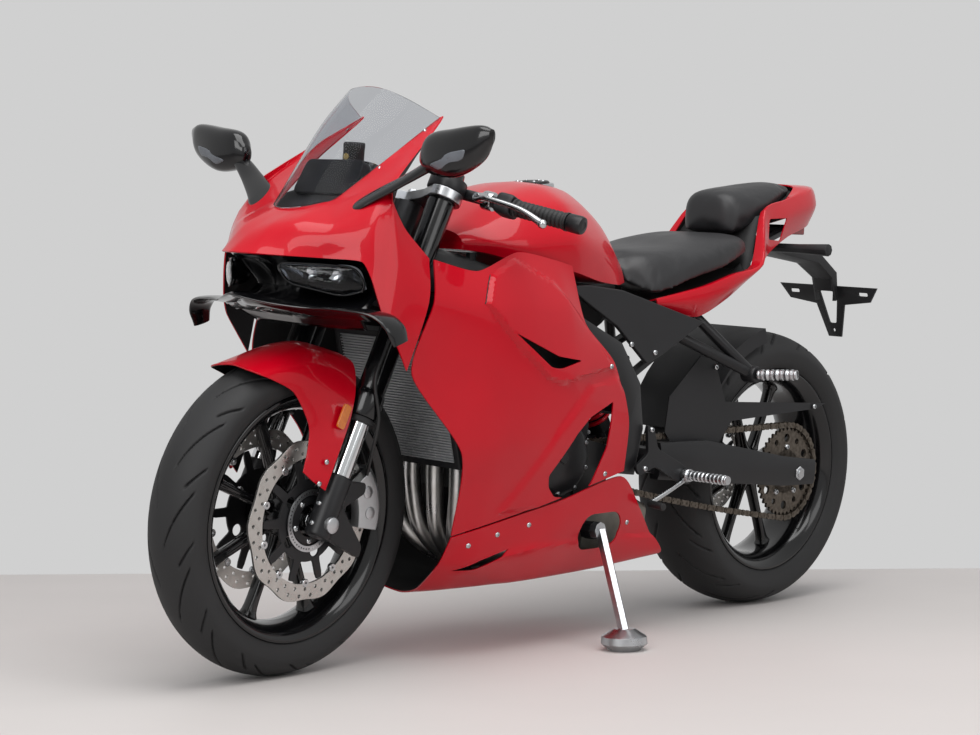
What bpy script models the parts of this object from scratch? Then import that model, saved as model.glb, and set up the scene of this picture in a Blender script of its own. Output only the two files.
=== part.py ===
"""A sport bike at rest on its side stand, as separate named pieces at real size.

Frame: metres, +X forward, +Y to the rider's left, +Z up. Every piece is drawn on the upright bike,
whose ground point half-way between the axles is the origin. The empty "bike" then leans them all
to the left, onto the stand, and the empty "steering" turns the front end about its own axis.
"""

import math

import bpy
import numpy as np
from mathutils import Matrix, Vector
from mathutils.bvhtree import BVHTree

# How the bike stands
LEAN = math.radians(4.0)
STEER_TURN = math.radians(4.5)
RAKE = math.radians(24.5)
WHEELBASE = 1.405
FORK_OFFSET = 0.030

# Gaps: between pieces that rest on each other, and around pieces that turn
SEAT_GAP = 0.0004
PIN_GAP = 0.0008
RUN_GAP = 0.006

# Wheels
WHEEL_STEPS = 32
# Half a step, so that the wheel rests on a flat of its tread, whose middle lies on the tyre's circle
FLAT_PHASE = 0.5
BEAD_RADIUS = 0.2175
FRONT_TYRE_HEIGHT = 0.0825
FRONT_TYRE_RADIUS = BEAD_RADIUS + FRONT_TYRE_HEIGHT
FRONT_TYRE_WIDTH = 0.120
REAR_TYRE_HEIGHT = 0.0975
REAR_TYRE_RADIUS = BEAD_RADIUS + REAR_TYRE_HEIGHT
REAR_TYRE_WIDTH = 0.180
TYRE_SHOULDER_SHARE = 0.52
TYRE_BEAD_TOP = 0.012
FRONT_RIM_WIDTH = 0.089
REAR_RIM_WIDTH = 0.140
RIM_WALL = 0.007
RIM_FLANGE = 0.0145
RIM_FLANGE_WIDTH = 0.008
RIM_WELL = 0.0125
RIM_SLOPE = 0.034
SPOKES = 8
SPOKE_ROOT = 0.022
SPOKE_TIP = 0.020
SPOKE_DEPTH = 0.024
HUB_RADIUS = 0.034
HUB_STEPS = 10
REAR_HUB_LEFT = 0.075
AXLE_RADIUS = 0.010
AXLE_BORE = AXLE_RADIUS + PIN_GAP
AXLE_STEPS = 8

# Brakes
FRONT_DISC_RADIUS = 0.150
FRONT_DISC_PLACE = 0.068
REAR_DISC_RADIUS = 0.110
REAR_DISC_PLACE = 0.090
DISC_WAVES = 10
DISC_WAVE = 0.003
DISC_BAND = 0.032
DISC_THICKNESS = 0.005
DISC_ARM_SHARE = 0.8
FRONT_HUB_HALF = FRONT_DISC_PLACE - DISC_THICKNESS * DISC_ARM_SHARE / 2 - SEAT_GAP
REAR_HUB_RIGHT = REAR_DISC_PLACE - DISC_THICKNESS * DISC_ARM_SHARE / 2 - SEAT_GAP
DISC_BORE = 0.024
DISC_HUB = 0.050
DISC_ARM = 0.013
CALIPER_DEPTH = 0.062
CALIPER_SIDE = 0.022
PAD_GAP = 0.0052
PAD_ROOM = DISC_THICKNESS / 2 + PAD_GAP
CALIPER_START = math.radians(146)
CALIPER_END = math.radians(190)

# Front fork and steering
FORK_SPREAD = 0.206
FORK_STEPS = 12
STANCHION_RADIUS = 0.0205
FORK_TUBE_RADIUS = 0.0265
FORK_COLLAR_RADIUS = 0.030
FORK_COLLAR = 0.05
LUG_TOP = 0.091
LUG_FOOT = 0.028
LUG_RADIUS = 0.025
FORK_TUBE_FOOT = 0.207
FORK_TUBE_TOP = 0.712
FORK_OVERLAP = 0.13
CLAMP_RING = 0.037
CLAMP_STEPS = 12
TOP_CLAMP_PLACE = 0.652
TOP_CLAMP_HEIGHT = 0.020
LOW_CLAMP_PLACE = 0.448
LOW_CLAMP_HEIGHT = 0.034
STEM_RADIUS = 0.014
HEAD_RADIUS = 0.031
BAR_RADIUS = 0.011
GRIP_RADIUS = 0.0165
BAR_END_RADIUS = 0.0175
BAR_STEPS = 8
BAR_CLAMP_HEIGHT = 0.024
BAR_DROP = 0.020
BAR_SWEEP = 0.052
BAR_REACH = 0.365
GRIP_REACH = 0.235
SWITCH_SIZE = (0.038, 0.034, 0.042)
LEVER_RADIUS = 0.006
LEVER_AHEAD = 0.050

# Drive
CHAIN_LINE = 0.1085
CHAIN_PITCH = 0.015875
CHAIN_HEIGHT = 0.0140
CHAIN_INNER_WIDTH = 0.013
CHAIN_OUTER_WIDTH = 0.019
REAR_TEETH = 42
FRONT_TEETH = 16
SPROCKET_THICKNESS = 0.006
SPROCKET_CLEAR = 0.009
SPROCKET_SEAT = 0.0006
SPROCKET_BORE = 0.030

# Bodywork: its tables give shares of a box that follows the wheelbase, the fork and the front wheel
WHEELBASE_SHARE = 0.7025
FORK_SPREAD_SHARE = 0.412
FORK_TOP_SHARE = 1.012
BODY_LENGTH = WHEELBASE / WHEELBASE_SHARE
BODY_WIDTH = FORK_SPREAD / FORK_SPREAD_SHARE
BODY_HEIGHT = (FRONT_TYRE_RADIUS + FORK_TUBE_TOP) / FORK_TOP_SHARE
SHELL = 0.003
TUBE_STEPS = 6

FINISHES = {
    # name: (colour, metallic, roughness)
    "red_paint": ((0.60, 0.005, 0.02), 0.0, 0.25),
    "black_gloss": ((0.012, 0.012, 0.013), 0.0, 0.25),
    "black_plastic": ((0.022, 0.022, 0.023), 0.0, 0.6),
    "black_frame": ((0.018, 0.018, 0.019), 0.3, 0.45),
    "vinyl": ((0.025, 0.025, 0.026), 0.0, 0.7),
    "rubber": ((0.020, 0.020, 0.020), 0.0, 0.8),
    "aluminium": ((0.60, 0.60, 0.61), 1.0, 0.35),
    "steel": ((0.45, 0.42, 0.40), 1.0, 0.35),
    "chain_steel": ((0.16, 0.13, 0.11), 0.9, 0.5),
    "grey_lens": ((0.30, 0.31, 0.33), 0.0, 0.1),
    "red_lens": ((0.35, 0.01, 0.01), 0.0, 0.2),
}

FRONT_AXLE = Vector((WHEELBASE / 2, 0, FRONT_TYRE_RADIUS))
REAR_AXLE = Vector((-WHEELBASE / 2, 0, REAR_TYRE_RADIUS))
LEFT = Vector((0, 1, 0))
FORWARD = Vector((1, 0, 0))
UP = Vector((0, 0, 1))
FORK_UP = Vector((-math.sin(RAKE), 0, math.cos(RAKE)))
FORK_AHEAD = Vector((math.cos(RAKE), 0, math.sin(RAKE)))
STEER_FOOT = FRONT_AXLE - FORK_AHEAD * FORK_OFFSET


def clear_scene():
    for obj in list(bpy.data.objects):
        bpy.data.objects.remove(obj, do_unlink=True)


def body(length_share, width_share, height_share):
    """A place in the body's box, by shares of its length, width and height."""
    return Vector((length_share * BODY_LENGTH, width_share * BODY_WIDTH, height_share * BODY_HEIGHT))


def places(shares):
    return [body(*row) for row in shares]


def fork(ahead, left, up):
    """A place measured from the foot of the steering axis, along and across the fork."""
    return STEER_FOOT + FORK_AHEAD * ahead + LEFT * left + FORK_UP * up


def across(axis):
    """Two directions square to an axis, the same for every piece on that axis."""
    axis = axis.normalized()
    first = UP if abs(axis.z) < abs(axis.y) or abs(axis.x) > abs(axis.z) else LEFT
    first = (first - axis * first.dot(axis)).normalized()
    return first, axis.cross(first)


# Shapes: each is (points, faces), closed, with its faces pointing out


def outward(points, faces):
    """The shape with its faces turned out, by the sign of its volume."""
    points = [Vector(point) for point in points]
    volume = 0
    for face in faces:
        first = points[face[0]]
        for a, b in zip(face[1:-1], face[2:]):
            volume += first.dot(points[a].cross(points[b]))
    if volume < 0:
        faces = [tuple(reversed(face)) for face in faces]
    return points, faces


def grid_faces(rows, columns, close_rows=False, close_columns=False):
    faces = []
    for i in range(rows if close_rows else rows - 1):
        for j in range(columns if close_columns else columns - 1):
            k, m = (i + 1) % rows, (j + 1) % columns
            faces.append((i * columns + j, i * columns + m, k * columns + m, k * columns + j))
    return faces


def loft(rings):
    """A solid through rings with equal numbers of points, closed by a flat face at both ends."""
    count = len(rings[0])
    points = [point for ring in rings for point in ring]
    faces = grid_faces(len(rings), count, close_columns=True)
    faces.append(tuple(reversed(range(count))))
    faces.append(tuple(range(len(points) - count, len(points))))
    return outward(points, faces)


def turned(profile, centre, axis, steps, phase=0):
    """A profile of (radius, place along the axis), closed on itself, turned into a ring.

    The phase turns the ring by that share of a step."""
    first, second = across(axis)
    axis = axis.normalized()
    points = []
    for step in range(steps):
        angle = 2 * math.pi * (step + phase) / steps
        spoke = first * math.cos(angle) + second * math.sin(angle)
        points += [centre + spoke * radius + axis * along for radius, along in profile]
    return outward(points, grid_faces(steps, len(profile), True, True))


def collar(inner, outer, start, end, centre, axis, steps):
    """A plain ring with a bore."""
    return turned([(inner, start), (outer, start), (outer, end), (inner, end)], centre, axis, steps)


def circle(centre, axis, radius, steps):
    first, second = across(axis)
    return [
        centre
        + first * (radius * math.cos(2 * math.pi * step / steps))
        + second * (radius * math.sin(2 * math.pi * step / steps))
        for step in range(steps)
    ]


def rod(centres, radii, steps=TUBE_STEPS):
    """A round bar through the centres, whose radius may change on its way."""
    if not isinstance(radii, (list, tuple)):
        radii = [radii] * len(centres)
    rings = []
    for index, centre in enumerate(centres):
        before = centres[max(index - 1, 0)]
        after = centres[min(index + 1, len(centres) - 1)]
        rings.append(circle(centre, after - before, radii[index], steps))
    for index in range(1, len(rings)):
        rings[index] = matched(rings[index - 1], rings[index])
    return loft(rings)


def matched(ring, following):
    """The following ring with its points turned to lie nearest the ring's own."""
    count = len(ring)
    best = min(
        range(count),
        key=lambda turn: sum((ring[i] - following[(i + turn) % count]).length for i in range(count)),
    )
    return [following[(i + best) % count] for i in range(count)]


def beam(centres, sides, heights):
    """A bar of rounded-off rectangular section: its sides run along Y, its height square to that."""
    rings = []
    for index, centre in enumerate(centres):
        before = centres[max(index - 1, 0)]
        after = centres[min(index + 1, len(centres) - 1)]
        along = (after - before).normalized()
        side = (LEFT - along * LEFT.dot(along)).normalized()
        high = along.cross(side)
        half, tall = sides[index] / 2, heights[index] / 2
        corners = ((1, CORNER_SHARE), (CORNER_SHARE, 1), (-CORNER_SHARE, 1), (-1, CORNER_SHARE))
        corners += tuple((-a, -b) for a, b in corners)
        rings.append([centre + side * (half * a) + high * (tall * b) for a, b in corners])
    return loft(rings)


CORNER_SHARE = 0.72


def slab(outline, depth):
    """A flat outline pushed along a vector."""
    return loft([outline, [point + depth for point in outline]])


def sector(inner, outer, start, end, low, high, centre, steps):
    """A piece of a ring about the Y axis, between two angles and two places along Y."""
    rings = []
    for step in range(steps + 1):
        angle = start + (end - start) * step / steps
        spoke = FORWARD * math.cos(angle) + UP * math.sin(angle)
        rings.append(
            [
                centre + spoke * radius + LEFT * along
                for radius, along in ((inner, low), (outer, low), (outer, high), (inner, high))
            ]
        )
    return loft(rings)


def curve_through(points, steps):
    """Points on a smooth curve through the given ones."""
    points = np.array([list(point) for point in points])
    padded = np.vstack([2 * points[0] - points[1], points, 2 * points[-1] - points[-2]])
    found = []
    for index in range(len(points) - 1):
        a, b, c, d = padded[index : index + 4]
        for step in range(steps):
            t = step / steps
            found.append(
                (
                    2 * b + (c - a) * t + (
                        2 * a - 5 * b + 4 * c - d
                    ) * t**2 + (3 * b - a - 3 * c + d) * t**3
                ) / 2
            )
    found.append(points[-1])
    return [Vector(point) for point in found]


def smooth_grid(table, row_steps, column_steps):
    """A table of places, rows by columns, made finer along smooth curves both ways."""
    rows = [curve_through(row, column_steps) for row in table]
    columns = [curve_through(column, row_steps) for column in zip(*rows)]
    return [list(row) for row in zip(*columns)]


def sheet(table, row_steps=2, column_steps=2, thickness=SHELL, inside=None):
    """A curved panel of even thickness. The table's surface is its outer face, away from inside."""
    rows = smooth_grid(table, row_steps, column_steps)
    count = len(rows[0])
    points = [point for row in rows for point in row]
    mesh = bpy.data.meshes.new("panel")
    mesh.from_pydata([list(point) for point in points], [], grid_faces(len(rows), count))
    middle = sum(points, Vector()) / len(points)
    centre = inside if inside is not None else Vector((middle.x, 0, middle.z))
    mesh.update()
    facing = sum(
        face.normal.dot(face.center - centre) * face.area for face in mesh.polygons
    )
    if facing < 0:
        mesh.flip_normals()
    guide = bpy.data.objects.new("panel", mesh)
    bpy.context.collection.objects.link(guide)
    wall = guide.modifiers.new("wall", "SOLIDIFY")
    wall.thickness = thickness
    wall.offset = -1
    return evaluated_shape(guide)


def evaluated_shape(obj):
    """The object's shape with its modifiers, and the object removed."""
    graph = bpy.context.evaluated_depsgraph_get()
    mesh = obj.evaluated_get(graph).to_mesh()
    points = [vertex.co.copy() for vertex in mesh.vertices]
    faces = [tuple(face.vertices) for face in mesh.polygons]
    obj.evaluated_get(graph).to_mesh_clear()
    bpy.data.objects.remove(obj, do_unlink=True)
    return points, faces


def mirrored(shape):
    """The shape on the other side of the bike."""
    points, faces = shape
    return [Vector((p.x, -p.y, p.z)) for p in points], [tuple(reversed(face)) for face in faces]


def both(shape):
    return [shape, mirrored(shape)]


def shape_object(name, shape):
    points, faces = shape
    mesh = bpy.data.meshes.new(name)
    mesh.from_pydata([list(point) for point in points], [], faces)
    obj = bpy.data.objects.new(name, mesh)
    bpy.context.collection.objects.link(obj)
    return obj


def fused(shapes, cuts=()):
    """One shape from overlapping ones, less the cuts."""
    base = shape_object("base", shapes[0])
    helpers = []
    for index, (shape, operation) in enumerate(
        [(shape, "UNION") for shape in shapes[1:]] + [(cut, "DIFFERENCE") for cut in cuts]
    ):
        helper = shape_object(f"helper_{index}", shape)
        helper.hide_render = True
        helper.display_type = "WIRE"
        helpers.append(helper)
        step = base.modifiers.new(f"step_{index}", "BOOLEAN")
        step.object = helper
        step.operation = operation
        step.solver = "EXACT"
    result = evaluated_shape(base)
    for helper in helpers:
        bpy.data.objects.remove(helper, do_unlink=True)
    return result


def finish(name):
    """The named finish's material, made once."""
    found = bpy.data.materials.get(name)
    if found:
        return found
    colour, metallic, roughness = FINISHES[name]
    material = bpy.data.materials.new(name)
    material.use_nodes = True
    shader = material.node_tree.nodes["Principled BSDF"]
    shader.inputs["Base Color"].default_value = (*colour, 1)
    shader.inputs["Metallic"].default_value = metallic
    shader.inputs["Roughness"].default_value = roughness
    return material


PIECES = {}


def place(name, shape, finish_name, carrier):
    """Keeps the named piece's shape on the upright bike, its finish and what carries it."""
    PIECES[name] = (shape, finish_name, carrier)


def hit(shape, start, direction):
    """How far the shape lies from the start, or how far its nearest point does if a ray misses."""
    tree = BVHTree.FromPolygons(*shape)
    found = tree.ray_cast(start, direction)[3]
    if found is None:
        found = max((tree.find_nearest(start)[0] - start).dot(direction), 0)
    return found


def stud(owner, seat, point, direction, radius, gap=0.0):
    """A round stud of the owner's, from inside its wall to a small gap before its seat.

    Rays through the point find the owner's wall along the direction and the seat against it."""
    direction = direction.normalized()
    rim = circle(point, direction, radius, TUBE_STEPS) + [point]
    root = hit(owner, point, direction) + SHELL / 2
    reach = min(hit(seat, start, -direction) for start in rim) - BOSS_GAP - gap
    return rod([point - direction * reach, point + direction * root], radius)


def add_studs():
    """Fuses the studs of the table onto their owners, on both sides where they lie off the middle."""
    added = {}
    for owner, seat, share, direction, radius in STUDS:
        shape = stud(PIECES[owner][0], PIECES[seat][0], body(*share), Vector(direction), radius)
        added.setdefault(owner, []).append(shape)
        if share[1]:
            added.setdefault(owner.replace("left", "right"), []).append(mirrored(shape))
    for owner, shapes in added.items():
        shape, finish_name, held_by = PIECES[owner]
        PIECES[owner] = (fused([shape] + shapes), finish_name, held_by)


def make_piece(name, shape, finish_name, carrier):
    """Makes the named piece's object and hangs it on its carrier."""
    points, faces = shape
    origin = carrier.get("rest_inverse")
    matrix = Matrix([origin[i * 4 : i * 4 + 4] for i in range(4)])
    mesh = bpy.data.meshes.new(name)
    mesh.from_pydata([list(matrix @ point) for point in points], [], faces)
    mesh.materials.append(finish(finish_name))
    mesh.shade_smooth()
    mesh.set_sharp_from_angle(angle=SMOOTH_ANGLE)
    obj = bpy.data.objects.new(name, mesh)
    bpy.context.collection.objects.link(obj)
    obj.parent = carrier
    return obj


SMOOTH_ANGLE = math.radians(35)


def carrier(name, origin, parent, axis=UP, turn=0.0, lean=0.0):
    """An empty on a joint's axis, its own Z along that axis, turned about it by the rest angle."""
    empty = bpy.data.objects.new(name, None)
    bpy.context.collection.objects.link(empty)
    rest = Matrix.Translation(origin) @ axis.to_track_quat("Z", "Y").to_matrix().to_4x4()
    above = Matrix.Identity(4)
    if parent:
        empty.parent = parent
        stored = parent["rest_inverse"]
        above = Matrix([stored[i * 4 : i * 4 + 4] for i in range(4)])
    tilt = Matrix.Rotation(-lean, 4, "X")
    empty.matrix_local = tilt @ above @ rest @ Matrix.Rotation(turn, 4, "Z")
    empty["rest_inverse"] = [value for row in rest.inverted() for value in row]
    return empty


# Wheels


TYRE_DEGREES = (-90, -55, -19, 19, 55, 90)


def tyre_profile(radius, width, rim_width):
    """(radius, along) round the tyre: an elliptic crown, side walls and the two beads."""
    height = radius - BEAD_RADIUS
    shoulder = height * TYRE_SHOULDER_SHARE
    profile = []
    for degrees in TYRE_DEGREES:
        angle = math.radians(degrees)
        rise = shoulder + (height - shoulder) * math.cos(angle)
        profile.append((BEAD_RADIUS + rise, width / 2 * math.sin(angle)))
    bead = rim_width / 2 - SEAT_GAP
    foot = BEAD_RADIUS + SEAT_GAP
    top = BEAD_RADIUS + RIM_FLANGE + SEAT_GAP
    profile += [(top, bead + TYRE_BEAD_TOP / 2), (top, bead), (foot, bead)]
    profile += [(foot, -bead), (top, -bead), (top, -bead - TYRE_BEAD_TOP / 2)]
    return profile


def rim_profile(rim_width):
    """(radius, along) round the rim: two flanges, the bead seats and the well between them."""
    half = rim_width / 2
    well = half - RIM_SLOPE
    rise = BEAD_RADIUS + RIM_FLANGE
    low = BEAD_RADIUS - RIM_WELL
    outer = [(BEAD_RADIUS, -half), (low, -well), (low, well), (BEAD_RADIUS, half), (rise, half)]
    edge = [(rise, half + RIM_FLANGE_WIDTH)]
    inner = [(low - RIM_WALL, well), (low - RIM_WALL, -well)]
    far = [(rise, -half - RIM_FLANGE_WIDTH), (rise, -half)]
    return outer + edge + inner + far


def wheel(end, axle, radius, width, rim_width, hub_right, hub_left, carried_by):
    corner = radius / math.cos(math.pi / WHEEL_STEPS)
    tyre = turned(tyre_profile(corner, width, rim_width), axle, LEFT, WHEEL_STEPS, FLAT_PHASE)
    place(f"{end}_tyre", tyre, "rubber", carried_by)
    tip = BEAD_RADIUS - RIM_WELL - RIM_WALL / 2
    root = HUB_RADIUS - RIM_WALL
    shapes = [
        turned(rim_profile(rim_width), axle, LEFT, WHEEL_STEPS, FLAT_PHASE),
        star(SPOKES, root, tip, SPOKE_ROOT / 2, SPOKE_TIP / 2, axle, -SPOKE_DEPTH / 2, SPOKE_DEPTH, 0.5),
        rod([axle - LEFT * hub_right, axle + LEFT * hub_left], HUB_RADIUS, HUB_STEPS),
    ]
    bore = rod([axle - LEFT * (hub_right * 2), axle + LEFT * (hub_left * 2)], AXLE_BORE, HUB_STEPS)
    place(f"{end}_rim", fused(shapes, [bore]), "black_gloss", carried_by)


def star(arms, root, tip, root_half, tip_half, centre, start, depth, phase):
    """A flat star about the Y axis: arms that taper from the root to the tip."""
    outline = []
    for index in range(arms):
        angle = 2 * math.pi * (index + phase) / arms
        spoke = FORWARD * math.cos(angle) + UP * math.sin(angle)
        side = UP * math.cos(angle) - FORWARD * math.sin(angle)
        base = centre + LEFT * start
        outline += [
            base + spoke * root - side * root_half,
            base + spoke * tip - side * tip_half,
            base + spoke * tip + side * tip_half,
            base + spoke * root + side * root_half,
        ]
    return slab(outline, LEFT * depth)


def wavy_disc(radius, band, along, axle, thickness=DISC_THICKNESS):
    """A brake band with a wavy edge, and a star that carries it on the hub."""
    half = thickness / 2
    steps = DISC_WAVES * WAVE_STEPS
    rings = []
    for step in range(steps):
        angle = 2 * math.pi * step / steps
        wave = DISC_WAVE * math.cos(DISC_WAVES * angle)
        spoke = FORWARD * math.cos(angle) + UP * math.sin(angle)
        profile = ((radius - band + wave, -half), (radius + wave, -half))
        profile += ((radius + wave, half), (radius - band + wave, half))
        rings.append([axle + spoke * r + LEFT * (along + y) for r, y in profile])
    points = [point for ring in rings for point in ring]
    band_ring = outward(points, grid_faces(steps, 4, True, True))
    depth = thickness * DISC_ARM_SHARE
    reach = radius - band / 2
    arms = star(
        DISC_WAVES // 2, DISC_HUB, reach, DISC_ARM, DISC_ARM / 2, axle, along - depth / 2, depth, 0.25,
    )
    bore = rod([axle, axle + LEFT * (along * 2)], DISC_BORE, HUB_STEPS)
    return fused([band_ring, arms], [bore])


WAVE_STEPS = 4


def front_wheel(carried_by):
    wheel(
        "front",
        FRONT_AXLE,
        FRONT_TYRE_RADIUS,
        FRONT_TYRE_WIDTH,
        FRONT_RIM_WIDTH,
        FRONT_HUB_HALF,
        FRONT_HUB_HALF,
        carried_by,
    )
    disc = wavy_disc(FRONT_DISC_RADIUS, DISC_BAND, FRONT_DISC_PLACE, FRONT_AXLE)
    place("front_disc_left", disc, "steel", carried_by)
    place("front_disc_right", mirrored(disc), "steel", carried_by)


def rear_wheel(carried_by):
    wheel(
        "rear",
        REAR_AXLE,
        REAR_TYRE_RADIUS,
        REAR_TYRE_WIDTH,
        REAR_RIM_WIDTH,
        REAR_HUB_RIGHT,
        REAR_HUB_LEFT,
        carried_by,
    )
    disc = wavy_disc(REAR_DISC_RADIUS, DISC_BAND, -REAR_DISC_PLACE, REAR_AXLE)
    place("rear_disc", disc, "steel", carried_by)
    place("rear_sprocket", sprocket(), "steel", carried_by)


def pitch_radius(teeth):
    return CHAIN_PITCH / (2 * math.sin(math.pi / teeth))


def sprocket():
    """A toothed ring on the chain's line, with a boss that reaches the hub."""
    root = pitch_radius(REAR_TEETH) - SPROCKET_CLEAR
    half = SPROCKET_THICKNESS / 2
    steps = REAR_TEETH * 2
    outline = []
    for step in range(steps):
        angle = 2 * math.pi * step / steps
        spoke = FORWARD * math.cos(angle) + UP * math.sin(angle)
        edge = root - (TOOTH_DEPTH if step % 2 else 0)
        outline.append(REAR_AXLE + spoke * edge + LEFT * (CHAIN_LINE - half))
    teeth = slab(outline, LEFT * SPROCKET_THICKNESS)
    bore = rod([REAR_AXLE, REAR_AXLE + LEFT * (CHAIN_LINE * 2)], SPROCKET_BORE, HUB_STEPS)
    boss = collar(
        SPROCKET_BORE - SHELL,
        SPROCKET_BOSS,
        REAR_HUB_LEFT + SEAT_GAP,
        CHAIN_LINE,
        REAR_AXLE,
        LEFT,
        HUB_STEPS,
    )
    return fused([teeth, boss], [bore])


TOOTH_DEPTH = 0.004
SPROCKET_BOSS = 0.045


# Front end


def fork_legs(carried_by):
    half = FORK_SPREAD / 2
    top = FORK_TUBE_TOP
    bore = STANCHION_RADIUS + SEAT_GAP
    foot = fork(FORK_OFFSET, half, 0)
    collar_top = FORK_TUBE_FOOT + FORK_COLLAR
    profile = [(bore, FORK_TUBE_FOOT), (FORK_COLLAR_RADIUS, FORK_TUBE_FOOT)]
    profile += [(FORK_COLLAR_RADIUS, collar_top), (FORK_TUBE_RADIUS, collar_top)]
    profile += [(FORK_TUBE_RADIUS, top), (bore, top)]
    tube = turned(profile, foot, FORK_UP, FORK_STEPS)
    slider = rod(
        [foot + FORK_UP * (LUG_TOP / 2), foot + FORK_UP * (FORK_TUBE_FOOT + FORK_OVERLAP)],
        STANCHION_RADIUS,
        FORK_STEPS,
    )
    lug = rod([foot - FORK_UP * LUG_FOOT, foot + FORK_UP * LUG_TOP], LUG_RADIUS, FORK_STEPS)
    inset = half - (FRONT_DISC_PLACE + PAD_ROOM + CALIPER_SIDE + SEAT_GAP)
    arm = slab(
        [
            foot + FORK_UP * LUG_TOP * up + FORK_AHEAD * LUG_TOP * ahead - LEFT * inset for ahead,
            up in LUG_ARM_SHARES
        ],
        LEFT * LUG_ARM,
    )
    pin = rod([foot - LEFT * half, foot + LEFT * half], AXLE_RADIUS + SEAT_GAP, AXLE_STEPS)
    leg = fused([lug, slider, arm], [pin])
    place("fork_tube_left", tube, "black_gloss", carried_by)
    place("fork_tube_right", mirrored(tube), "black_gloss", carried_by)
    place("fork_slider_left", leg, "aluminium", carried_by)
    place("fork_slider_right", mirrored(leg), "aluminium", carried_by)


# The caliper's carrier behind the lug: (ahead, up) in shares of the lug's height
LUG_ARM_SHARES = (
    (0.1, 0.9), (-0.72, 1.15), (-0.80, 0.95), (-0.35, 0.45), (-1.25, -0.05), (-1.28, -0.3), (-0.1, -0.25),
)
LUG_ARM = 0.013


def axle(name, centre, reach, hub_right, hub_left, holder, carried_by):
    """The wheel's spindle, with a spacer on each side between the hub and what holds it."""
    shapes = [rod([centre - LEFT * reach, centre + LEFT * reach], AXLE_RADIUS, AXLE_STEPS)]
    for side, hub in ((-1, hub_right), (1, hub_left)):
        start, end = hub + PIN_GAP / 2, holder - SEAT_GAP
        spots = [centre + LEFT * (side * start), centre + LEFT * (side * end)]
        shapes.append(rod(spots, AXLE_RADIUS * SPACER_SHARE, AXLE_STEPS))
    place(name, fused(shapes), "aluminium", carried_by)


SPACER_SHARE = 1.7


def front_calipers(carried_by):
    """Each grips its disc from behind the fork leg."""
    edge = FRONT_DISC_RADIUS + DISC_WAVE + RUN_GAP
    inner = FRONT_DISC_RADIUS - CALIPER_DEPTH + DISC_BAND / 2
    sides = (CALIPER_INSIDE, FRONT_DISC_PLACE - PAD_ROOM, FRONT_DISC_PLACE + PAD_ROOM, CALIPER_SIDE)
    left = caliper(inner, edge, sides, (CALIPER_START, CALIPER_END), FRONT_AXLE, 4)
    place("front_caliper_left", left, "aluminium", carried_by)
    place("front_caliper_right", mirrored(left), "aluminium", carried_by)


CALIPER_BRIDGE = 0.010
CALIPER_INSIDE = 0.012


def caliper(inner, edge, sides, limits, centre, steps):
    """A U section round the disc's edge, swept between two angles.

    The sides are the inner plate's thickness, both faces of the gap and the outer plate's thickness."""
    inside, near, far, outside = sides
    outer = edge + CALIPER_BRIDGE
    section = [
        (inner, near - inside), (outer, near - inside), (outer, far + outside), (inner, far + outside),
    ]
    section += [(inner, far), (edge, far), (edge, near), (inner, near)]
    rings = []
    for step in range(steps + 1):
        angle = limits[0] + (limits[1] - limits[0]) * step / steps
        spoke = FORWARD * math.cos(angle) + UP * math.sin(angle)
        rings.append([centre + spoke * radius + LEFT * along for radius, along in section])
    return loft(rings)


def clamp_plate(up, height, web):
    """A fork clamp: a ring round each tube, joined by a plate through the steering axis."""
    half = FORK_SPREAD / 2
    shapes = []
    for side in (-1, 1):
        centre = fork(FORK_OFFSET, side * half, up)
        shapes.append(rod([centre, centre + FORK_UP * height], CLAMP_RING, CLAMP_STEPS))
    centre = fork(0, 0, up)
    shapes.append(rod([centre, centre + FORK_UP * height], CLAMP_RING, CLAMP_STEPS))
    for side in (-1, 1):
        outline = [
            fork(0, 0, up) + FORK_AHEAD * (-web / 2),
            fork(FORK_OFFSET, side * half, up) + FORK_AHEAD * (-web / 2),
            fork(FORK_OFFSET, side * half, up) + FORK_AHEAD * (web / 2),
            fork(0, 0, up) + FORK_AHEAD * (web / 2),
        ]
        shapes.append(slab(outline, FORK_UP * height))
    return shapes


LOW_WEB_SHARE = 1.4


def triple_clamps(carried_by):
    shapes = clamp_plate(TOP_CLAMP_PLACE, TOP_CLAMP_HEIGHT, CLAMP_RING)
    shapes += clamp_plate(LOW_CLAMP_PLACE, LOW_CLAMP_HEIGHT, CLAMP_RING * LOW_WEB_SHARE)
    shapes.append(
        rod(
            [fork(0, 0, LOW_CLAMP_PLACE), fork(0, 0, TOP_CLAMP_PLACE + TOP_CLAMP_HEIGHT)],
            STEM_RADIUS,
            CLAMP_STEPS,
        )
    )
    cuts = []
    for side in (-1, 1):
        foot = fork(FORK_OFFSET, side * FORK_SPREAD / 2, 0)
        cuts.append(
            rod(
                [foot + FORK_UP * FORK_TUBE_FOOT, foot + FORK_UP * (FORK_TUBE_TOP + CLAMP_RING)],
                FORK_TUBE_RADIUS + SEAT_GAP,
                FORK_STEPS,
            )
        )
    place("triple_clamps", fused(shapes, cuts), "aluminium", carried_by)


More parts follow.
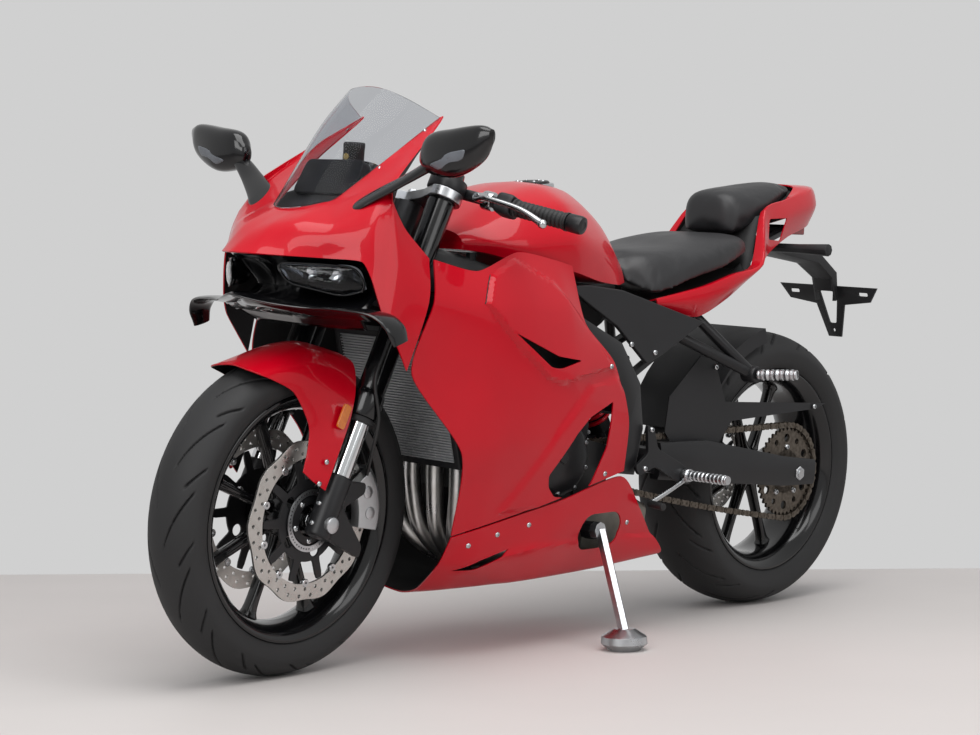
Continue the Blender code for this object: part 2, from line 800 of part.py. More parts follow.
def handlebar(side):
    """A clip-on: its ring on the fork tube, the bar, the grip, the end weight and the switches."""
    half = FORK_SPREAD / 2
    ring_low = TOP_CLAMP_PLACE + TOP_CLAMP_HEIGHT + SEAT_GAP
    foot = fork(FORK_OFFSET, half, 0)
    ring = rod(
        [foot + FORK_UP * ring_low, foot + FORK_UP * (ring_low + BAR_CLAMP_HEIGHT)], CLAMP_RING, CLAMP_STEPS
    )
    bore = rod(
        [foot + FORK_UP * LOW_CLAMP_PLACE, foot + FORK_UP * (FORK_TUBE_TOP + CLAMP_RING)],
        FORK_TUBE_RADIUS + SEAT_GAP,
        FORK_STEPS,
    )
    start, end, grip = bar_places()
    direction = (end - start).normalized()
    shapes = [
        ring,
        rod([start, end], BAR_RADIUS, BAR_STEPS),
        rod([grip, end - direction * BAR_END_RADIUS], GRIP_RADIUS, BAR_STEPS),
        rod(
            [end - direction * BAR_END_RADIUS, end + direction * BAR_END_RADIUS], BAR_END_RADIUS, BAR_STEPS,
        ),
        block(grip - direction * (SWITCH_SIZE[1] / 2), SWITCH_SIZE),
    ]
    shape = fused(shapes, [bore])
    return shape if side == "left" else mirrored(shape)


def bar_places():
    """The bar's root beside the fork tube, its outer end, and where the grip starts."""
    level = TOP_CLAMP_PLACE + TOP_CLAMP_HEIGHT + BAR_CLAMP_HEIGHT / 2
    start = fork(0, FORK_SPREAD / 2 + FORK_TUBE_RADIUS / 2, level)
    end = fork(-BAR_SWEEP, BAR_REACH, level - BAR_DROP)
    share = (GRIP_REACH - start.y) / (end.y - start.y)
    return start, end, start.lerp(end, share)


def block(centre, size, ahead=FORK_AHEAD, up=FORK_UP):
    """A box along the fork's directions, or others given."""
    side = up.cross(ahead)
    a, b, c = ahead * (size[0] / 2), side * (size[1] / 2), up * (size[2] / 2)
    low = centre - c
    return slab([low - a - b, low + a - b, low + a + b, low - a + b], c * 2)


def lever(side):
    """A hand lever: a perch round the bar, the lever ahead of the grip, and its ball end."""
    start, end, grip = bar_places()
    direction = (end - start).normalized()
    perch = grip - direction * (SWITCH_SIZE[1] + LEVER_PERCH)
    ahead = FORK_AHEAD * LEVER_AHEAD
    drop = FORK_UP * -BAR_RADIUS
    tip = end - direction * GRIP_RADIUS * 2 + FORK_AHEAD * (LEVER_AHEAD * 0.9) + FORK_UP * -LEVER_DROP
    knee = grip.lerp(end, 0.35) + ahead + FORK_UP * (-LEVER_DROP / 2)
    shapes = [
        rod(
            [perch - direction * (LEVER_PERCH / 2), perch + direction * (LEVER_PERCH / 2)],
            BAR_RADIUS * 1.6,
            BAR_STEPS,
        ),
        rod([perch + FORK_AHEAD * BAR_RADIUS, perch + ahead * 0.8 + drop], BAR_RADIUS * 0.8, BAR_STEPS),
        rod([perch + ahead * 0.7 + drop, knee, tip], LEVER_RADIUS, BAR_STEPS),
        rod(
            [tip - direction * LEVER_RADIUS, tip + direction * LEVER_RADIUS], LEVER_RADIUS * 1.5, BAR_STEPS,
        ),
    ]
    bore = rod([start, end], BAR_RADIUS + SEAT_GAP, BAR_STEPS)
    if side == "right":
        top = perch + FORK_AHEAD * (BAR_RADIUS * 2) + FORK_UP * RESERVOIR_PLACE
        shapes.append(rod([perch + FORK_AHEAD * BAR_RADIUS, top], BAR_RADIUS * 0.9, BAR_STEPS))
        shapes.append(rod([top, top + UP * RESERVOIR_HEIGHT], RESERVOIR_RADIUS, BAR_STEPS))
    shape = fused(shapes, [bore])
    return shape if side == "left" else mirrored(shape)


LEVER_PERCH = 0.024
LEVER_DROP = 0.030
RESERVOIR_PLACE = 0.040
RESERVOIR_HEIGHT = 0.050
RESERVOIR_RADIUS = 0.022

# Front mudguard, left half, crown to blade: (ahead, left, up) in shares of the fork box
FORK_BOX = (0.30, 0.12, 0.35)
MUDGUARD_SHARES = (
    ((0.943, 0.00, 0.563), (0.550, 0.00, 0.837), (0.173, 0.00, 0.914)),
    ((0.943, 0.33, 0.549), (0.550, 0.40, 0.806), (0.173, 0.43, 0.874)),
    ((0.883, 0.57, 0.543), (0.550, 0.61, 0.729), (0.200, 0.67, 0.800)),
    ((0.633, 0.65, 0.543), (0.450, 0.73, 0.614), (0.223, 0.87, 0.686)),
    ((0.450, 0.73, 0.429), (0.350, 0.83, 0.457), (0.227, 0.97, 0.543)),
    ((0.407, 0.78, 0.314), (0.323, 0.87, 0.314), (0.227, 0.99, 0.343)),
    ((0.393, 0.83, 0.189), (0.313, 0.90, 0.166), (0.220, 0.98, 0.149)),
)


def front_mudguard(carried_by):
    ahead, across_fork, up = FORK_BOX
    left = [[fork(a * ahead, b * across_fork, c * up) for a, b, c in row] for row in MUDGUARD_SHARES]
    right = [[Vector((p.x, -p.y, p.z)) for p in row] for row in left[:0:-1]]
    shape = sheet(right + left, 1, 2, inside=FRONT_AXLE)
    place("front_mudguard", shape, "red_paint", carried_by)
    leg, finish_name, held_by = PIECES["fork_slider_left"]
    ear = stud(leg, shape, fork(*EAR_PLACE), -FORK_AHEAD - LEFT * EAR_SPREAD, EAR_RADIUS, SEAT_GAP)
    leg = fused([leg, ear])
    PIECES["fork_slider_left"] = (leg, finish_name, held_by)
    PIECES["fork_slider_right"] = (mirrored(leg), finish_name, held_by)


EAR_PLACE = (0.068, 0.1085, 0.072)
EAR_SPREAD = 0.15
EAR_RADIUS = 0.004


# Bodywork tables, left side: (length, width, height) shares

NOSE_SHARES = (
    ((0.3615, 0.00, 0.865), (0.395, 0.00, 0.828), (0.422, 0.00, 0.784)),
    ((0.3570, 0.07, 0.868), (0.392, 0.07, 0.832), (0.414, 0.09, 0.783)),
    ((0.3440, 0.12, 0.877), (0.380, 0.16, 0.838), (0.394, 0.18, 0.781)),
    ((0.3320, 0.155, 0.888), (0.364, 0.26, 0.832), (0.370, 0.27, 0.779)),
    ((0.2750, 0.198, 0.972), (0.345, 0.320, 0.855), (0.351, 0.385, 0.776)),
    ((0.2180, 0.222, 1.050), (0.328, 0.370, 0.880), (0.345, 0.420, 0.740)),
    ((0.3165, 0.378, 0.912), (0.322, 0.405, 0.855), (0.339, 0.445, 0.690)),
    ((0.3070, 0.41, 0.840), (0.317, 0.44, 0.780), (0.330, 0.465, 0.655)),
    ((0.2790, 0.43, 0.785), (0.2880, 0.475, 0.705), (0.3060, 0.450, 0.582)),
)

FAIRING_SHARES = (
    (
        (0.2725, 0.430, 0.783), (0.2810, 0.475, 0.705), (0.2990, 0.450, 0.575), (0.2330, 0.460, 0.424),
        (0.2150, 0.350, 0.262),
    ),
    (
        (0.2180, 0.440, 0.764), (0.2150, 0.492, 0.690), (0.2150, 0.492, 0.575), (0.1900, 0.478, 0.430),
        (0.1820, 0.380, 0.278),
    ),
    (
        (0.1565, 0.405, 0.800), (0.1550, 0.480, 0.695), (0.1500, 0.496, 0.575), (0.1380, 0.480, 0.440),
        (0.1300, 0.400, 0.300),
    ),
    (
        (0.1000, 0.390, 0.787), (0.0950, 0.455, 0.690), (0.0900, 0.480, 0.575), (0.0800, 0.465, 0.450),
        (0.0750, 0.410, 0.325),
    ),
    (
        (0.0725, 0.385, 0.776), (0.0600, 0.425, 0.665), (0.0150, 0.430, 0.585), (-0.0110, 0.420, 0.470),
        (-0.0130, 0.400, 0.364),
    ),
)

COVER_WINDOW_SHARES = (
    (0.019, 0.509), (0.058, 0.481), (0.078, 0.450), (0.110, 0.370), (0.106, 0.346), (0.094, 0.325),
    (0.061, 0.317), (0.039, 0.343), (0.022, 0.417),
)
VENT_SHARES = ((0.181, 0.651), (0.128, 0.583), (0.113, 0.580), (0.079, 0.594), (0.117, 0.604))

# The belly's top edge follows the fairing's foot, a seam below it
BELLY_SHARES = (
    ((0.2150, 0.350, 0.258), (0.2115, 0.270, 0.200), (0.2025, 0.120, 0.140), (0.1960, 0.00, 0.125)),
    ((0.1820, 0.380, 0.274), (0.1820, 0.330, 0.200), (0.1800, 0.170, 0.141), (0.1780, 0.00, 0.126)),
    ((0.1300, 0.400, 0.296), (0.1300, 0.355, 0.210), (0.1300, 0.210, 0.143), (0.1300, 0.00, 0.129)),
    ((0.0750, 0.410, 0.317), (0.0750, 0.372, 0.228), (0.0700, 0.235, 0.147), (0.0650, 0.00, 0.133)),
    ((-0.0130, 0.400, 0.352), (-0.0150, 0.360, 0.250), (-0.0150, 0.250, 0.155), (-0.0150, 0.00, 0.140)),
    ((-0.0600, 0.350, 0.275), (-0.0825, 0.326, 0.225), (-0.1100, 0.284, 0.172), (-0.0850, 0.00, 0.150)),
)

SCREEN_SHARES = (
    ((0.3640, 0.00, 0.8640), (0.3330, 0.00, 0.948), (0.3010, 0.00, 1.030), (0.2655, 0.00, 1.098)),
    ((0.3595, 0.07, 0.8672), (0.3290, 0.08, 0.948), (0.2970, 0.095, 1.027), (0.2640, 0.10, 1.092)),
    ((0.3465, 0.12, 0.8762), (0.3140, 0.145, 0.945), (0.2820, 0.165, 1.010), (0.2500, 0.172, 1.074)),
    ((0.3340, 0.148, 0.8880), (0.2980, 0.174, 0.940), (0.2610, 0.192, 0.994), (0.2210, 0.208, 1.050)),
)


def halves(shares):
    """The left half's table, and before it the right half's, sharing the middle row."""
    left = [places(row) for row in shares]
    right = [[Vector((p.x, -p.y, p.z)) for p in row] for row in left[:0:-1]]
    return right + left


def bodywork(carried_by):
    place("nose_cowl", sheet(halves(NOSE_SHARES), 1, 2), "red_paint", carried_by)
    screen = [[point + UP * SCREEN_LIFT for point in row] for row in halves(SCREEN_SHARES)]
    place("windscreen", sheet(screen, 1, 2), "grey_lens", carried_by)
    fairing = sheet([places(row) for row in FAIRING_SHARES], 1, 2)
    cuts = [side_cut(COVER_WINDOW_SHARES), side_cut(VENT_SHARES)]
    fairing = fused([fairing], cuts)
    place("fairing_left", fairing, "red_paint", carried_by)
    place("fairing_right", mirrored(fairing), "red_paint", carried_by)
    left = [places(row) for row in BELLY_SHARES]
    whole = [row + [Vector((p.x, -p.y, p.z)) for p in row[-2::-1]] for row in left]
    belly = sheet(whole, 1, 2, inside=BELLY_INSIDE)
    outline = []
    for ahead, first in ((1, 0), (-1, STAND_CUT_STEPS // 2)):
        centre = STAND_PIVOT - LEFT * STAND_CUT_IN + FORWARD * (ahead * STAND_CUT_SPREAD)
        ring = circle(centre, LEFT, STAND_CUT, STAND_CUT_STEPS)
        outline += [ring[(first + spot) % STAND_CUT_STEPS] for spot in range(STAND_CUT_STEPS // 2 + 1)]
    slot = slab(outline, LEFT * (STAND_CUT_IN + STAND_CUT_OUT))
    place("belly_pan", fused([belly], [slot]), "red_paint", carried_by)


SCREEN_LIFT = 0.0018
STAND_PIVOT = Vector((0.013, 0.176, 0.2413))
STAND_CUT = 0.038
STAND_CUT_STEPS = 12
STAND_CUT_SPREAD = 0.031
STAND_CUT_IN = 0.06
STAND_CUT_OUT = 0.1
BELLY_INSIDE = body(0.08, 0, 0.3)


def side_cut(shares):
    """A cutter through the left side, from its outline of (length, height) shares."""
    inner = [body(length, CUT_START_SHARE, height) for length, height in shares]
    return slab(inner, LEFT * (BODY_WIDTH * CUT_REACH_SHARE))


CUT_START_SHARE = 0.30
CUT_REACH_SHARE = 0.30


# Chassis sizes

PIVOT = Vector((-0.085, 0.0, 0.375))
ARM_SPREAD = 0.275
ARM_CROSS = Vector((-0.205, 0.0, 0.368))
ARM_WIDTH = 0.028
CROSS_RADIUS = 0.028
PIVOT_BOLT = 0.009
FRONT_SPROCKET = Vector((-0.038, 0.0, 0.372))
ENGINE_HALF = 0.125
GEARBOX_HALF = 0.085
COVER_REACH = 0.180
PIPE_RADIUS = 0.018
PIPE_SPREAD = 0.075
RAIL_RADIUS = 0.011
PLATE = 0.006

# One beam of the frame, left side: (length, width, height) shares, width and height of the beam
FRAME_SHARES = (
    (0.2250, 0.06, 0.775), (0.1840, 0.197, 0.745), (0.1100, 0.33, 0.698), (0.0600, 0.344, 0.640),
    (-0.0050, 0.336, 0.590), (-0.0350, 0.324, 0.520), (-0.0475, 0.306, 0.440), (-0.0425, 0.290, 0.350),
)
FRAME_SIDES = (0.034, 0.036, 0.036, 0.034, 0.034, 0.032, 0.030, 0.030)
FRAME_HEIGHTS = (0.080, 0.085, 0.080, 0.080, 0.075, 0.072, 0.068, 0.064)

# Outlines seen from the side: (length, height) shares
CRANKCASE_SHARES = (
    (-0.0225, 0.30), (-0.0225, 0.43), (0.015, 0.465), (0.15, 0.45), (0.15, 0.33), (0.12, 0.235),
    (0.02, 0.225),
)
CYLINDER_SHARES = (
    (0.012, 0.28), (0.012, 0.45), (0.045, 0.50), (0.06, 0.635), (0.135, 0.66), (0.158, 0.53), (0.145, 0.42),
    (0.145, 0.33), (0.12, 0.24), (0.02, 0.23),
)
SPROCKET_COVER_SHARES = ((0.020, 0.31), (-0.028, 0.325), (-0.0365, 0.36), (-0.033, 0.405), (0.020, 0.43))
SIDE_COVER_SHARES = (
    (0.068, 0.735), (0.0355, 0.738), (-0.0165, 0.728), (-0.0775, 0.698), (-0.150, 0.662), (-0.084, 0.595),
    (-0.0595, 0.577), (-0.010, 0.655), (0.035, 0.70),
)
REARSET_SHARES = (
    (-0.064, 0.452), (-0.076, 0.440), (-0.0825, 0.40), (-0.125, 0.362), (-0.145, 0.340), (-0.1375, 0.317),
    (-0.1175, 0.325), (-0.080, 0.362), (-0.055, 0.345), (-0.0475, 0.365), (-0.0675, 0.39),
)
GUARD_SHARES = (
    (-0.1250, 0.425), (-0.1300, 0.50), (-0.1800, 0.585), (-0.2050, 0.575), (-0.2270, 0.483),
    (-0.4140, 0.468), (-0.4000, 0.457), (-0.2400, 0.440), (-0.2150, 0.385), (-0.1450, 0.385),
)
TAIL_WINDOW_SHARES = ((-0.296, 0.886), (-0.337, 0.890), (-0.322, 0.838), (-0.289, 0.840))
PLATE_SHARES = (
    (-0.28, 0.735), (0.28, 0.735), (0.23, 0.700), (0.08, 0.690), (0.036, 0.612), (-0.036, 0.612),
    (-0.08, 0.690), (-0.23, 0.700),
)

# Closed forms, left half, one row at each length: length share, then (width, height) from top to foot
TANK_SHARES = (
    (0.1860, ((0, 0.838), (0.12, 0.838), (0.19, 0.830), (0.225, 0.815), (0.215, 0.800), (0, 0.800))),
    (0.1650, ((0, 0.862), (0.14, 0.860), (0.24, 0.845), (0.295, 0.818), (0.285, 0.795), (0, 0.795))),
    (0.1250, ((0, 0.905), (0.17, 0.900), (0.285, 0.872), (0.36, 0.820), (0.355, 0.775), (0, 0.765))),
    (0.0675, ((0, 0.937), (0.16, 0.930), (0.30, 0.895), (0.384, 0.830), (0.37, 0.765), (0, 0.745))),
    (0.0150, ((0, 0.932), (0.12, 0.922), (0.23, 0.885), (0.33, 0.810), (0.33, 0.745), (0, 0.740))),
    (-0.0225, ((0, 0.895), (0.10, 0.885), (0.19, 0.855), (0.27, 0.800), (0.30, 0.738), (0, 0.735))),
    (-0.0465, ((0, 0.845), (0.10, 0.835), (0.18, 0.805), (0.23, 0.770), (0.25, 0.742), (0, 0.735))),
)
RIDER_SEAT_SHARES = (
    (-0.0500, ((0, 0.798), (0.12, 0.793), (0.20, 0.770), (0.24, 0.742), (0, 0.738))),
    (-0.0800, ((0, 0.805), (0.16, 0.802), (0.27, 0.785), (0.32, 0.715), (0, 0.745))),
    (-0.1400, ((0, 0.815), (0.20, 0.812), (0.31, 0.795), (0.336, 0.748), (0, 0.765))),
    (-0.1950, ((0, 0.838), (0.21, 0.832), (0.31, 0.815), (0.330, 0.776), (0, 0.785))),
    (-0.2400, ((0, 0.846), (0.19, 0.844), (0.275, 0.832), (0.285, 0.803), (0, 0.803))),
    (-0.2610, ((0, 0.840), (0.15, 0.838), (0.215, 0.825), (0.225, 0.803), (0, 0.802))),
)
PILLION_SEAT_SHARES = (
    (-0.2520, ((0, 0.930), (0.06, 0.926), (0.100, 0.905), (0.105, 0.850), (0, 0.848))),
    (-0.2620, ((0, 0.944), (0.09, 0.938), (0.140, 0.912), (0.150, 0.852), (0, 0.850))),
    (-0.2950, ((0, 0.952), (0.12, 0.943), (0.172, 0.915), (0.176, 0.872), (0, 0.866))),
    (-0.3350, ((0, 0.963), (0.11, 0.955), (0.148, 0.938), (0.150, 0.912), (0, 0.898))),
    (-0.3800, ((0, 0.970), (0.07, 0.965), (0.088, 0.955), (0.088, 0.948), (0, 0.938))),
)
TAIL_SHARES = (
    ((-0.0790, 0.280, 0.706), (-0.0790, 0.316, 0.710), (-0.0800, 0.322, 0.698), (-0.0810, 0.306, 0.684)),
    ((-0.1500, 0.310, 0.735), (-0.1500, 0.350, 0.738), (-0.1500, 0.352, 0.708), (-0.1500, 0.310, 0.672)),
    ((-0.2000, 0.310, 0.762), (-0.2000, 0.350, 0.766), (-0.2020, 0.356, 0.742), (-0.1970, 0.320, 0.712)),
    ((-0.2520, 0.270, 0.784), (-0.2550, 0.318, 0.790), (-0.2560, 0.326, 0.785), (-0.2500, 0.300, 0.768)),
    ((-0.2875, 0.200, 0.900), (-0.2890, 0.222, 0.905), (-0.2900, 0.240, 0.860), (-0.2930, 0.250, 0.815)),
    ((-0.3400, 0.160, 0.925), (-0.3400, 0.176, 0.930), (-0.3450, 0.196, 0.895), (-0.3450, 0.186, 0.848)),
    ((-0.3860, 0.080, 0.962), (-0.4100, 0.110, 0.958), (-0.4150, 0.130, 0.920), (-0.4080, 0.110, 0.876)),
    ((-0.3840, 0.000, 0.968), (-0.4420, 0.000, 0.967), (-0.4450, 0.000, 0.935), (-0.4300, 0.000, 0.900)),
)
WING_SHARES = (
    (0.4080, 0.00, 0.708), (0.3930, 0.12, 0.697), (0.3720, 0.24, 0.690), (0.3620, 0.37, 0.690),
    (0.3520, 0.49, 0.684), (0.3460, 0.545, 0.664), (0.3410, 0.560, 0.636),
)
WING_CHORDS = (0.050, 0.046, 0.044, 0.044, 0.044, 0.040, 0.030)
WING_THICKNESS = 0.009
LAMP_SHARES = (
    (0.395, 0.124, 0.768), (0.366, 0.26, 0.768), (0.350, 0.36, 0.764), (0.343, 0.385, 0.725),
    (0.357, 0.32, 0.712), (0.388, 0.15, 0.733),
)
LAMP_DEPTH = 0.060
LAMP_BACK_SHARE = 0.8
LAMP_TOE = 0.012
MIRROR_RINGS = (
    # place across as a width share, then centre (length, height) shares and half sizes
    (0.490, 0.3060, 0.965, 0.010, 0.014),
    (0.540, 0.3060, 0.972, 0.024, 0.036),
    (0.652, 0.3065, 0.974, 0.027, 0.043),
    (0.770, 0.3058, 0.990, 0.020, 0.033),
    (0.824, 0.3055, 1.004, 0.008, 0.012),
)
PAD_RINGS = ((0.030, 0.0), (0.0475, 0.014), (0.046, 0.028), (0.022, 0.043))


def side_slab(shares, start, thickness):
    """A flat plate on the left, from its side outline, its inner face's place and its thickness."""
    return slab([Vector((x * BODY_LENGTH, start, z * BODY_HEIGHT)) for x, z in shares], LEFT * thickness)


def ribbed(centres, chords, thicknesses, side):
    """A flat bar whose chord runs along the given side."""
    rings = []
    for index, centre in enumerate(centres):
        before = centres[max(index - 1, 0)]
        after = centres[min(index + 1, len(centres) - 1)]
        along = (after - before).normalized()
        chord = (side - along * side.dot(along)).normalized()
        high = along.cross(chord)
        a, b = chord * (chords[index] / 2), high * (thicknesses[index] / 2)
        rings.append([centre - a, centre - b, centre + a, centre + b])
    return loft(rings)


def form(shares, row_steps=1, column_steps=2):
    """A closed form through rows of a left half outline, mirrored to the right."""
    rows = []
    for length, outline in shares:
        left = [body(length, width, height) for width, height in outline]
        left = curve_through(left[:-1], column_steps) + left[-1:]
        right = [Vector((p.x, -p.y, p.z)) for p in left[1:-1]]
        rows.append(left + list(reversed(right)))
    columns = [curve_through(column, row_steps) for column in zip(*rows)]
    return loft([list(ring) for ring in zip(*columns)])


def main_frame(carried_by):
    """Two pressed beams from the steering head down to the swingarm's pivot plates."""
    left = beam(places(FRAME_SHARES), FRAME_SIDES, FRAME_HEIGHTS)
    head_low, head_high = LOW_CLAMP_PLACE + LOW_CLAMP_HEIGHT + HEAD_CLEAR, TOP_CLAMP_PLACE - HEAD_CLEAR
    head = rod([fork(0, 0, head_low), fork(0, 0, head_high)], HEAD_RADIUS, CLAMP_STEPS)
    bore = rod(
        [fork(0, 0, head_low - HEAD_RADIUS), fork(0, 0, head_high + HEAD_RADIUS)],
        STEM_RADIUS + PIN_GAP,
        CLAMP_STEPS,
    )
    shapes = [head] + both(left)
    for length, height in FRAME_TIE_SHARES:
        spot = body(length, 0, height)
        shapes.append(rod([spot - LEFT * FRAME_TIE_REACH, spot + LEFT * FRAME_TIE_REACH], FRAME_TIE_RADIUS))
    shapes.append(rod([PIVOT - LEFT * FRAME_TIE_REACH, PIVOT + LEFT * FRAME_TIE_REACH], PIVOT_BOLT))
    place("main_frame", fused(shapes, [bore]), "black_frame", carried_by)


HEAD_CLEAR = 0.0008
FRAME_TIE_SHARES = ((-0.0400, 0.572), (-0.0310, 0.485))
FRAME_TIE_REACH = 0.150
FRAME_TIE_RADIUS = 0.014


def swingarm(carried_by):
    half = ARM_SPREAD / 2
    cross = ARM_CROSS.copy()
    centres = [cross] + places(ARM_SHARES) + [REAR_AXLE - FORWARD * ARM_END]
    arm = beam([centre + LEFT * half for centre in centres], [ARM_WIDTH] * len(centres), ARM_HEIGHTS)
    inner = beam([PIVOT + LEFT * INNER_ARM, cross + LEFT * INNER_ARM], [ARM_WIDTH] * 2, [INNER_HEIGHT] * 2)
    shapes = [rod([cross - LEFT * half, cross + LEFT * half], CROSS_RADIUS, CLAMP_STEPS)]
    shapes += both(arm) + both(inner)
    shapes.append(rod([PIVOT - LEFT * PIVOT_HALF, PIVOT + LEFT * PIVOT_HALF], CROSS_RADIUS, CLAMP_STEPS))
    bolt = rod([PIVOT - LEFT * half, PIVOT + LEFT * half], PIVOT_BOLT + SEAT_GAP)
    spindle = rod(
        [REAR_AXLE - LEFT * ARM_SPREAD, REAR_AXLE + LEFT * ARM_SPREAD], AXLE_RADIUS + SEAT_GAP, AXLE_STEPS,
    )
    place("swingarm", fused(shapes, [bolt, spindle]), "black_frame", carried_by)


ARM_SHARES = ((-0.18, 0.0, 0.360), (-0.325, 0.0, 0.322))
ARM_HEIGHTS = (0.078, 0.090, 0.066, 0.056)
INNER_HEIGHT = 0.050
ARM_END = 0.060
INNER_ARM = 0.066
PIVOT_HALF = 0.092


def engine(carried_by):
    """The block in its real place: gearbox, crankcase with cylinders, side covers, front sprocket."""
    shapes = [
        side_slab(CRANKCASE_SHARES, -GEARBOX_HALF, GEARBOX_HALF * 2),
        side_slab(CYLINDER_SHARES, -ENGINE_HALF, ENGINE_HALF * 2),
        side_slab(SPROCKET_COVER_SHARES, ENGINE_HALF - PLATE, PLATE * 1.5),
    ]
    for length, height, radius, reach in COVERS:
        spot = body(length, 0, height)
        stations = (ENGINE_HALF - PLATE, reach - PLATE, reach)
        radii = [radius, radius, radius * COVER_EDGE_SHARE]
        cover = rod([spot + LEFT * station for station in stations], radii, CLAMP_STEPS)
        shapes += both(cover)
    hub = FRONT_SPROCKET
    shapes.append(
        rod([hub + LEFT * (GEARBOX_HALF - PLATE), hub + LEFT * (ENGINE_HALF - PLATE / 2)], SHAFT_RADIUS)
    )
    half = SPROCKET_THICKNESS / 2
    root = pitch_radius(FRONT_TEETH) - SPROCKET_CLEAR + SPROCKET_SEAT
    shapes.append(
        rod([hub + LEFT * (CHAIN_LINE - half), hub + LEFT * (CHAIN_LINE + half)], root, CLAMP_STEPS)
    )
    eye = STAND_PIVOT - STAND_AXIS * (STAND_EYE + SEAT_GAP)
    back = eye - STAND_AXIS * STAND_LUG
    shapes.append(rod([eye, back], STAND_EYE_RADIUS, BAR_STEPS))
    shapes.append(rod([back.lerp(eye, 0.3), body(*STAND_ROOT_SHARE)], STAND_LUG / 2, BAR_STEPS))
    place("engine", fused(shapes), "black_frame", carried_by)


STAND_LUG = 0.024
STAND_ROOT_SHARE = (0.022, 0.20, 0.272)
SHAFT_RADIUS = 0.014
COVER_EDGE_SHARE = 0.85
# The round side covers: length and height shares of their middle, radius, how far out they reach
COVERS = ((0.0625, 0.395, 0.078, 0.176), (0.0425, 0.455, 0.046, 0.168))


def exhaust(carried_by):
    """Four header pipes that meet under the engine in a box silencer."""
    shapes = []
    for place_share in PIPE_PLACE_SHARES:
        across_block = PIPE_SPREAD * place_share
        route = [body(x, 0, z) + LEFT * (across_block * share) for x, z, share in PIPE_SHARES]
        shapes.append(rod(route, PIPE_RADIUS))
    collector = [body(x, 0, z) for x, z in COLLECTOR_SHARES]
    shapes.append(rod(collector, COLLECTOR_RADII))
    box = [body(x, 0, z) for x, z in BOX_SHARES]
    rings = []
    for spot, high in zip(box, BOX_HEIGHTS):
        corners = zip((-1, -1, 1, 1), BOX_SIDES)
        rings.append([spot + UP * (level * high / 2) + LEFT * side for level, side in corners])
    shapes.append(loft(rings))
    place("exhaust", fused(shapes), "steel", carried_by)


PIPE_SHARES = (
    (0.1558, 0.470, 1.0), (0.1670, 0.450, 1.0), (0.170, 0.40, 1.0), (0.169, 0.33, 1.0),
    (0.158, 0.245, 0.75), (0.125, 0.185, 0.3), (0.085, 0.181, 0.08),
)
PIPE_PLACE_SHARES = (-1.275, -0.425, 0.425, 1.275)
COLLECTOR_RADII = (0.024, 0.026, 0.026)
# The silencer's section: where its two lower and two upper corners lie across the bike
BOX_SIDES = (-0.110, 0.075, 0.085, -0.120)
COLLECTOR_SHARES = ((0.095, 0.182), (0.02, 0.184), (-0.030, 0.200))
BOX_SHARES = ((-0.024, 0.205), (-0.040, 0.222), (-0.105, 0.228), (-0.125, 0.225))
BOX_HEIGHTS = (0.05, 0.115, 0.115, 0.08)


def radiator(carried_by):
    low, top = places(RADIATOR_SHARES)
    up = (top - low).normalized()
    ahead = LEFT.cross(up)
    core = block((low + top) / 2, (RADIATOR_DEPTH, RADIATOR_WIDTH, (top - low).length), ahead, up)
    place("radiator", core, "black_plastic", carried_by)


RADIATOR_SHARES = ((0.1875, 0.0, 0.385), (0.2225, 0.0, 0.640))
RADIATOR_DEPTH = 0.028
RADIATOR_WIDTH = 0.300


def soft_and_tank(carried_by):
    place("fuel_tank", form(TANK_SHARES, 1, 1), "red_paint", carried_by)
    place("rider_seat", form(RIDER_SEAT_SHARES, 1, 1), "vinyl", carried_by)
    place("pillion_seat", form(PILLION_SEAT_SHARES, 1, 1), "vinyl", carried_by)


def tail(carried_by):
    left = [places(row) for row in TAIL_SHARES]
    right = [[Vector((p.x, -p.y, p.z)) for p in row] for row in reversed(left[:-1])]
    ribbon = sheet(left + right, 1, 1, inside=body(*TAIL_INSIDE_SHARE))
    window = slab([body(x, -1, z) for x, z in TAIL_WINDOW_SHARES], LEFT * (BODY_WIDTH * 2))
    place("tail_cowl", fused([ribbon], [window]), "red_paint", carried_by)
    tie = body(TIE_SHARES[-1][0], 0, TIE_SHARES[-1][2])
    flat = TIE_RADIUS * math.cos(math.pi / TUBE_STEPS)
    centre = tie - FORWARD * (flat + BOSS_GAP + TAIL_LAMP_SIZE[0] / 2)
    lamp = block(centre, TAIL_LAMP_SIZE, FORWARD, UP)
    place("tail_lamp", lamp, "red_lens", carried_by)
    cover = side_slab(SIDE_COVER_SHARES, SIDE_COVER_PLACE, SIDE_COVER_DEPTH)
    place("side_cover_left", cover, "black_plastic", carried_by)
    place("side_cover_right", mirrored(cover), "black_plastic", carried_by)


TAIL_INSIDE_SHARE = (-0.25, 0.0, 0.80)
SIDE_COVER_PLACE = 0.1640
SIDE_COVER_DEPTH = 0.012
TAIL_LAMP_SIZE = (0.095, 0.060, 0.022)


def plate_bracket(carried_by):
    shapes = [beam(places(BRACKET_SHARES), BRACKET_WIDTHS, BRACKET_HEIGHTS)]
    top = body(TIE_SHARES[-1][0], 0, TIE_SHARES[-1][2]) - UP * (TIE_RADIUS + BOSS_GAP)
    shapes.append(rod([top, top - UP * BRACKET_POST], TIE_RADIUS))
    end = body(*BRACKET_SHARES[-1])
    outline = []
    for width, height in PLATE_SHARES:
        spot = body(0, width, height)
        spot.x = end.x - (body(0, 0, PLATE_SHARES[0][1]).z - spot.z) * PLATE_SLOPE
        outline.append(spot)
    shapes.append(slab(outline, Vector((-PLATE, 0, 0))))
    stalk = body(*STALK_SHARE)
    for side in (-1, 1):
        shapes.append(rod([stalk + LEFT * (side * reach) for reach in STALK_REACHES], STALK_RADII, BAR_STEPS))
    place("plate_bracket", fused(shapes), "black_plastic", carried_by)


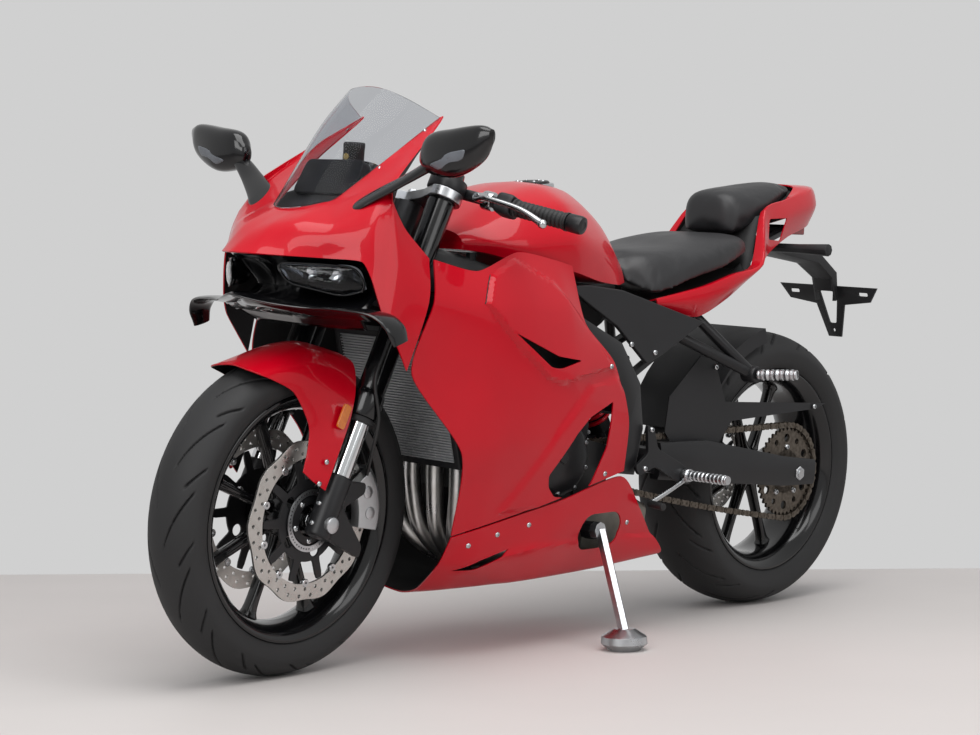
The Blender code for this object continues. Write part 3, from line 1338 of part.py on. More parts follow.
BRACKET_POST = 0.030
BRACKET_SHARES = (
    (-0.335, 0.0, 0.838), (-0.38, 0.0, 0.815), (-0.45, 0.0, 0.800), (-0.485, 0.0, 0.760),
    (-0.4925, 0.0, 0.70),
)
BRACKET_WIDTHS = (0.09, 0.08, 0.07, 0.06, 0.06)
BRACKET_HEIGHTS = (0.02, 0.026, 0.03, 0.03, 0.012)
# How far the plate's foot leans back, for each metre down
PLATE_SLOPE = 0.35
STALK_SHARE = (-0.35, 0.0, 0.822)
STALK_REACHES = (0.0, 0.12, 0.20)
STALK_RADII = (0.010, 0.011, 0.014)


def nose_pieces(carried_by):
    wing = places(WING_SHARES)
    right = [Vector((p.x, -p.y, p.z)) for p in wing[:0:-1]]
    chords = WING_CHORDS[:0:-1] + WING_CHORDS
    place(
        "nose_wing", ribbed(right + wing, chords, [WING_THICKNESS] * len(chords), FORWARD), "black_gloss",
        carried_by,
    )
    front = places(LAMP_SHARES)
    middle = sum(front, Vector()) / len(front)
    back = [middle.lerp(point, LAMP_BACK_SHARE) - FORWARD * LAMP_DEPTH - LEFT * LAMP_TOE for point in front]
    lamp = loft([front, back])
    foot, seat = body(*DASH_POST_SHARE), body(*DASH_SEAT_SHARE) - UP * SEAT_GAP
    stay = block((foot + seat) / 2, (DASH_POST, DASH_POST * 2, (seat - foot).z), FORWARD, UP)
    yoke = rod(places(LAMP_YOKE_SHARES), LAMP_YOKE_RADIUS)
    place("lamp_unit", fused([boxed(DUCT_SHARES), stay, yoke] + both(lamp)), "black_plastic", carried_by)
    place("dashboard", boxed(DASH_SHARES), "black_plastic", carried_by)


def boxed(shares):
    """A four-sided duct: a row of (length, width, foot, top) shares at each station."""
    rings = []
    for length, width, low, high in shares:
        corners = ((-width, low), (width, low), (width, high), (-width, high))
        rings.append([body(length, across_share, height) for across_share, height in corners])
    return loft(rings)


DASH_POST_SHARE = (0.2975, 0.0, 0.780)
DASH_POST = 0.022
DASH_SEAT_SHARE = (0.2975, 0.0, 0.835)
LAMP_YOKE_SHARES = ((0.355, -0.22, 0.748), (0.355, 0.22, 0.748))
LAMP_YOKE_RADIUS = 0.010
DUCT_SHARES = ((0.400, 0.090, 0.716, 0.772), (0.340, 0.100, 0.722, 0.790), (0.292, 0.070, 0.735, 0.790))
DASH_SHARES = ((0.346, 0.20, 0.845, 0.858), (0.310, 0.24, 0.835, 0.895), (0.285, 0.22, 0.835, 0.910))


MIRROR_ARM_SIDE = Vector((0.8, 0.0, -0.6))
MIRROR_ARM_SHARES = ((0.3250, 0.285, 0.918), (0.3072, 0.506, 0.948))
MIRROR_ARM_CHORDS = (0.050, 0.040, 0.034)
MIRROR_ARM_DEPTHS = (0.022, 0.016, 0.020)
MIRROR_STEPS = 12


def mirrors(carried_by):
    base, neck = places(MIRROR_ARM_SHARES)
    arm = [base, base.lerp(neck, 0.5), neck]
    shapes = [ribbed(arm, MIRROR_ARM_CHORDS, MIRROR_ARM_DEPTHS, MIRROR_ARM_SIDE)]
    rings = []
    for width, length, height, long_half, tall_half in MIRROR_RINGS:
        centre = body(length, width, height)
        ring = []
        for step in range(MIRROR_STEPS):
            angle = 2 * math.pi * step / MIRROR_STEPS
            ring.append(
                centre + FORWARD * (long_half * math.cos(angle)) + UP * (tall_half * math.sin(angle))
            )
        rings.append(ring)
    shapes.append(loft(rings))
    mirror = fused(shapes)
    place("mirror_left", mirror, "black_plastic", carried_by)
    place("mirror_right", mirrored(mirror), "black_plastic", carried_by)


def footrests(carried_by):
    plate = side_slab(REARSET_SHARES, REARSET_PLACE, REARSET_DEPTH)
    root, end = places(PEG_SHARES)
    peg = rod([root + LEFT * REARSET_PLACE, end], PEG_RADIUS)
    root, toe, tip = places(SHIFT_SHARES)
    shift = rod([root + LEFT * (REARSET_PLACE + REARSET_DEPTH / 2), toe, tip], SHIFT_RADIUS, BAR_STEPS)
    shape = fused([plate, peg, shift])
    place("footrest_left", shape, "black_frame", carried_by)
    place("footrest_right", mirrored(shape), "black_frame", carried_by)


REARSET_PLACE = 0.1690
REARSET_DEPTH = 0.008
PEG_SHARES = ((-0.1275, 0.0, 0.340), (-0.1235, 0.60, 0.342))
PEG_RADIUS = 0.011
SHIFT_SHARES = ((-0.1275, 0.0, 0.330), (-0.073, 0.354, 0.286), (-0.070, 0.44, 0.284))
SHIFT_RADIUS = 0.005


def hugger(carried_by):
    """The rear mudguard: an arch over the tyre, the chain's guard and the web between them."""
    inner = REAR_TYRE_RADIUS + HUGGER_GAP
    outer = inner + SHELL
    skirt = inner - HUGGER_SKIRT
    half = HUGGER_HALF
    section = [(skirt, -half), (outer, -half), (outer, half), (skirt, half), (skirt, half - SHELL)]
    section += [(inner, half - SHELL), (inner, SHELL - half), (skirt, SHELL - half)]
    rings = []
    for step in range(HUGGER_STEPS + 1):
        angle = HUGGER_START + (HUGGER_END - HUGGER_START) * step / HUGGER_STEPS
        spoke = FORWARD * math.cos(angle) + UP * math.sin(angle)
        rings.append([REAR_AXLE + spoke * radius + LEFT * along for radius, along in section])
    web = sector(
        inner - SHELL / 2,
        outer - SHELL / 4,
        WEB_START,
        WEB_END,
        half - SHELL / 2,
        GUARD_PLACE + SHELL / 2,
        REAR_AXLE,
        4,
    )
    shapes = [loft(rings), web, side_slab(GUARD_SHARES, GUARD_PLACE, SHELL)]
    place("rear_hugger", fused(shapes), "black_plastic", carried_by)


HUGGER_GAP = 0.018
HUGGER_SKIRT = 0.030
HUGGER_HALF = 0.0965
HUGGER_STEPS = 8
HUGGER_START = math.radians(18)
HUGGER_END = math.radians(76)
WEB_START = math.radians(26)
WEB_END = math.radians(50)
GUARD_PLACE = 0.1200


def rear_end(carried_by):
    half = ARM_SPREAD / 2
    reach = half + ARM_WIDTH / 2 + PLATE
    axle("rear_axle", REAR_AXLE, reach, REAR_HUB_RIGHT, REAR_HUB_LEFT, half - ARM_WIDTH / 2, carried_by)
    edge = REAR_DISC_RADIUS + DISC_WAVE + RUN_GAP
    sides = (CALIPER_INSIDE, REAR_DISC_PLACE - PAD_ROOM, REAR_DISC_PLACE + PAD_ROOM, REAR_CALIPER_SIDE)
    grip = caliper(REAR_CALIPER_INNER, edge, sides, (REAR_CALIPER_START, REAR_CALIPER_END), REAR_AXLE, 3)
    start = half - ARM_WIDTH / 2 - SEAT_GAP - CALIPER_ARM
    outline = [REAR_AXLE + FORWARD * ahead + UP * up + LEFT * start for ahead, up in CALIPER_ARM_PLACES]
    arm = slab(outline, LEFT * CALIPER_ARM)
    bore = rod([REAR_AXLE, REAR_AXLE + LEFT * half], AXLE_RADIUS * SPACER_SHARE + SEAT_GAP, AXLE_STEPS)
    shapes = [grip, arm]
    place("rear_caliper", mirrored(fused(shapes, [bore])), "aluminium", carried_by)
    place("rear_shock", shock(), "steel", carried_by)


REAR_CALIPER_INNER = 0.070
REAR_CALIPER_SIDE = 0.019
REAR_CALIPER_START = math.radians(25)
REAR_CALIPER_END = math.radians(62)
CALIPER_ARM = 0.008
# The rear caliper's carrier: (ahead, up) from the axle
CALIPER_ARM_PLACES = ((-0.025, 0.0), (0.0, -0.025), (0.09, 0.05), (0.05, 0.09), (-0.01, 0.02))


def shock():
    """The coil-over unit, from the frame's upper tie to the swingarm's cross tube."""
    tie = body(FRAME_TIE_SHARES[0][0], 0, FRAME_TIE_SHARES[0][1])
    top, low = places(SHOCK_SHARES)
    head = tie + (top - tie).normalized() * (FRAME_TIE_RADIUS + BOSS_GAP)
    foot = ARM_CROSS + (low - ARM_CROSS).normalized() * (CROSS_RADIUS + BOSS_GAP)
    shapes = [
        rod([top, low], SHOCK_RADIUS, CLAMP_STEPS),
        rod([head, top.lerp(low, SHOCK_END_SHARE)], SHOCK_EYE, CLAMP_STEPS),
    ]
    shapes.append(rod([low.lerp(top, SHOCK_END_SHARE), foot], SHOCK_EYE, CLAMP_STEPS))
    return fused(shapes)


SHOCK_SHARES = ((-0.0545, 0.0, 0.533), (-0.0875, 0.0, 0.425))
SHOCK_RADIUS = 0.030
SHOCK_EYE = 0.012
SHOCK_END_SHARE = 0.15


def subframe(carried_by):
    """Two rails a side from the frame to the tail, their ties, and the pillion's footrest tubes."""
    shapes = []
    for route in RAIL_SHARES:
        shapes += both(rod(places(route), RAIL_RADIUS))
    for route in PILLION_TUBE_SHARES:
        shapes += both(rod(places(route), PILLION_TUBE_RADIUS))
    for length, width, height in TIE_SHARES:
        spot = body(length, width, height)
        shapes.append(rod([Vector((spot.x, -spot.y, spot.z)), spot], TIE_RADIUS))
    for length, height, root, seat in RAIL_BOSSES:
        spot = body(length, 0, height)
        shapes += both(rod([spot + LEFT * root, spot + LEFT * (seat - BOSS_GAP)], RAIL_RADIUS))
    place("subframe", fused(shapes), "black_frame", carried_by)


PILLION_TUBE_RADIUS = 0.0095
PILLION_TUBE_SHARES = (
    ((-0.165, 0.242, 0.674), (-0.222, 0.400, 0.550)),
    ((-0.136, 0.250, 0.630), (-0.222, 0.400, 0.550)),
    ((-0.222, 0.390, 0.550), (-0.234, 0.600, 0.556)),
)
TIE_RADIUS = 0.010
BOSS_GAP = 0.0009
# Where the rails' front ends meet the frame beams: length and height shares, root and seat across
RAIL_BOSSES = ((-0.010, 0.600, 0.125, 0.1502), (-0.045, 0.530, 0.120, 0.1450))
RAIL_SHARES = (
    (
        (-0.008, 0.255, 0.596), (-0.060, 0.255, 0.640), (-0.150, 0.250, 0.694), (-0.255, 0.200, 0.772),
        (-0.300, 0.160, 0.830), (-0.370, 0.100, 0.865),
    ),
    ((-0.045, 0.250, 0.530), (-0.150, 0.250, 0.645), (-0.200, 0.223, 0.742)),
)
TIE_SHARES = (
    (-0.110, 0.253, 0.681), (-0.200, 0.223, 0.742), (-0.300, 0.160, 0.830), (-0.368, 0.100, 0.864),
)


def drive_chain(carried_by):
    """A loop round both sprockets' pitch circles, one station a link, wide and narrow in turn."""
    first, second = pitch_radius(FRONT_TEETH), pitch_radius(REAR_TEETH)
    span = (FRONT_SPROCKET - REAR_AXLE)
    span.y = 0
    distance = span.length
    base = math.atan2(span.z, span.x)
    lean = math.acos((second - first) / distance)
    run = math.sqrt(distance**2 - (second - first) ** 2)
    arcs = (2 * math.pi - 2 * lean) * second, 2 * lean * first
    total = 2 * run + sum(arcs)
    links = 2 * round(total / CHAIN_PITCH / 2)
    rings = []
    for index in range(links):
        spot, out = chain_place(index * total / links, base, lean, run, first, second)
        width = (CHAIN_OUTER_WIDTH if index % 2 else CHAIN_INNER_WIDTH) / 2
        spot = spot + LEFT * CHAIN_LINE
        low, high = spot - out * (CHAIN_HEIGHT / 2), spot + out * (CHAIN_HEIGHT / 2)
        rings.append([low - LEFT * width, high - LEFT * width, high + LEFT * width, low + LEFT * width])
    points = [point for ring in rings for point in ring]
    place("drive_chain", outward(points, grid_faces(links, 4, True, True)), "chain_steel", carried_by)


def chain_place(along, base, lean, run, first, second):
    """The point this far round the loop from the rear upper tangent, and its outward direction."""

    def spoke(angle):
        return FORWARD * math.cos(angle) + UP * math.sin(angle)

    front = Vector((FRONT_SPROCKET.x, 0, FRONT_SPROCKET.z))
    rear = Vector((REAR_AXLE.x, 0, REAR_AXLE.z))
    top, foot = spoke(base + lean), spoke(base - lean)
    if along < run:
        return (rear + top * second).lerp(front + top * first, along / run), top
    along -= run
    if along < 2 * lean * first:
        out = spoke(base + lean - along / first)
        return front + out * first, out
    along -= 2 * lean * first
    if along < run:
        share = along / run
        sag = foot * (CHAIN_SAG * math.sin(math.pi * share))
        return (front + foot * first).lerp(rear + foot * second, share) + sag, foot
    along -= run
    out = spoke(base - lean - along / second)
    return rear + out * second, out


CHAIN_SAG = 0.008


def side_stand(carried_by):
    """The leg from its pivot to the ground, and the pad under its foot."""
    ground_up = Vector((0, -math.sin(LEAN), math.cos(LEAN)))
    ground_left = Vector((0, math.cos(LEAN), math.sin(LEAN)))
    foot = FORWARD * STAND_FOOT_AHEAD + ground_left * STAND_FOOT_OUT
    rings = [
        circle(foot + ground_up * height, ground_up, radius, CLAMP_STEPS) for radius,
        height in PAD_RINGS
    ]
    shapes = [loft(rings)]
    ankle = foot + ground_up * STAND_ANKLE
    top = STAND_PIVOT + STAND_AXIS * STAND_EYE
    shapes.append(rod([top, top.lerp(ankle, 0.5), ankle], STAND_LEG, TUBE_STEPS))
    shapes.append(
        rod(
            [STAND_PIVOT - STAND_AXIS * STAND_EYE, STAND_PIVOT + STAND_AXIS * STAND_EYE],
            STAND_EYE_RADIUS,
            BAR_STEPS,
        )
    )
    place("side_stand", fused(shapes), "aluminium", carried_by)


STAND_ANKLE = 0.036
STAND_FOOT_AHEAD = 0.049
STAND_FOOT_OUT = 0.292
STAND_AXIS = Vector((-0.05, 1.0, 0.07)).normalized()
STAND_EYE = 0.008
STAND_LEG = 0.0115
STAND_EYE_RADIUS = 0.018


# What joins the bodywork to its carriers: owner, seat, place, direction from seat to owner, radius
STUDS = (
    ("fairing_left", "main_frame", (0.0950, 0.400, 0.690), (0, 1, 0), 0.008),
    ("side_cover_left", "subframe", (-0.0750, 0.306, 0.649), (0, 1, 0), 0.007),
    ("tail_cowl", "subframe", (-0.2000, 0.290, 0.742), (0, 1, 0), 0.007),
    ("tail_cowl", "subframe", (-0.3450, 0.150, 0.852), (0, 1, 0), 0.006),
    ("main_frame", "fuel_tank", (0.1720, 0.220, 0.790), (0, 0, -1), 0.010),
    ("main_frame", "engine", (0.0650, 0.280, 0.620), (0, 1, 0), 0.013),
    ("belly_pan", "engine", (0.0750, 0.300, 0.252), (0, 1, 0), 0.008),
    ("lamp_unit", "nose_cowl", (0.3340, 0.395, 0.745), (0, -1, 0), 0.006),
    ("nose_wing", "lamp_unit", (0.3725, 0.200, 0.705), (0, 0, -1), 0.006),
    ("mirror_left", "nose_cowl", (0.3280, 0.278, 0.894), (0.1, 0.3, 0.9), 0.009),
    ("footrest_left", "main_frame", (-0.0535, 0.325, 0.362), (0, 1, 0), 0.005),
    ("lamp_unit", "main_frame", (0.2620, 0.0, 0.772), (1, 0, 0), 0.010),
    ("radiator", "engine", (0.1780, 0.100, 0.560), (1, 0, 0), 0.008),
    ("subframe", "rider_seat", (-0.1100, 0.0, 0.705), (0, 0, -1), 0.007),
    ("subframe", "pillion_seat", (-0.3000, 0.100, 0.850), (0, 0, -1), 0.007),
)


def centre_on_ground(bike):
    """Sets the origin under the middle of the bike's box, on the ground that it stands on."""
    bpy.context.view_layer.update()
    pieces = [obj for obj in bpy.data.objects if obj.type == "MESH"]
    corners = np.array([obj.matrix_world @ vertex.co for obj in pieces for vertex in obj.data.vertices])
    low, high = corners.min(axis=0), corners.max(axis=0)
    bike.location -= Vector(((low[0] + high[0]) / 2, (low[1] + high[1]) / 2, low[2]))


def main():
    clear_scene()
    bike = carrier("bike", Vector(), None, lean=LEAN)
    steering = carrier("steering", STEER_FOOT, bike, FORK_UP, STEER_TURN)
    front = carrier("front_spin", FRONT_AXLE, steering, LEFT)
    rear = carrier("rear_spin", REAR_AXLE, bike, LEFT)
    stand = carrier("stand_pivot", STAND_PIVOT, bike, STAND_AXIS)
    front_wheel(front)
    rear_wheel(rear)
    fork_legs(steering)
    half = FORK_SPREAD / 2
    axle(
        "front_axle", FRONT_AXLE, half + LUG_RADIUS, FRONT_HUB_HALF, FRONT_HUB_HALF, half - LUG_RADIUS,
        steering,
    )
    front_calipers(steering)
    triple_clamps(steering)
    place("handlebar_left", handlebar("left"), "black_plastic", steering)
    place("handlebar_right", handlebar("right"), "black_plastic", steering)
    place("clutch_lever", lever("left"), "aluminium", steering)
    place("brake_lever", lever("right"), "aluminium", steering)
    front_mudguard(steering)
    bodywork(bike)
    nose_pieces(bike)
    mirrors(bike)
    main_frame(bike)
    engine(bike)
    exhaust(bike)
    radiator(bike)
    soft_and_tank(bike)
    tail(bike)
    plate_bracket(bike)
    footrests(bike)
    swingarm(bike)
    hugger(bike)
    rear_end(bike)
    subframe(bike)
    drive_chain(bike)
    side_stand(stand)
    add_studs()
    for name, kept in PIECES.items():
        make_piece(name, *kept)
    centre_on_ground(bike)


main()
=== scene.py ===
"""A red sport bike on its side stand: the looks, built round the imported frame.

Everything is in metres in the frame's own axes: +X forward, +Y to the rider's left, +Z up. Pieces
are worked out on the upright bike, as the CAD source does, and then leaned and steered into place.
"""

import math

import bmesh
import bpy
import numpy as np
from mathutils import Matrix, Vector
from mathutils.bvhtree import BVHTree
from mathutils.geometry import delaunay_2d_cdt

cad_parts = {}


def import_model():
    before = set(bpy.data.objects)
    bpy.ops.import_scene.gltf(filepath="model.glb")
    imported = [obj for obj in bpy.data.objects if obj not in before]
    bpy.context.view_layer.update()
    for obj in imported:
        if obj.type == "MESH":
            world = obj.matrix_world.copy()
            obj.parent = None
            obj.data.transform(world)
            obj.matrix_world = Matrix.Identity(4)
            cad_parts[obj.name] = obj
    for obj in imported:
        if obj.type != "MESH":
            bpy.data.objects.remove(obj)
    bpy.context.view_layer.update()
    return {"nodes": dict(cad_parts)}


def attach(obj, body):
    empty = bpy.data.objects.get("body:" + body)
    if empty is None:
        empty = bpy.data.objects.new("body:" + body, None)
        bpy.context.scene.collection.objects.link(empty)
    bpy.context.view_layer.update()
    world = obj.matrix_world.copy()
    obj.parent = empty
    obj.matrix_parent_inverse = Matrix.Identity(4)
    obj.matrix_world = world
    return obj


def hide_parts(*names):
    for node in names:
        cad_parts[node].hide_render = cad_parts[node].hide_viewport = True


# How the bike stands: the upright bike is leaned about the X axis and set down here
LEAN = math.radians(4.0)
SET_DOWN = np.array((0.016575, -0.070036, 0.0))
STEER_TURN = math.radians(4.5)
RAKE = math.radians(24.5)
WHEELBASE = 1.405
FORK_OFFSET = 0.030
FORK_HALF = 0.103
BEAD_RADIUS = 0.2175
FRONT_TYRE_RADIUS = 0.300
REAR_TYRE_RADIUS = 0.315
FRONT_AXLE = np.array((WHEELBASE / 2, 0, FRONT_TYRE_RADIUS))
REAR_AXLE = np.array((-WHEELBASE / 2, 0, REAR_TYRE_RADIUS))
FORK_UP = np.array((-math.sin(RAKE), 0, math.cos(RAKE)))
FORK_AHEAD = np.array((math.cos(RAKE), 0, math.sin(RAKE)))
FORWARD, LEFT, UP = np.eye(3)
STEER_FOOT = FRONT_AXLE - FORK_AHEAD * FORK_OFFSET
# The body's tables are shares of this length, width and height
BODY = np.array((2.0, 0.5, 1.0))

# The camera, from the ellipses of both wheels in the photograph
CAMERA_PLACE = (3.29999, 3.08035, 0.65746)
CAMERA_YAW = math.radians(45.874)
CAMERA_PITCH = math.radians(1.280)
CAMERA_ROLL = math.radians(-0.381)
CAMERA_LENS = 79.484
SENSOR = 36.0
# How far behind the bike's middle the floor ends, along the camera's view
FLOOR_END = 1.15


def linear(hex_colour):
    """An sRGB hex colour as linear red, green and blue."""
    values = [int(hex_colour[i : i + 2], 16) / 255 for i in (0, 2, 4)]
    return [v / 12.92 if v <= 0.04045 else ((v + 0.055) / 1.055) ** 2.4 for v in values]


def node(tree, kind, settings=None, links=None, **inputs):
    """Adds one shader node with its settings, its input values and its links."""
    made = tree.nodes.new(kind)
    for name, value in (settings or {}).items():
        setattr(made, name, value)
    for name, value in inputs.items():
        made.inputs[name.replace("_", " ")].default_value = value
    for name, source in (links or {}).items():
        tree.links.new(source, made.inputs[name])
    return made


def finish(name, colours, metallic=0.0, roughness=(0.5, 0.5), grain=(1.0, 0.0), mottle=20.0, coat=0.0, **others):
    """A Principled material: two colours and two roughnesses mixed by a slow noise, and a fine grain as bump.

    The grain is (size in millimetres, height in millimetres); the mottle is its slow noise's scale in 1/m."""
    material = bpy.data.materials.new(name)
    material.use_nodes = True
    tree = material.node_tree
    shader = tree.nodes["Principled BSDF"]
    place = node(tree, "ShaderNodeTexCoord")
    slow = node(tree, "ShaderNodeTexNoise", links={"Vector": place.outputs["Object"]}, Scale=mottle, Detail=4.0)
    blend = node(tree, "ShaderNodeMapRange", links={"Value": slow.outputs["Fac"]}, From_Min=0.3, From_Max=0.7)
    mix = node(tree, "ShaderNodeMix", {"data_type": "RGBA"}, {"Factor": blend.outputs["Result"]})
    mix.inputs[6].default_value = (*linear(colours[0]), 1)
    mix.inputs[7].default_value = (*linear(colours[1]), 1)
    tree.links.new(mix.outputs[2], shader.inputs["Base Color"])
    rough = node(
        tree,
        "ShaderNodeMapRange",
        links={"Value": slow.outputs["Fac"]},
        From_Min=0.3,
        From_Max=0.7,
        To_Min=roughness[0],
        To_Max=roughness[1],
    )
    tree.links.new(rough.outputs["Result"], shader.inputs["Roughness"])
    size, height = grain
    if height:
        fine = node(
            tree, "ShaderNodeTexNoise", links={"Vector": place.outputs["Object"]}, Scale=1000 / size, Detail=2.0
        )
        bump = node(tree, "ShaderNodeBump", links={"Height": fine.outputs["Fac"]}, Distance=height / 1000)
        tree.links.new(bump.outputs["Normal"], shader.inputs["Normal"])
    shader.inputs["Metallic"].default_value = metallic
    shader.inputs["Coat Weight"].default_value = coat
    shader.inputs["Coat Roughness"].default_value = 0.04
    for key, value in others.items():
        shader.inputs[key.replace("_", " ")].default_value = value
    return material


def leather_grain(material, size, height):
    """Adds a seat cover's pebbled grain: a cell pattern as bump, cells of the given size in millimetres."""
    tree = material.node_tree
    place = node(tree, "ShaderNodeTexCoord")
    cells = node(
        tree, "ShaderNodeTexVoronoi", {"feature": "SMOOTH_F1"}, {"Vector": place.outputs["Object"]}, Scale=1000 / size
    )
    bump = node(
        tree, "ShaderNodeBump", {"invert": True}, {"Height": cells.outputs["Distance"]}, Distance=height / 1000
    )
    tree.links.new(bump.outputs["Normal"], tree.nodes["Principled BSDF"].inputs["Normal"])


FINISHES = {}


def make_finishes():
    """Every finish on the bike, each named for the real one, one also for the painted shade it gives."""
    made = (
        # Two-pack enamel under clear lacquer: deep, even, with a sharp reflection and slight orange peel
        finish(
            "red_lacquered_paint", ("be001a", "b60018"), 0.0, (0.34, 0.38), (2.5, 0.004), 6.0, 0.55,
            Specular_IOR_Level=0.12, Coat_IOR=1.42,
        ),
        # Injection-moulded ABS painted gloss black: near-mirror reflections
        finish(
            "black_lacquered_abs", ("08080a", "0b0b0d"), 0.0, (0.16, 0.22), (3.0, 0.004), 12.0, 0.45,
            Specular_IOR_Level=0.30
        ),
        # Bare moulded polypropylene with a spark-eroded grain: dull, dark grey where it catches light
        finish(
            "black_moulded_plastic", ("1a1a1c", "202022"), 0.0, (0.46, 0.58), (0.9, 0.05), 15.0,
            Specular_IOR_Level=0.35,
        ),
        # Powder-coated steel and cast aluminium: satin black with a fine texture
        finish(
            "black_powder_coat", ("141416", "1b1b1d"), 0.0, (0.34, 0.44), (1.1, 0.03), 12.0, Specular_IOR_Level=0.35
        ),
        # Carbon-black tyre rubber: matt, slightly dusty on its tread
        finish("tyre_rubber", ("161617", "232324"), 0.0, (0.62, 0.78), (1.4, 0.05), 9.0),
        # Grip rubber, softer and darker
        finish("grip_rubber", ("111112", "161617"), 0.0, (0.55, 0.65), (0.8, 0.04), 30.0),
        # Seat vinyl with a pebbled grain
        finish("seat_vinyl", ("1b1b1d", "222224"), 0.0, (0.42, 0.52), (1.0, 0.0), 8.0, 0.0),
        # Die-cast aluminium, shot-blasted: soft grey highlights
        finish(
            "cast_aluminium", ("a9abad", "b6b8ba"), 1.0, (0.30, 0.42), (1.2, 0.03), 25.0
        ),
        # Polished aluminium, as on levers and the stand's leg
        finish(
            "polished_aluminium", ("b4b6b8", "c2c4c6"), 1.0, (0.16, 0.28), (3.0, 0.01), 20.0
        ),
        # Clear anodised machined aluminium
        finish(
            "anodised_aluminium", ("b4b6b9", "c0c2c4"), 1.0, (0.26, 0.34), (0.5, 0.01), 40.0
        ),
        # Gold anodised adjuster
        finish("gold_anodised", ("c09a3e", "cba84c"), 1.0, (0.22, 0.30), (0.5, 0.01), 40.0),
        # Ground stainless steel brake disc
        finish(
            "ground_stainless", ("b8b6b2", "c6c4c0"), 1.0, (0.24, 0.38), (0.7, 0.02), 60.0
        ),
        # Chromed fork stanchion
        finish("hard_chrome", ("d4d6d8", "dcdee0"), 1.0, (0.08, 0.12), (1.0, 0.0), 10.0),
        # Stainless header pipes, kept bright: a soft, slightly warm sheen
        finish(
            "heated_stainless", ("dadada", "cccac6"), 1.0, (0.26, 0.38), (2.0, 0.02), 30.0
        ),
        # Grey heat-proof coating of the silencer box
        finish(
            "grey_coated_steel", ("8c8880", "7a756d"), 0.6, (0.48, 0.62), (1.5, 0.06), 22.0
        ),
        # Oiled chain steel, grey-brown
        finish(
            "oiled_chain_steel", ("6d655c", "4f4840"), 0.9, (0.36, 0.54), (1.0, 0.03), 120.0
        ),
        # Bare aluminium radiator fins: light grey and dull
        finish("radiator_fins", ("b8babc", "c4c6c8"), 0.4, (0.40, 0.55), (1.0, 0.02), 35.0),
        # Headlamp reflector, dark chrome
        finish("dark_reflector", ("3a3d42", "4a4d52"), 0.9, (0.12, 0.25), (2.0, 0.0), 30.0),
        # Frosted light guide
        finish("grey_light_guide", ("5c6066", "6a6e74"), 0.0, (0.40, 0.50), (1.0, 0.0), 30.0, 0.2),
        # Mirror glass
        finish("silvered_glass", ("c8ccd0", "d0d4d8"), 1.0, (0.03, 0.05), (1.0, 0.0), 5.0),
        # Amber reflector, moulded acrylic with its prisms
        finish("amber_acrylic", ("c8640c", "d87a14"), 0.0, (0.15, 0.25), (1.6, 0.2), 90.0, 0.8),
        # Red tail lamp lens
        finish("red_acrylic", ("7a0a10", "8c0e16"), 0.0, (0.10, 0.18), (2.0, 0.1), 60.0, 0.8),
        # Dark hoses
        finish("hose_rubber", ("141415", "1a1a1b"), 0.0, (0.45, 0.55), (1.0, 0.02), 20.0),
        # Near-black unpainted mouldings behind openings and inside the panels, their darkness partly painted shade
        # for the unlit hollows there
        finish(
            "inner_plastic_and_painted_shade", ("0e0e0f", "131314"), 0.0, (0.60, 0.72), (1.2, 0.05), 14.0
        ),
        # Yellowish brake fluid window
        finish("amber_sight_glass", ("a08a50", "b09a60"), 0.0, (0.2, 0.3), (1.0, 0.0), 60.0, 0.5),
        # Acrylic windscreen, grey tinted
        finish(
            "tinted_acrylic", ("d6d8dc", "dadce0"), 0.0, (0.02, 0.03), (1.0, 0.0), 3.0, 0.0,
            Transmission_Weight=1.0, IOR=1.12,
        ),
        # Polycarbonate lamp lens, clear
        finish(
            "clear_polycarbonate", ("f2f4f6", "f6f8fa"), 0.0, (0.02, 0.03), (1.0, 0.0), 3.0, 0.0,
            Transmission_Weight=1.0, IOR=1.25,
        ),
    )
    FINISHES.update((material.name, material) for material in made)
    leather_grain(FINISHES["seat_vinyl"], 1.6, 0.12)


# Places


def body(shares):
    """Rows of (length, width, height) shares as places on the upright bike."""
    return np.asarray(shares, float) * BODY


def fork(ahead, left, up):
    """A place measured from the foot of the steering axis, along and across the fork."""
    return STEER_FOOT + FORK_AHEAD * ahead + LEFT * left + FORK_UP * up


def lean(points):
    """Points on the upright bike turned about the X axis by the lean, then set down."""
    c, s = math.cos(LEAN), math.sin(LEAN)
    x, y, z = np.moveaxis(np.asarray(points, float), -1, 0)
    return np.stack([x, y * c + z * s, z * c - y * s], -1) + SET_DOWN


def steer(points):
    """Points turned about the steering axis by the steering's rest angle, then leaned."""
    turn = np.array(Matrix.Rotation(STEER_TURN, 3, Vector(FORK_UP)))
    return lean((np.asarray(points, float) - STEER_FOOT) @ turn.T + STEER_FOOT)


CARRIERS = {
    "chassis": lean,
    "steering": steer,
    "front_wheel": steer,
    "rear_wheel": lean,
    "stand": lean,
}


# Shapes: each is (points, faces), the points as one array and the faces as index tuples


def unit(vector):
    vector = np.asarray(vector, float)
    return vector / np.linalg.norm(vector)


def grid_faces(rows, columns, wrap_rows=False, wrap_columns=False):
    """Quads between neighbouring rows and columns of a grid, by index arithmetic."""
    i = np.arange(rows if wrap_rows else rows - 1)
    j = np.arange(columns if wrap_columns else columns - 1)
    i, j = np.meshgrid(i, j, indexing="ij")
    k, m = (i + 1) % rows, (j + 1) % columns
    quads = np.stack([i * columns + j, i * columns + m, k * columns + m, k * columns + j], -1)
    return [tuple(quad) for quad in quads.reshape(-1, 4).tolist()]


def surface(grid, wrap_rows=False, wrap_columns=False, caps=False):
    """A shape from an array of rows x columns points; caps close the first and last row."""
    rows, columns = grid.shape[:2]
    faces = grid_faces(rows, columns, wrap_rows, wrap_columns)
    if caps:
        faces.append(tuple(range(columns))[::-1])
        faces.append(tuple(range((rows - 1) * columns, rows * columns)))
    return grid.reshape(-1, 3), faces


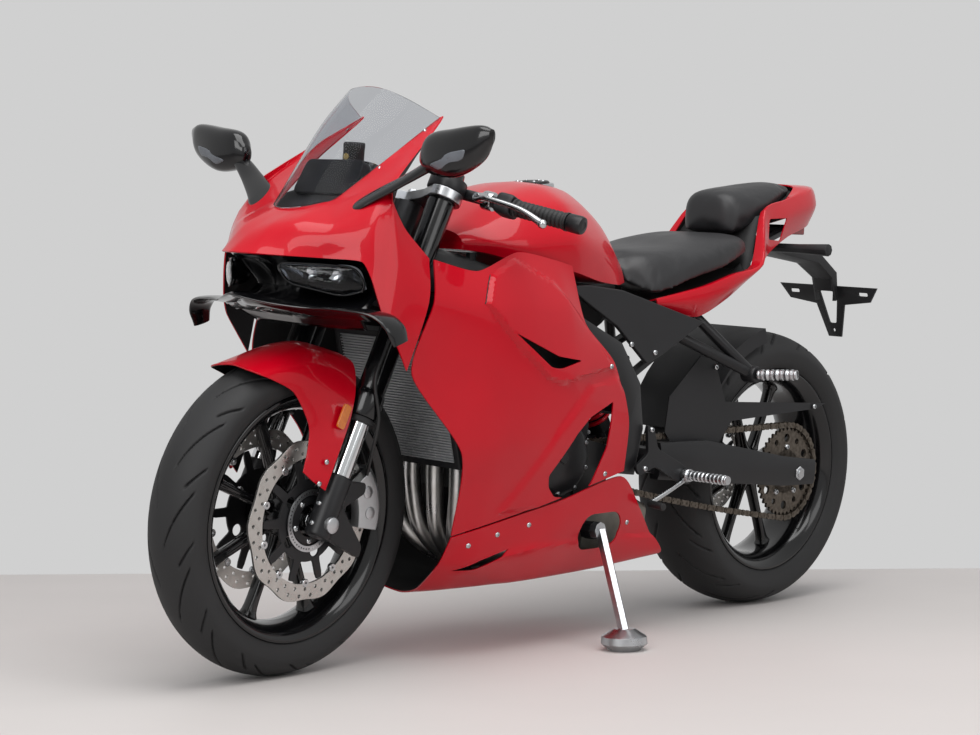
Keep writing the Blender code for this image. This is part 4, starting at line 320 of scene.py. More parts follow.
def joined(shapes):
    """Several shapes as one, the faces renumbered."""
    points, faces, start = [], [], 0
    for more, quads in shapes:
        points.append(np.asarray(more, float))
        faces += [tuple(i + start for i in quad) for quad in quads]
        start += len(more)
    return np.concatenate(points), faces


def mirrored(shape):
    points, faces = shape
    return points * (1, -1, 1), [quad[::-1] for quad in faces]


def both(shape):
    return joined([shape, mirrored(shape)])


def smooth(table, steps, ease=1.0):
    """More rows on a cardinal curve through the table's rows: the cubic whose slope at each row is half the
    step from the row before to the row after, times the ease. A small ease keeps to the straight lines."""
    table = np.asarray(table, float)
    if steps == 1:
        return table
    padded = np.concatenate([2 * table[:1] - table[1:2], table, 2 * table[-1:] - table[-2:-1]])
    a, b, c, d = (part[:, None] for part in (padded[:-3], padded[1:-2], padded[2:-1], padded[3:]))
    t = (np.arange(steps) / steps).reshape((1, steps) + (1,) * (table.ndim - 1))
    slope_b, slope_c = (c - a) * (ease / 2), (d - b) * (ease / 2)
    found = (2 * t**3 - 3 * t**2 + 1) * b + (t**3 - 2 * t**2 + t) * slope_b
    found = found + (3 * t**2 - 2 * t**3) * c + (t**3 - t**2) * slope_c
    return np.concatenate([found.reshape((-1,) + table.shape[1:]), table[-1:]])


def smooth_grid(table, row_steps, column_steps, ease=(1.0, 1.0)):
    """A table of points made finer along smooth curves both ways."""
    rows = smooth(np.asarray(table, float), row_steps, ease[0])
    return smooth(rows.swapaxes(0, 1), column_steps, ease[1]).swapaxes(0, 1)


def relief(grid, outline, height, soft):
    """Raises a side panel inside an outline of (length, height) places: each point moves out by the height times
    a smooth step of its distance within the nearest edge, which is 1 from the soft width inwards."""
    flat = grid[..., [0, 2]].reshape(-1, 2)
    a, b = np.array(outline), np.roll(np.array(outline), -1, 0)
    way = b - a
    share = np.clip(((flat[:, None] - a) * way).sum(-1) / (way**2).sum(-1), 0, 1)
    far = np.linalg.norm(flat[:, None] - a - way * share[..., None], axis=-1).min(1)
    far = np.where(inside_outline(flat, np.array(outline)), far, 0.0)
    step = np.clip(far / soft, 0, 1)
    lift = (height * step * step * (3 - 2 * step)).reshape(grid.shape[:2])
    moved = grid.copy()
    moved[..., 1] += lift * np.sign(grid[..., 1])
    return moved


def across(axis):
    """Two directions square to an axis."""
    axis = unit(axis)
    first = UP if abs(axis[2]) < 0.8 else FORWARD
    first = unit(first - axis * (first @ axis))
    return first, np.cross(axis, first)


def turned(profile, centre, axis, sides=64, closed=True):
    """A profile of (radius, place along the axis) turned round it: point = centre + spoke * radius + axis * along."""
    profile = np.asarray(profile, float)
    first, second = across(axis)
    angles = np.arange(sides) * (2 * math.pi / sides)
    spokes = np.cos(angles)[:, None] * first + np.sin(angles)[:, None] * second
    grid = centre + spokes[:, None] * profile[None, :, :1] + unit(axis) * profile[None, :, 1:]
    if closed:
        return surface(grid, True, True)
    return surface(grid.swapaxes(0, 1), False, True, True)


def tube(path, radius, sides=20):
    """A round bar along a path: rings square to it, each turned as little as can be from the one before."""
    path = np.asarray(path, float)
    radius = np.broadcast_to(np.asarray(radius, float), (len(path),))
    slopes = np.gradient(path, axis=0)
    slopes /= np.linalg.norm(slopes, axis=1)[:, None]
    first, _ = across(slopes[0])
    frames = []
    for slope in slopes:
        first = unit(first - slope * (first @ slope))
        frames.append((first, np.cross(slope, first)))
    frames = np.array(frames)
    angles = np.arange(sides) * (2 * math.pi / sides)
    ring = np.cos(angles)[None, :, None] * frames[:, None, 0] + np.sin(angles)[None, :, None] * frames[:, None, 1]
    return surface(path[:, None] + ring * radius[:, None, None], False, True, True)


def rounded_tube(path, radius, sides=20, edge=0.0015):
    """A bar whose two ends are rounded over by a small edge."""
    path = np.asarray(path, float)
    radius = np.broadcast_to(np.asarray(radius, float), (len(path),))
    start, end = unit(path[1] - path[0]) * edge, unit(path[-2] - path[-1]) * edge
    path = np.concatenate([[path[0]], [path[0] + start * 0.3], [path[0] + start], path[1:-1],
                           [path[-1] + end], [path[-1] + end * 0.3], [path[-1]]])
    radius = np.concatenate([[radius[0] - edge], [radius[0] - edge * 0.3], [radius[0]], radius[1:-1],
                             [radius[-1]], [radius[-1] - edge * 0.3], [radius[-1] - edge]])
    return tube(path, radius, sides)


def slab(outline, depth):
    """A flat outline pushed along a vector, as two rings of points and two flat ends."""
    outline = np.asarray(outline, float)
    return surface(np.stack([outline, outline + depth]), False, True, True)


def rounded_outline(corners, radius, steps=5):
    """A flat outline with each corner rounded: a quadratic curve between points this far from the corner."""
    corners = np.asarray(corners, float)
    before, after = np.roll(corners, 1, 0) - corners, np.roll(corners, -1, 0) - corners
    long_before, long_after = np.linalg.norm(before, axis=1), np.linalg.norm(after, axis=1)
    reach = np.minimum(radius, np.minimum(long_before, long_after) * 0.45)[:, None]
    start, end = corners + before / long_before[:, None] * reach, corners + after / long_after[:, None] * reach
    t = np.linspace(0, 1, steps)[None, :, None]
    return ((1 - t) ** 2 * start[:, None] + 2 * t * (1 - t) * corners[:, None] + t**2 * end[:, None]).reshape(-1, 3)


def disc_places(centre, axis, radius, count, phase=0.0):
    """Places evenly spaced on a circle."""
    first, second = across(axis)
    angles = (np.arange(count) + phase) * (2 * math.pi / count)
    return centre + radius * (np.cos(angles)[:, None] * first + np.sin(angles)[:, None] * second)


def screw(place, axis, radius=0.0045, height=0.0022):
    """A button-head screw: a dome whose middle is sunk."""
    axis = unit(axis)
    profile = [(0.0, 0.35), (0.42, 0.35), (0.46, 1.0), (0.72, 0.92), (0.92, 0.55), (1.0, 0.1), (1.0, -0.4)]
    profile = [(r * radius, h * height) for r, h in profile]
    return turned(profile[::-1], np.asarray(place, float), axis, 18, False)


def make(name, shape, finish_name, rides="chassis", stands_for=(), inside=None, wall=0.0, bevel=0.0, angle=40,
         segments=2):
    """One piece: the shape set into the leaned (and steered) frame, its faces turned out, then a wall and
    softened edges if given. A closed shape is turned by the sign of its volume, an open sheet away from inside."""
    points, faces = shape
    points = np.asarray(points, float)
    if flipped(points, faces, inside):
        faces = [face[::-1] for face in faces]
    world = CARRIERS[rides](points)
    mesh = bpy.data.meshes.new(name)
    mesh.from_pydata(world.tolist(), [], faces)
    mesh.update()
    obj = bpy.data.objects.new(name, mesh)
    bpy.context.collection.objects.link(obj)
    mesh.materials.append(FINISHES[finish_name])
    if wall:
        shell = obj.modifiers.new("wall", "SOLIDIFY")
        shell.thickness = wall
        shell.offset = -1
    mesh.shade_smooth()
    mesh.set_sharp_from_angle(angle=math.radians(angle))
    if bevel:
        soften(obj, bevel, segments)
    settle(obj, rides, stands_for)
    return obj


def make_sides(name, shape, finish_name, rides, stands_for, **more):
    """A piece on the left and its mirror image on the right, each in place of that side's node."""
    make(f"{name}_left", shape, finish_name, rides, (f"{stands_for}_left",), **more)
    make(f"{name}_right", mirrored(shape), finish_name, rides, (f"{stands_for}_right",), **more)


def flipped(points, faces, inside):
    """Whether the faces point inwards: by the summed signed volume of their fans, from inside if it is given."""
    sizes = np.array([len(face) for face in faces])
    origin = np.zeros(3) if inside is None else np.asarray(inside, float)
    total = 0.0
    for size in np.unique(sizes):
        group = np.array([face for face in faces if len(face) == size])
        corners = points[group] - origin
        for i in range(1, size - 1):
            total += np.einsum("ij,ij->", corners[:, 0], np.cross(corners[:, i], corners[:, i + 1]))
    return total < 0


def soften(obj, width, segments=2):
    """Rounds the sharp edges over by the given width."""
    edge = obj.modifiers.new("edges", "BEVEL")
    edge.width = width
    edge.segments = segments
    edge.limit_method = "ANGLE"
    edge.angle_limit = math.radians(30)
    edge.harden_normals = True


def settle(obj, rides, stands_for):
    """Hangs the piece on its body and hides the solids that it stands for."""
    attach(obj, rides)
    if stands_for:
        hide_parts(*stands_for)


def dressed(frame, node_name, name, finish_name, rides, width=0.002, segments=3):
    """The CAD solid's own shape with its edges rounded over: a merged copy of its mesh with a bevel."""
    source = frame["nodes"][node_name]
    obj = source.copy()
    obj.data = source.data.copy()
    obj.animation_data_clear()
    obj.name = name
    obj.parent = None
    bpy.context.collection.objects.link(obj)
    obj.matrix_world = Matrix.Identity(4)
    mesh = obj.data
    work = bmesh.new()
    work.from_mesh(mesh)
    bmesh.ops.remove_doubles(work, verts=work.verts, dist=1e-5)
    bmesh.ops.dissolve_limit(work, angle_limit=math.radians(1.0), verts=work.verts, edges=work.edges)
    work.to_mesh(mesh)
    work.free()
    mesh.materials.clear()
    mesh.materials.append(FINISHES[finish_name])
    mesh.shade_smooth()
    mesh.set_sharp_from_angle(angle=math.radians(40))
    soften(obj, width, segments)
    settle(obj, rides, (node_name,))
    return obj


def cut(obj, cutters):
    """Cuts closed shapes, given in the world, out of a piece, and applies its modifiers."""
    helpers = []
    for index, (points, faces) in enumerate(cutters):
        if flipped(points, faces, None):
            faces = [face[::-1] for face in faces]
        mesh = bpy.data.meshes.new("cutter")
        mesh.from_pydata(points.tolist(), [], faces)
        helper = bpy.data.objects.new("cutter", mesh)
        bpy.context.collection.objects.link(helper)
        helpers.append(helper)
        step = obj.modifiers.new(f"cut_{index}", "BOOLEAN")
        step.object = helper
        step.operation = "DIFFERENCE"
        step.solver = "EXACT"
    graph = bpy.context.evaluated_depsgraph_get()
    baked = bpy.data.meshes.new_from_object(obj.evaluated_get(graph))
    obj.modifiers.clear()
    obj.data = baked
    baked.shade_smooth()
    baked.set_sharp_from_angle(angle=math.radians(40))
    for helper in helpers:
        bpy.data.objects.remove(helper, do_unlink=True)
    return obj


# Sizes and tables that repeat the CAD source's own: shares of the body's length, width and height

CHAIN_LINE = 0.1085
CHAIN_PITCH = 0.015875
FRONT_SPROCKET = np.array((-0.038, 0.0, 0.372))
STAND_PIVOT = np.array((0.013, 0.176, 0.2413))
NOSE_SHARES = (
    ((0.3615, 0.00, 0.865), (0.395, 0.00, 0.828), (0.422, 0.00, 0.784)),
    ((0.3570, 0.07, 0.868), (0.392, 0.07, 0.832), (0.414, 0.09, 0.783)),
    ((0.3440, 0.12, 0.877), (0.380, 0.16, 0.838), (0.394, 0.18, 0.781)),
    ((0.3320, 0.155, 0.888), (0.364, 0.26, 0.832), (0.370, 0.27, 0.779)),
    ((0.2750, 0.198, 0.972), (0.345, 0.320, 0.855), (0.351, 0.385, 0.776)),
    ((0.2180, 0.222, 1.050), (0.328, 0.370, 0.880), (0.345, 0.420, 0.740)),
    ((0.3165, 0.378, 0.912), (0.322, 0.405, 0.855), (0.339, 0.445, 0.690)),
    ((0.3070, 0.41, 0.840), (0.317, 0.44, 0.780), (0.330, 0.465, 0.655)),
    ((0.2790, 0.43, 0.785), (0.2880, 0.475, 0.705), (0.3060, 0.450, 0.582)),
)
FAIRING_SHARES = (
    (
        (0.2725, 0.430, 0.783), (0.2810, 0.475, 0.705), (0.2990, 0.450, 0.575), (0.2330, 0.460, 0.424),
        (0.2150, 0.350, 0.262),
    ),
    (
        (0.2180, 0.440, 0.764), (0.2150, 0.492, 0.690), (0.2150, 0.492, 0.575), (0.1900, 0.478, 0.430),
        (0.1820, 0.380, 0.278),
    ),
    (
        (0.1565, 0.405, 0.800), (0.1550, 0.480, 0.695), (0.1500, 0.496, 0.575), (0.1380, 0.480, 0.440),
        (0.1300, 0.400, 0.300),
    ),
    (
        (0.1000, 0.390, 0.787), (0.0950, 0.455, 0.690), (0.0900, 0.480, 0.575), (0.0800, 0.465, 0.450),
        (0.0750, 0.410, 0.325),
    ),
    (
        (0.0725, 0.385, 0.776), (0.0600, 0.425, 0.665), (0.0150, 0.430, 0.585), (-0.0110, 0.420, 0.470),
        (-0.0130, 0.400, 0.364),
    ),
)
COVER_WINDOW_SHARES = (
    (0.019, 0.509), (0.058, 0.481), (0.078, 0.450), (0.110, 0.370), (0.106, 0.346), (0.094, 0.325),
    (0.061, 0.317), (0.039, 0.343), (0.022, 0.417),
)
VENT_SHARES = ((0.181, 0.651), (0.128, 0.583), (0.113, 0.580), (0.079, 0.594), (0.117, 0.604))
BELLY_SHARES = (
    ((0.2150, 0.350, 0.258), (0.2115, 0.270, 0.200), (0.2025, 0.120, 0.140), (0.1960, 0.00, 0.125)),
    ((0.1820, 0.380, 0.274), (0.1820, 0.330, 0.200), (0.1800, 0.170, 0.141), (0.1780, 0.00, 0.126)),
    ((0.1300, 0.400, 0.296), (0.1300, 0.355, 0.210), (0.1300, 0.210, 0.143), (0.1300, 0.00, 0.129)),
    ((0.0750, 0.410, 0.317), (0.0750, 0.372, 0.228), (0.0700, 0.235, 0.147), (0.0650, 0.00, 0.133)),
    ((-0.0130, 0.400, 0.352), (-0.0150, 0.360, 0.250), (-0.0150, 0.250, 0.155), (-0.0150, 0.00, 0.140)),
    ((-0.0600, 0.350, 0.275), (-0.0825, 0.326, 0.225), (-0.1100, 0.284, 0.172), (-0.0850, 0.00, 0.150)),
)
SCREEN_SHARES = (
    ((0.3640, 0.00, 0.8640), (0.3330, 0.00, 0.948), (0.3010, 0.00, 1.030), (0.2655, 0.00, 1.098)),
    ((0.3595, 0.07, 0.8672), (0.3290, 0.08, 0.948), (0.2970, 0.095, 1.027), (0.2640, 0.10, 1.092)),
    ((0.3465, 0.12, 0.8762), (0.3140, 0.145, 0.945), (0.2820, 0.165, 1.010), (0.2500, 0.172, 1.074)),
    ((0.3340, 0.148, 0.8880), (0.2980, 0.174, 0.940), (0.2610, 0.192, 0.994), (0.2210, 0.208, 1.050)),
)
TANK_SHARES = (
    (0.1860, ((0, 0.838), (0.12, 0.838), (0.19, 0.830), (0.225, 0.815), (0.215, 0.800), (0, 0.800))),
    (0.1650, ((0, 0.862), (0.14, 0.860), (0.24, 0.845), (0.295, 0.818), (0.285, 0.795), (0, 0.795))),
    (0.1250, ((0, 0.905), (0.17, 0.900), (0.285, 0.872), (0.36, 0.820), (0.355, 0.775), (0, 0.765))),
    (0.0675, ((0, 0.937), (0.16, 0.930), (0.30, 0.895), (0.384, 0.830), (0.37, 0.765), (0, 0.745))),
    (0.0150, ((0, 0.932), (0.12, 0.922), (0.23, 0.885), (0.33, 0.810), (0.33, 0.745), (0, 0.740))),
    (-0.0225, ((0, 0.895), (0.10, 0.885), (0.19, 0.855), (0.27, 0.800), (0.30, 0.738), (0, 0.735))),
    (-0.0465, ((0, 0.845), (0.10, 0.835), (0.18, 0.805), (0.23, 0.770), (0.25, 0.742), (0, 0.735))),
)
RIDER_SEAT_SHARES = (
    (-0.0500, ((0, 0.798), (0.12, 0.793), (0.20, 0.770), (0.24, 0.742), (0, 0.738))),
    (-0.0800, ((0, 0.805), (0.16, 0.802), (0.27, 0.785), (0.32, 0.715), (0, 0.745))),
    (-0.1400, ((0, 0.815), (0.20, 0.812), (0.31, 0.795), (0.336, 0.748), (0, 0.765))),
    (-0.1950, ((0, 0.838), (0.21, 0.832), (0.31, 0.815), (0.330, 0.776), (0, 0.785))),
    (-0.2400, ((0, 0.846), (0.19, 0.844), (0.275, 0.832), (0.285, 0.803), (0, 0.803))),
    (-0.2610, ((0, 0.840), (0.15, 0.838), (0.215, 0.825), (0.225, 0.803), (0, 0.802))),
)
PILLION_SEAT_SHARES = (
    (-0.2520, ((0, 0.930), (0.06, 0.926), (0.100, 0.905), (0.105, 0.850), (0, 0.848))),
    (-0.2620, ((0, 0.944), (0.09, 0.938), (0.140, 0.912), (0.150, 0.852), (0, 0.850))),
    (-0.2950, ((0, 0.952), (0.12, 0.943), (0.172, 0.915), (0.176, 0.872), (0, 0.866))),
    (-0.3350, ((0, 0.963), (0.11, 0.955), (0.148, 0.938), (0.150, 0.912), (0, 0.898))),
    (-0.3800, ((0, 0.970), (0.07, 0.965), (0.088, 0.955), (0.088, 0.948), (0, 0.938))),
)
TAIL_SHARES = (
    ((-0.0790, 0.280, 0.706), (-0.0790, 0.316, 0.710), (-0.0800, 0.322, 0.698), (-0.0810, 0.306, 0.684)),
    ((-0.1500, 0.310, 0.735), (-0.1500, 0.350, 0.738), (-0.1500, 0.352, 0.708), (-0.1500, 0.310, 0.672)),
    ((-0.2000, 0.310, 0.762), (-0.2000, 0.350, 0.766), (-0.2020, 0.356, 0.742), (-0.1970, 0.320, 0.712)),
    ((-0.2520, 0.270, 0.784), (-0.2550, 0.318, 0.790), (-0.2560, 0.326, 0.785), (-0.2500, 0.300, 0.768)),
    ((-0.2875, 0.200, 0.900), (-0.2890, 0.222, 0.905), (-0.2900, 0.240, 0.860), (-0.2930, 0.250, 0.815)),
    ((-0.3400, 0.160, 0.925), (-0.3400, 0.176, 0.930), (-0.3450, 0.196, 0.895), (-0.3450, 0.186, 0.848)),
    ((-0.3860, 0.080, 0.962), (-0.4100, 0.110, 0.958), (-0.4150, 0.130, 0.920), (-0.4080, 0.110, 0.876)),
    ((-0.3840, 0.000, 0.968), (-0.4420, 0.000, 0.967), (-0.4450, 0.000, 0.935), (-0.4300, 0.000, 0.900)),
)
TAIL_WINDOW_SHARES = ((-0.296, 0.886), (-0.337, 0.890), (-0.322, 0.838), (-0.289, 0.840))
WING_SHARES = (
    (0.4080, 0.00, 0.708), (0.3930, 0.12, 0.697), (0.3720, 0.24, 0.690), (0.3620, 0.37, 0.690),
    (0.3520, 0.49, 0.684), (0.3460, 0.545, 0.664), (0.3410, 0.560, 0.636),
)
WING_CHORDS = (0.050, 0.046, 0.044, 0.044, 0.044, 0.040, 0.030)
LAMP_SHARES = (
    (0.395, 0.124, 0.768), (0.366, 0.26, 0.768), (0.350, 0.36, 0.764), (0.343, 0.385, 0.725),
    (0.357, 0.32, 0.712), (0.388, 0.15, 0.733),
)
MIRROR_RINGS = (
    # place across as a width share, then centre (length, height) shares and half sizes
    (0.490, 0.3060, 0.965, 0.010, 0.014),
    (0.540, 0.3060, 0.972, 0.024, 0.036),
    (0.652, 0.3065, 0.974, 0.027, 0.043),
    (0.770, 0.3058, 0.990, 0.020, 0.033),
    (0.824, 0.3055, 1.004, 0.008, 0.012),
)
PIPE_SHARES = (
    (0.1558, 0.470, 1.0), (0.1670, 0.450, 1.0), (0.170, 0.40, 1.0), (0.169, 0.33, 1.0),
    (0.158, 0.245, 0.75), (0.125, 0.185, 0.3), (0.085, 0.181, 0.08),
)
COLLECTOR_SHARES = ((0.095, 0.182), (0.02, 0.184), (-0.030, 0.200))
BOX_SHARES = ((-0.024, 0.205), (-0.040, 0.222), (-0.105, 0.228), (-0.125, 0.225))
BOX_HEIGHTS = (0.05, 0.115, 0.115, 0.08)
RADIATOR_SHARES = ((0.1875, 0.0, 0.385), (0.2225, 0.0, 0.640))
REARSET_SHARES = (
    (-0.064, 0.452), (-0.076, 0.440), (-0.0825, 0.40), (-0.125, 0.362), (-0.145, 0.340), (-0.1375, 0.317),
    (-0.1175, 0.325), (-0.080, 0.362), (-0.055, 0.345), (-0.0475, 0.365), (-0.0675, 0.39),
)
MUDGUARD_SHARES = (
    ((0.943, 0.00, 0.563), (0.550, 0.00, 0.837), (0.173, 0.00, 0.914)),
    ((0.943, 0.33, 0.549), (0.550, 0.40, 0.806), (0.173, 0.43, 0.874)),
    ((0.883, 0.57, 0.543), (0.550, 0.61, 0.729), (0.200, 0.67, 0.800)),
    ((0.633, 0.65, 0.543), (0.450, 0.73, 0.614), (0.223, 0.87, 0.686)),
    ((0.450, 0.73, 0.429), (0.350, 0.83, 0.457), (0.227, 0.97, 0.543)),
    ((0.407, 0.78, 0.314), (0.323, 0.87, 0.314), (0.227, 0.99, 0.343)),
    ((0.393, 0.83, 0.189), (0.313, 0.90, 0.166), (0.220, 0.98, 0.149)),
)
PILLION_TUBE_SHARES = (
    ((-0.165, 0.242, 0.674), (-0.222, 0.400, 0.550)),
    ((-0.136, 0.250, 0.630), (-0.222, 0.400, 0.550)),
    ((-0.222, 0.390, 0.550), (-0.234, 0.600, 0.556)),
)


# Wheels


# Tread slashes round a tyre, half a slash's width as a share of its turn, and its depth
SLASHES, SLASH_HALF, SLASH_DEPTH = 13, 0.030, 0.0045
SPOKES = 8
# A brake disc's waves (and buttons), the width of its band, and the holes in each of its two rings
DISC_WAVES, DISC_BAND, DISC_HOLES = 10, 0.032, 30
# Widths of the tyres and rims, the discs' radii and how far they sit off the middle
FRONT_WIDTH, REAR_WIDTH = 0.120, 0.180
FRONT_RIM_WIDTH, REAR_RIM_WIDTH = 0.089, 0.140
FRONT_DISC_RADIUS, REAR_DISC_RADIUS = 0.150, 0.110
FRONT_DISC_PLACE, REAR_DISC_PLACE = 0.068, 0.090
FRONT_TEETH, REAR_TEETH = 16, 42


def superellipse(sides, power):
    """Shares across and up round a superellipse: cosine and sine raised to the power, with their signs kept."""
    around = np.arange(sides) * (2 * math.pi / sides)
    return [np.sign(wave) * np.abs(wave) ** power for wave in (np.cos(around), np.sin(around))]


def round_holes(reach, size, number, sides, phase=0.0):
    """Holes for flat_part at even angles round its middle; the phase is a share of the step between two."""
    holes = []
    for index in range(number):
        angle = 2 * math.pi * (index + phase) / number
        holes.append((reach * math.cos(angle), reach * math.sin(angle), size, sides))
    return holes


def tyre(name, axle, radius, width, rim_width, rides, node_name, twist):
    """A tyre: crown = elliptic arc over the two shoulders, side walls down to the beads, turned round the axle.

    Each point's radius drops by the groove's depth where it lies on a slash: the slash's middle runs round the
    wheel by the twist for each step across, and repeats at even angles."""
    around, rows = 720, 89
    height = radius - BEAD_RADIUS
    shoulder = height * 0.52
    t = np.radians(np.linspace(-90, 90, rows))
    crown_r = BEAD_RADIUS + shoulder + (height - shoulder) * np.cos(t)
    crown_y = width / 2 * np.sin(t)
    bead = rim_width / 2 - 0.0004
    foot, top = BEAD_RADIUS + 0.0004, BEAD_RADIUS + 0.0149
    wall = np.array([(top + 0.012, width / 2 * 0.97), (top + 0.002, bead + 0.008), (top, bead + 0.006), (top, bead),
                     (foot, bead)])
    r = np.concatenate([crown_r, wall[:, 0], wall[::-1, 0]])
    y = np.concatenate([crown_y, wall[:, 1], -wall[::-1, 1]])
    angle = np.arange(around) * (2 * math.pi / around)
    across_share = np.concatenate([np.degrees(t) / 90, np.full(10, 2.0)])
    v = np.abs(across_share)[None, :]
    side = np.sign(across_share)[None, :]
    turn = angle[:, None] * SLASHES / (2 * math.pi) + side * 0.25
    first = (turn - twist * np.sqrt(np.clip(v, 0, 1)) * 1.5) % 1.0
    second = (turn + 0.5 - twist * np.sqrt(np.clip(v, 0, 1)) * 1.2) % 1.0
    slash = np.clip((SLASH_HALF - np.abs(first - 0.5)) / 0.012, 0, 1) * np.clip((v - 0.10) / 0.04, 0, 1)
    slash *= np.clip((0.72 - v) / 0.05, 0, 1)
    short = np.clip((SLASH_HALF - np.abs(second - 0.5)) / 0.012, 0, 1) * np.clip((v - 0.42) / 0.04, 0, 1)
    short *= np.clip((0.86 - v) / 0.05, 0, 1)
    deep = SLASH_DEPTH * np.maximum(slash, short)
    rings = r[None, :] - deep * np.clip(np.cos(across_share * math.pi / 2), 0, 1)[None, :]
    sunk = y[None, :] - deep * np.sin(np.clip(across_share, -1, 1) * math.pi / 2)[None, :]
    spokes = np.cos(angle)[:, None, None] * FORWARD + np.sin(angle)[:, None, None] * UP
    grid = axle + spokes * rings[..., None] + LEFT * sunk[..., None]
    return make(name, surface(grid, True, True), "tyre_rubber", rides, (node_name,), angle=60)


def rim(name, axle, rim_width, hub_right, hub_left, rides, node_name):
    """A cast wheel: the turned rim with rolled lips, the turned hub and eight lofted spokes."""
    half = rim_width / 2
    low, rise, well = BEAD_RADIUS - 0.0125, BEAD_RADIUS + 0.0145, half - 0.034
    profile = [
        (BEAD_RADIUS, -half), (BEAD_RADIUS - 0.002, -half + 0.006), (low, -well), (low, well),
        (BEAD_RADIUS - 0.002, half - 0.006), (BEAD_RADIUS, half), (rise - 0.001, half), (rise, half + 0.0015),
        (rise, half + 0.0060), (rise - 0.002, half + 0.0078), (rise - 0.008, half + 0.0072),
        (BEAD_RADIUS - 0.004, half - 0.001), (BEAD_RADIUS - 0.012, half - 0.010), (low - 0.007, well + 0.004),
        (low - 0.008, well - 0.012), (low - 0.008, -well + 0.012), (low - 0.007, -well - 0.004),
        (BEAD_RADIUS - 0.012, -half + 0.010), (BEAD_RADIUS - 0.004, -half + 0.001), (rise - 0.008, -half - 0.0072),
        (rise - 0.002, -half - 0.0078), (rise, -half - 0.0060), (rise, -half - 0.0015), (rise - 0.001, -half),
    ]
    shapes = [turned(profile, axle, LEFT, 144)]
    hub = [
        (0.0125, -hub_right), (0.030, -hub_right), (0.033, -hub_right + 0.002), (0.034, -hub_right + 0.012),
        (0.040, -0.022), (0.044, -0.010), (0.044, 0.010), (0.040, 0.022), (0.034, hub_left - 0.012),
        (0.033, hub_left - 0.002), (0.030, hub_left), (0.0125, hub_left),
    ]
    shapes.append(turned(hub, axle, LEFT, 64))
    stations = np.array([0.036, 0.050, 0.070, 0.110, 0.160, 0.185, 0.198])
    halves = np.array([0.017, 0.0115, 0.0092, 0.0086, 0.0090, 0.0115, 0.0175])
    depths = np.array([0.016, 0.0135, 0.0125, 0.0120, 0.0120, 0.0130, 0.0165])
    ring_side, ring_deep = superellipse(16, 0.55)
    for index in range(SPOKES):
        angle = 2 * math.pi * (index + 0.5) / SPOKES
        spoke = FORWARD * math.cos(angle) + UP * math.sin(angle)
        side = UP * math.cos(angle) - FORWARD * math.sin(angle)
        grid = (
            axle + spoke * stations[:, None, None] + side * (halves[:, None] * ring_side)[..., None]
            + LEFT * (depths[:, None] * ring_deep)[..., None]
        )
        shapes.append(surface(smooth(grid, 4), False, True, True))
    return make(name, joined(shapes), "black_lacquered_abs", rides, (node_name,), angle=50)


def flat_part(outline, holes, centre, axis, thickness):
    """A flat plate with round holes: the outline's (right, up) points triangulated with the holes' circles, the
    triangles inside a hole left out, then both faces and the walls between them.

    The holes are (right, up, radius, sides)."""
    first, second = (UP, FORWARD) if abs(axis[1]) > 0.9 else across(axis)
    points = [tuple(map(float, p)) for p in outline]
    loops = [list(range(len(points)))]
    for x, z, radius, sides in holes:
        angles = np.arange(sides) * (2 * math.pi / sides)
        start = len(points)
        points += list(zip((x + radius * np.cos(angles)).tolist(), (z + radius * np.sin(angles)).tolist()))
        loops.append(list(range(start, len(points))))
    edges = [(loop[i], loop[(i + 1) % len(loop)]) for loop in loops for i in range(len(loop))]
    found, _, triangles, *_ = delaunay_2d_cdt([Vector(p) for p in points], edges, [], 1, 1e-7)
    flat = np.array([tuple(v) for v in found])
    triangles = np.array([tuple(t) for t in triangles])
    middle = flat[triangles].mean(1)
    keep = inside_outline(middle, np.array(outline))
    for x, z, radius, sides in holes:
        keep &= np.hypot(middle[:, 0] - x, middle[:, 1] - z) > radius * math.cos(math.pi / sides)
    triangles = triangles[keep]
    place = centre + second * flat[:, :1] + first * flat[:, 1:]
    count = len(flat)
    front, back = place + axis * (thickness / 2), place - axis * (thickness / 2)
    pairs = np.sort(np.concatenate([triangles[:, [0, 1]], triangles[:, [1, 2]], triangles[:, [2, 0]]]), axis=1)
    directed = np.concatenate([triangles[:, [0, 1]], triangles[:, [1, 2]], triangles[:, [2, 0]]])
    _, where, many = np.unique(pairs, axis=0, return_index=True, return_counts=True)
    rim_edges = directed[where[many == 1]]
    faces = [tuple(t) for t in triangles.tolist()]
    faces += [tuple(i + count for i in t[::-1]) for t in triangles.tolist()]
    faces += [(b, a, a + count, b + count) for a, b in rim_edges.tolist()]
    return np.concatenate([front, back]), faces


def inside_outline(points, outline):
    """Which points lie inside a closed outline, by the crossings of a ray to the right."""
    x, z = points[:, 0:1], points[:, 1:2]
    a, b = outline, np.roll(outline, -1, 0)
    crosses = (a[None, :, 1] > z) != (b[None, :, 1] > z)
    with np.errstate(divide="ignore", invalid="ignore"):
        at = a[None, :, 0] + (z - a[None, :, 1]) * (b[None, :, 0] - a[None, :, 0]) / (b[None, :, 1] - a[None, :, 1])
    return (crosses & (x < at)).sum(1) % 2 == 1


def polar(radii, count):
    """An outline at even angles with the given radii."""
    angles = np.arange(count) * (2 * math.pi / count)
    radii = np.broadcast_to(radii, (count,))
    return np.stack([radii * np.cos(angles), radii * np.sin(angles)], 1)


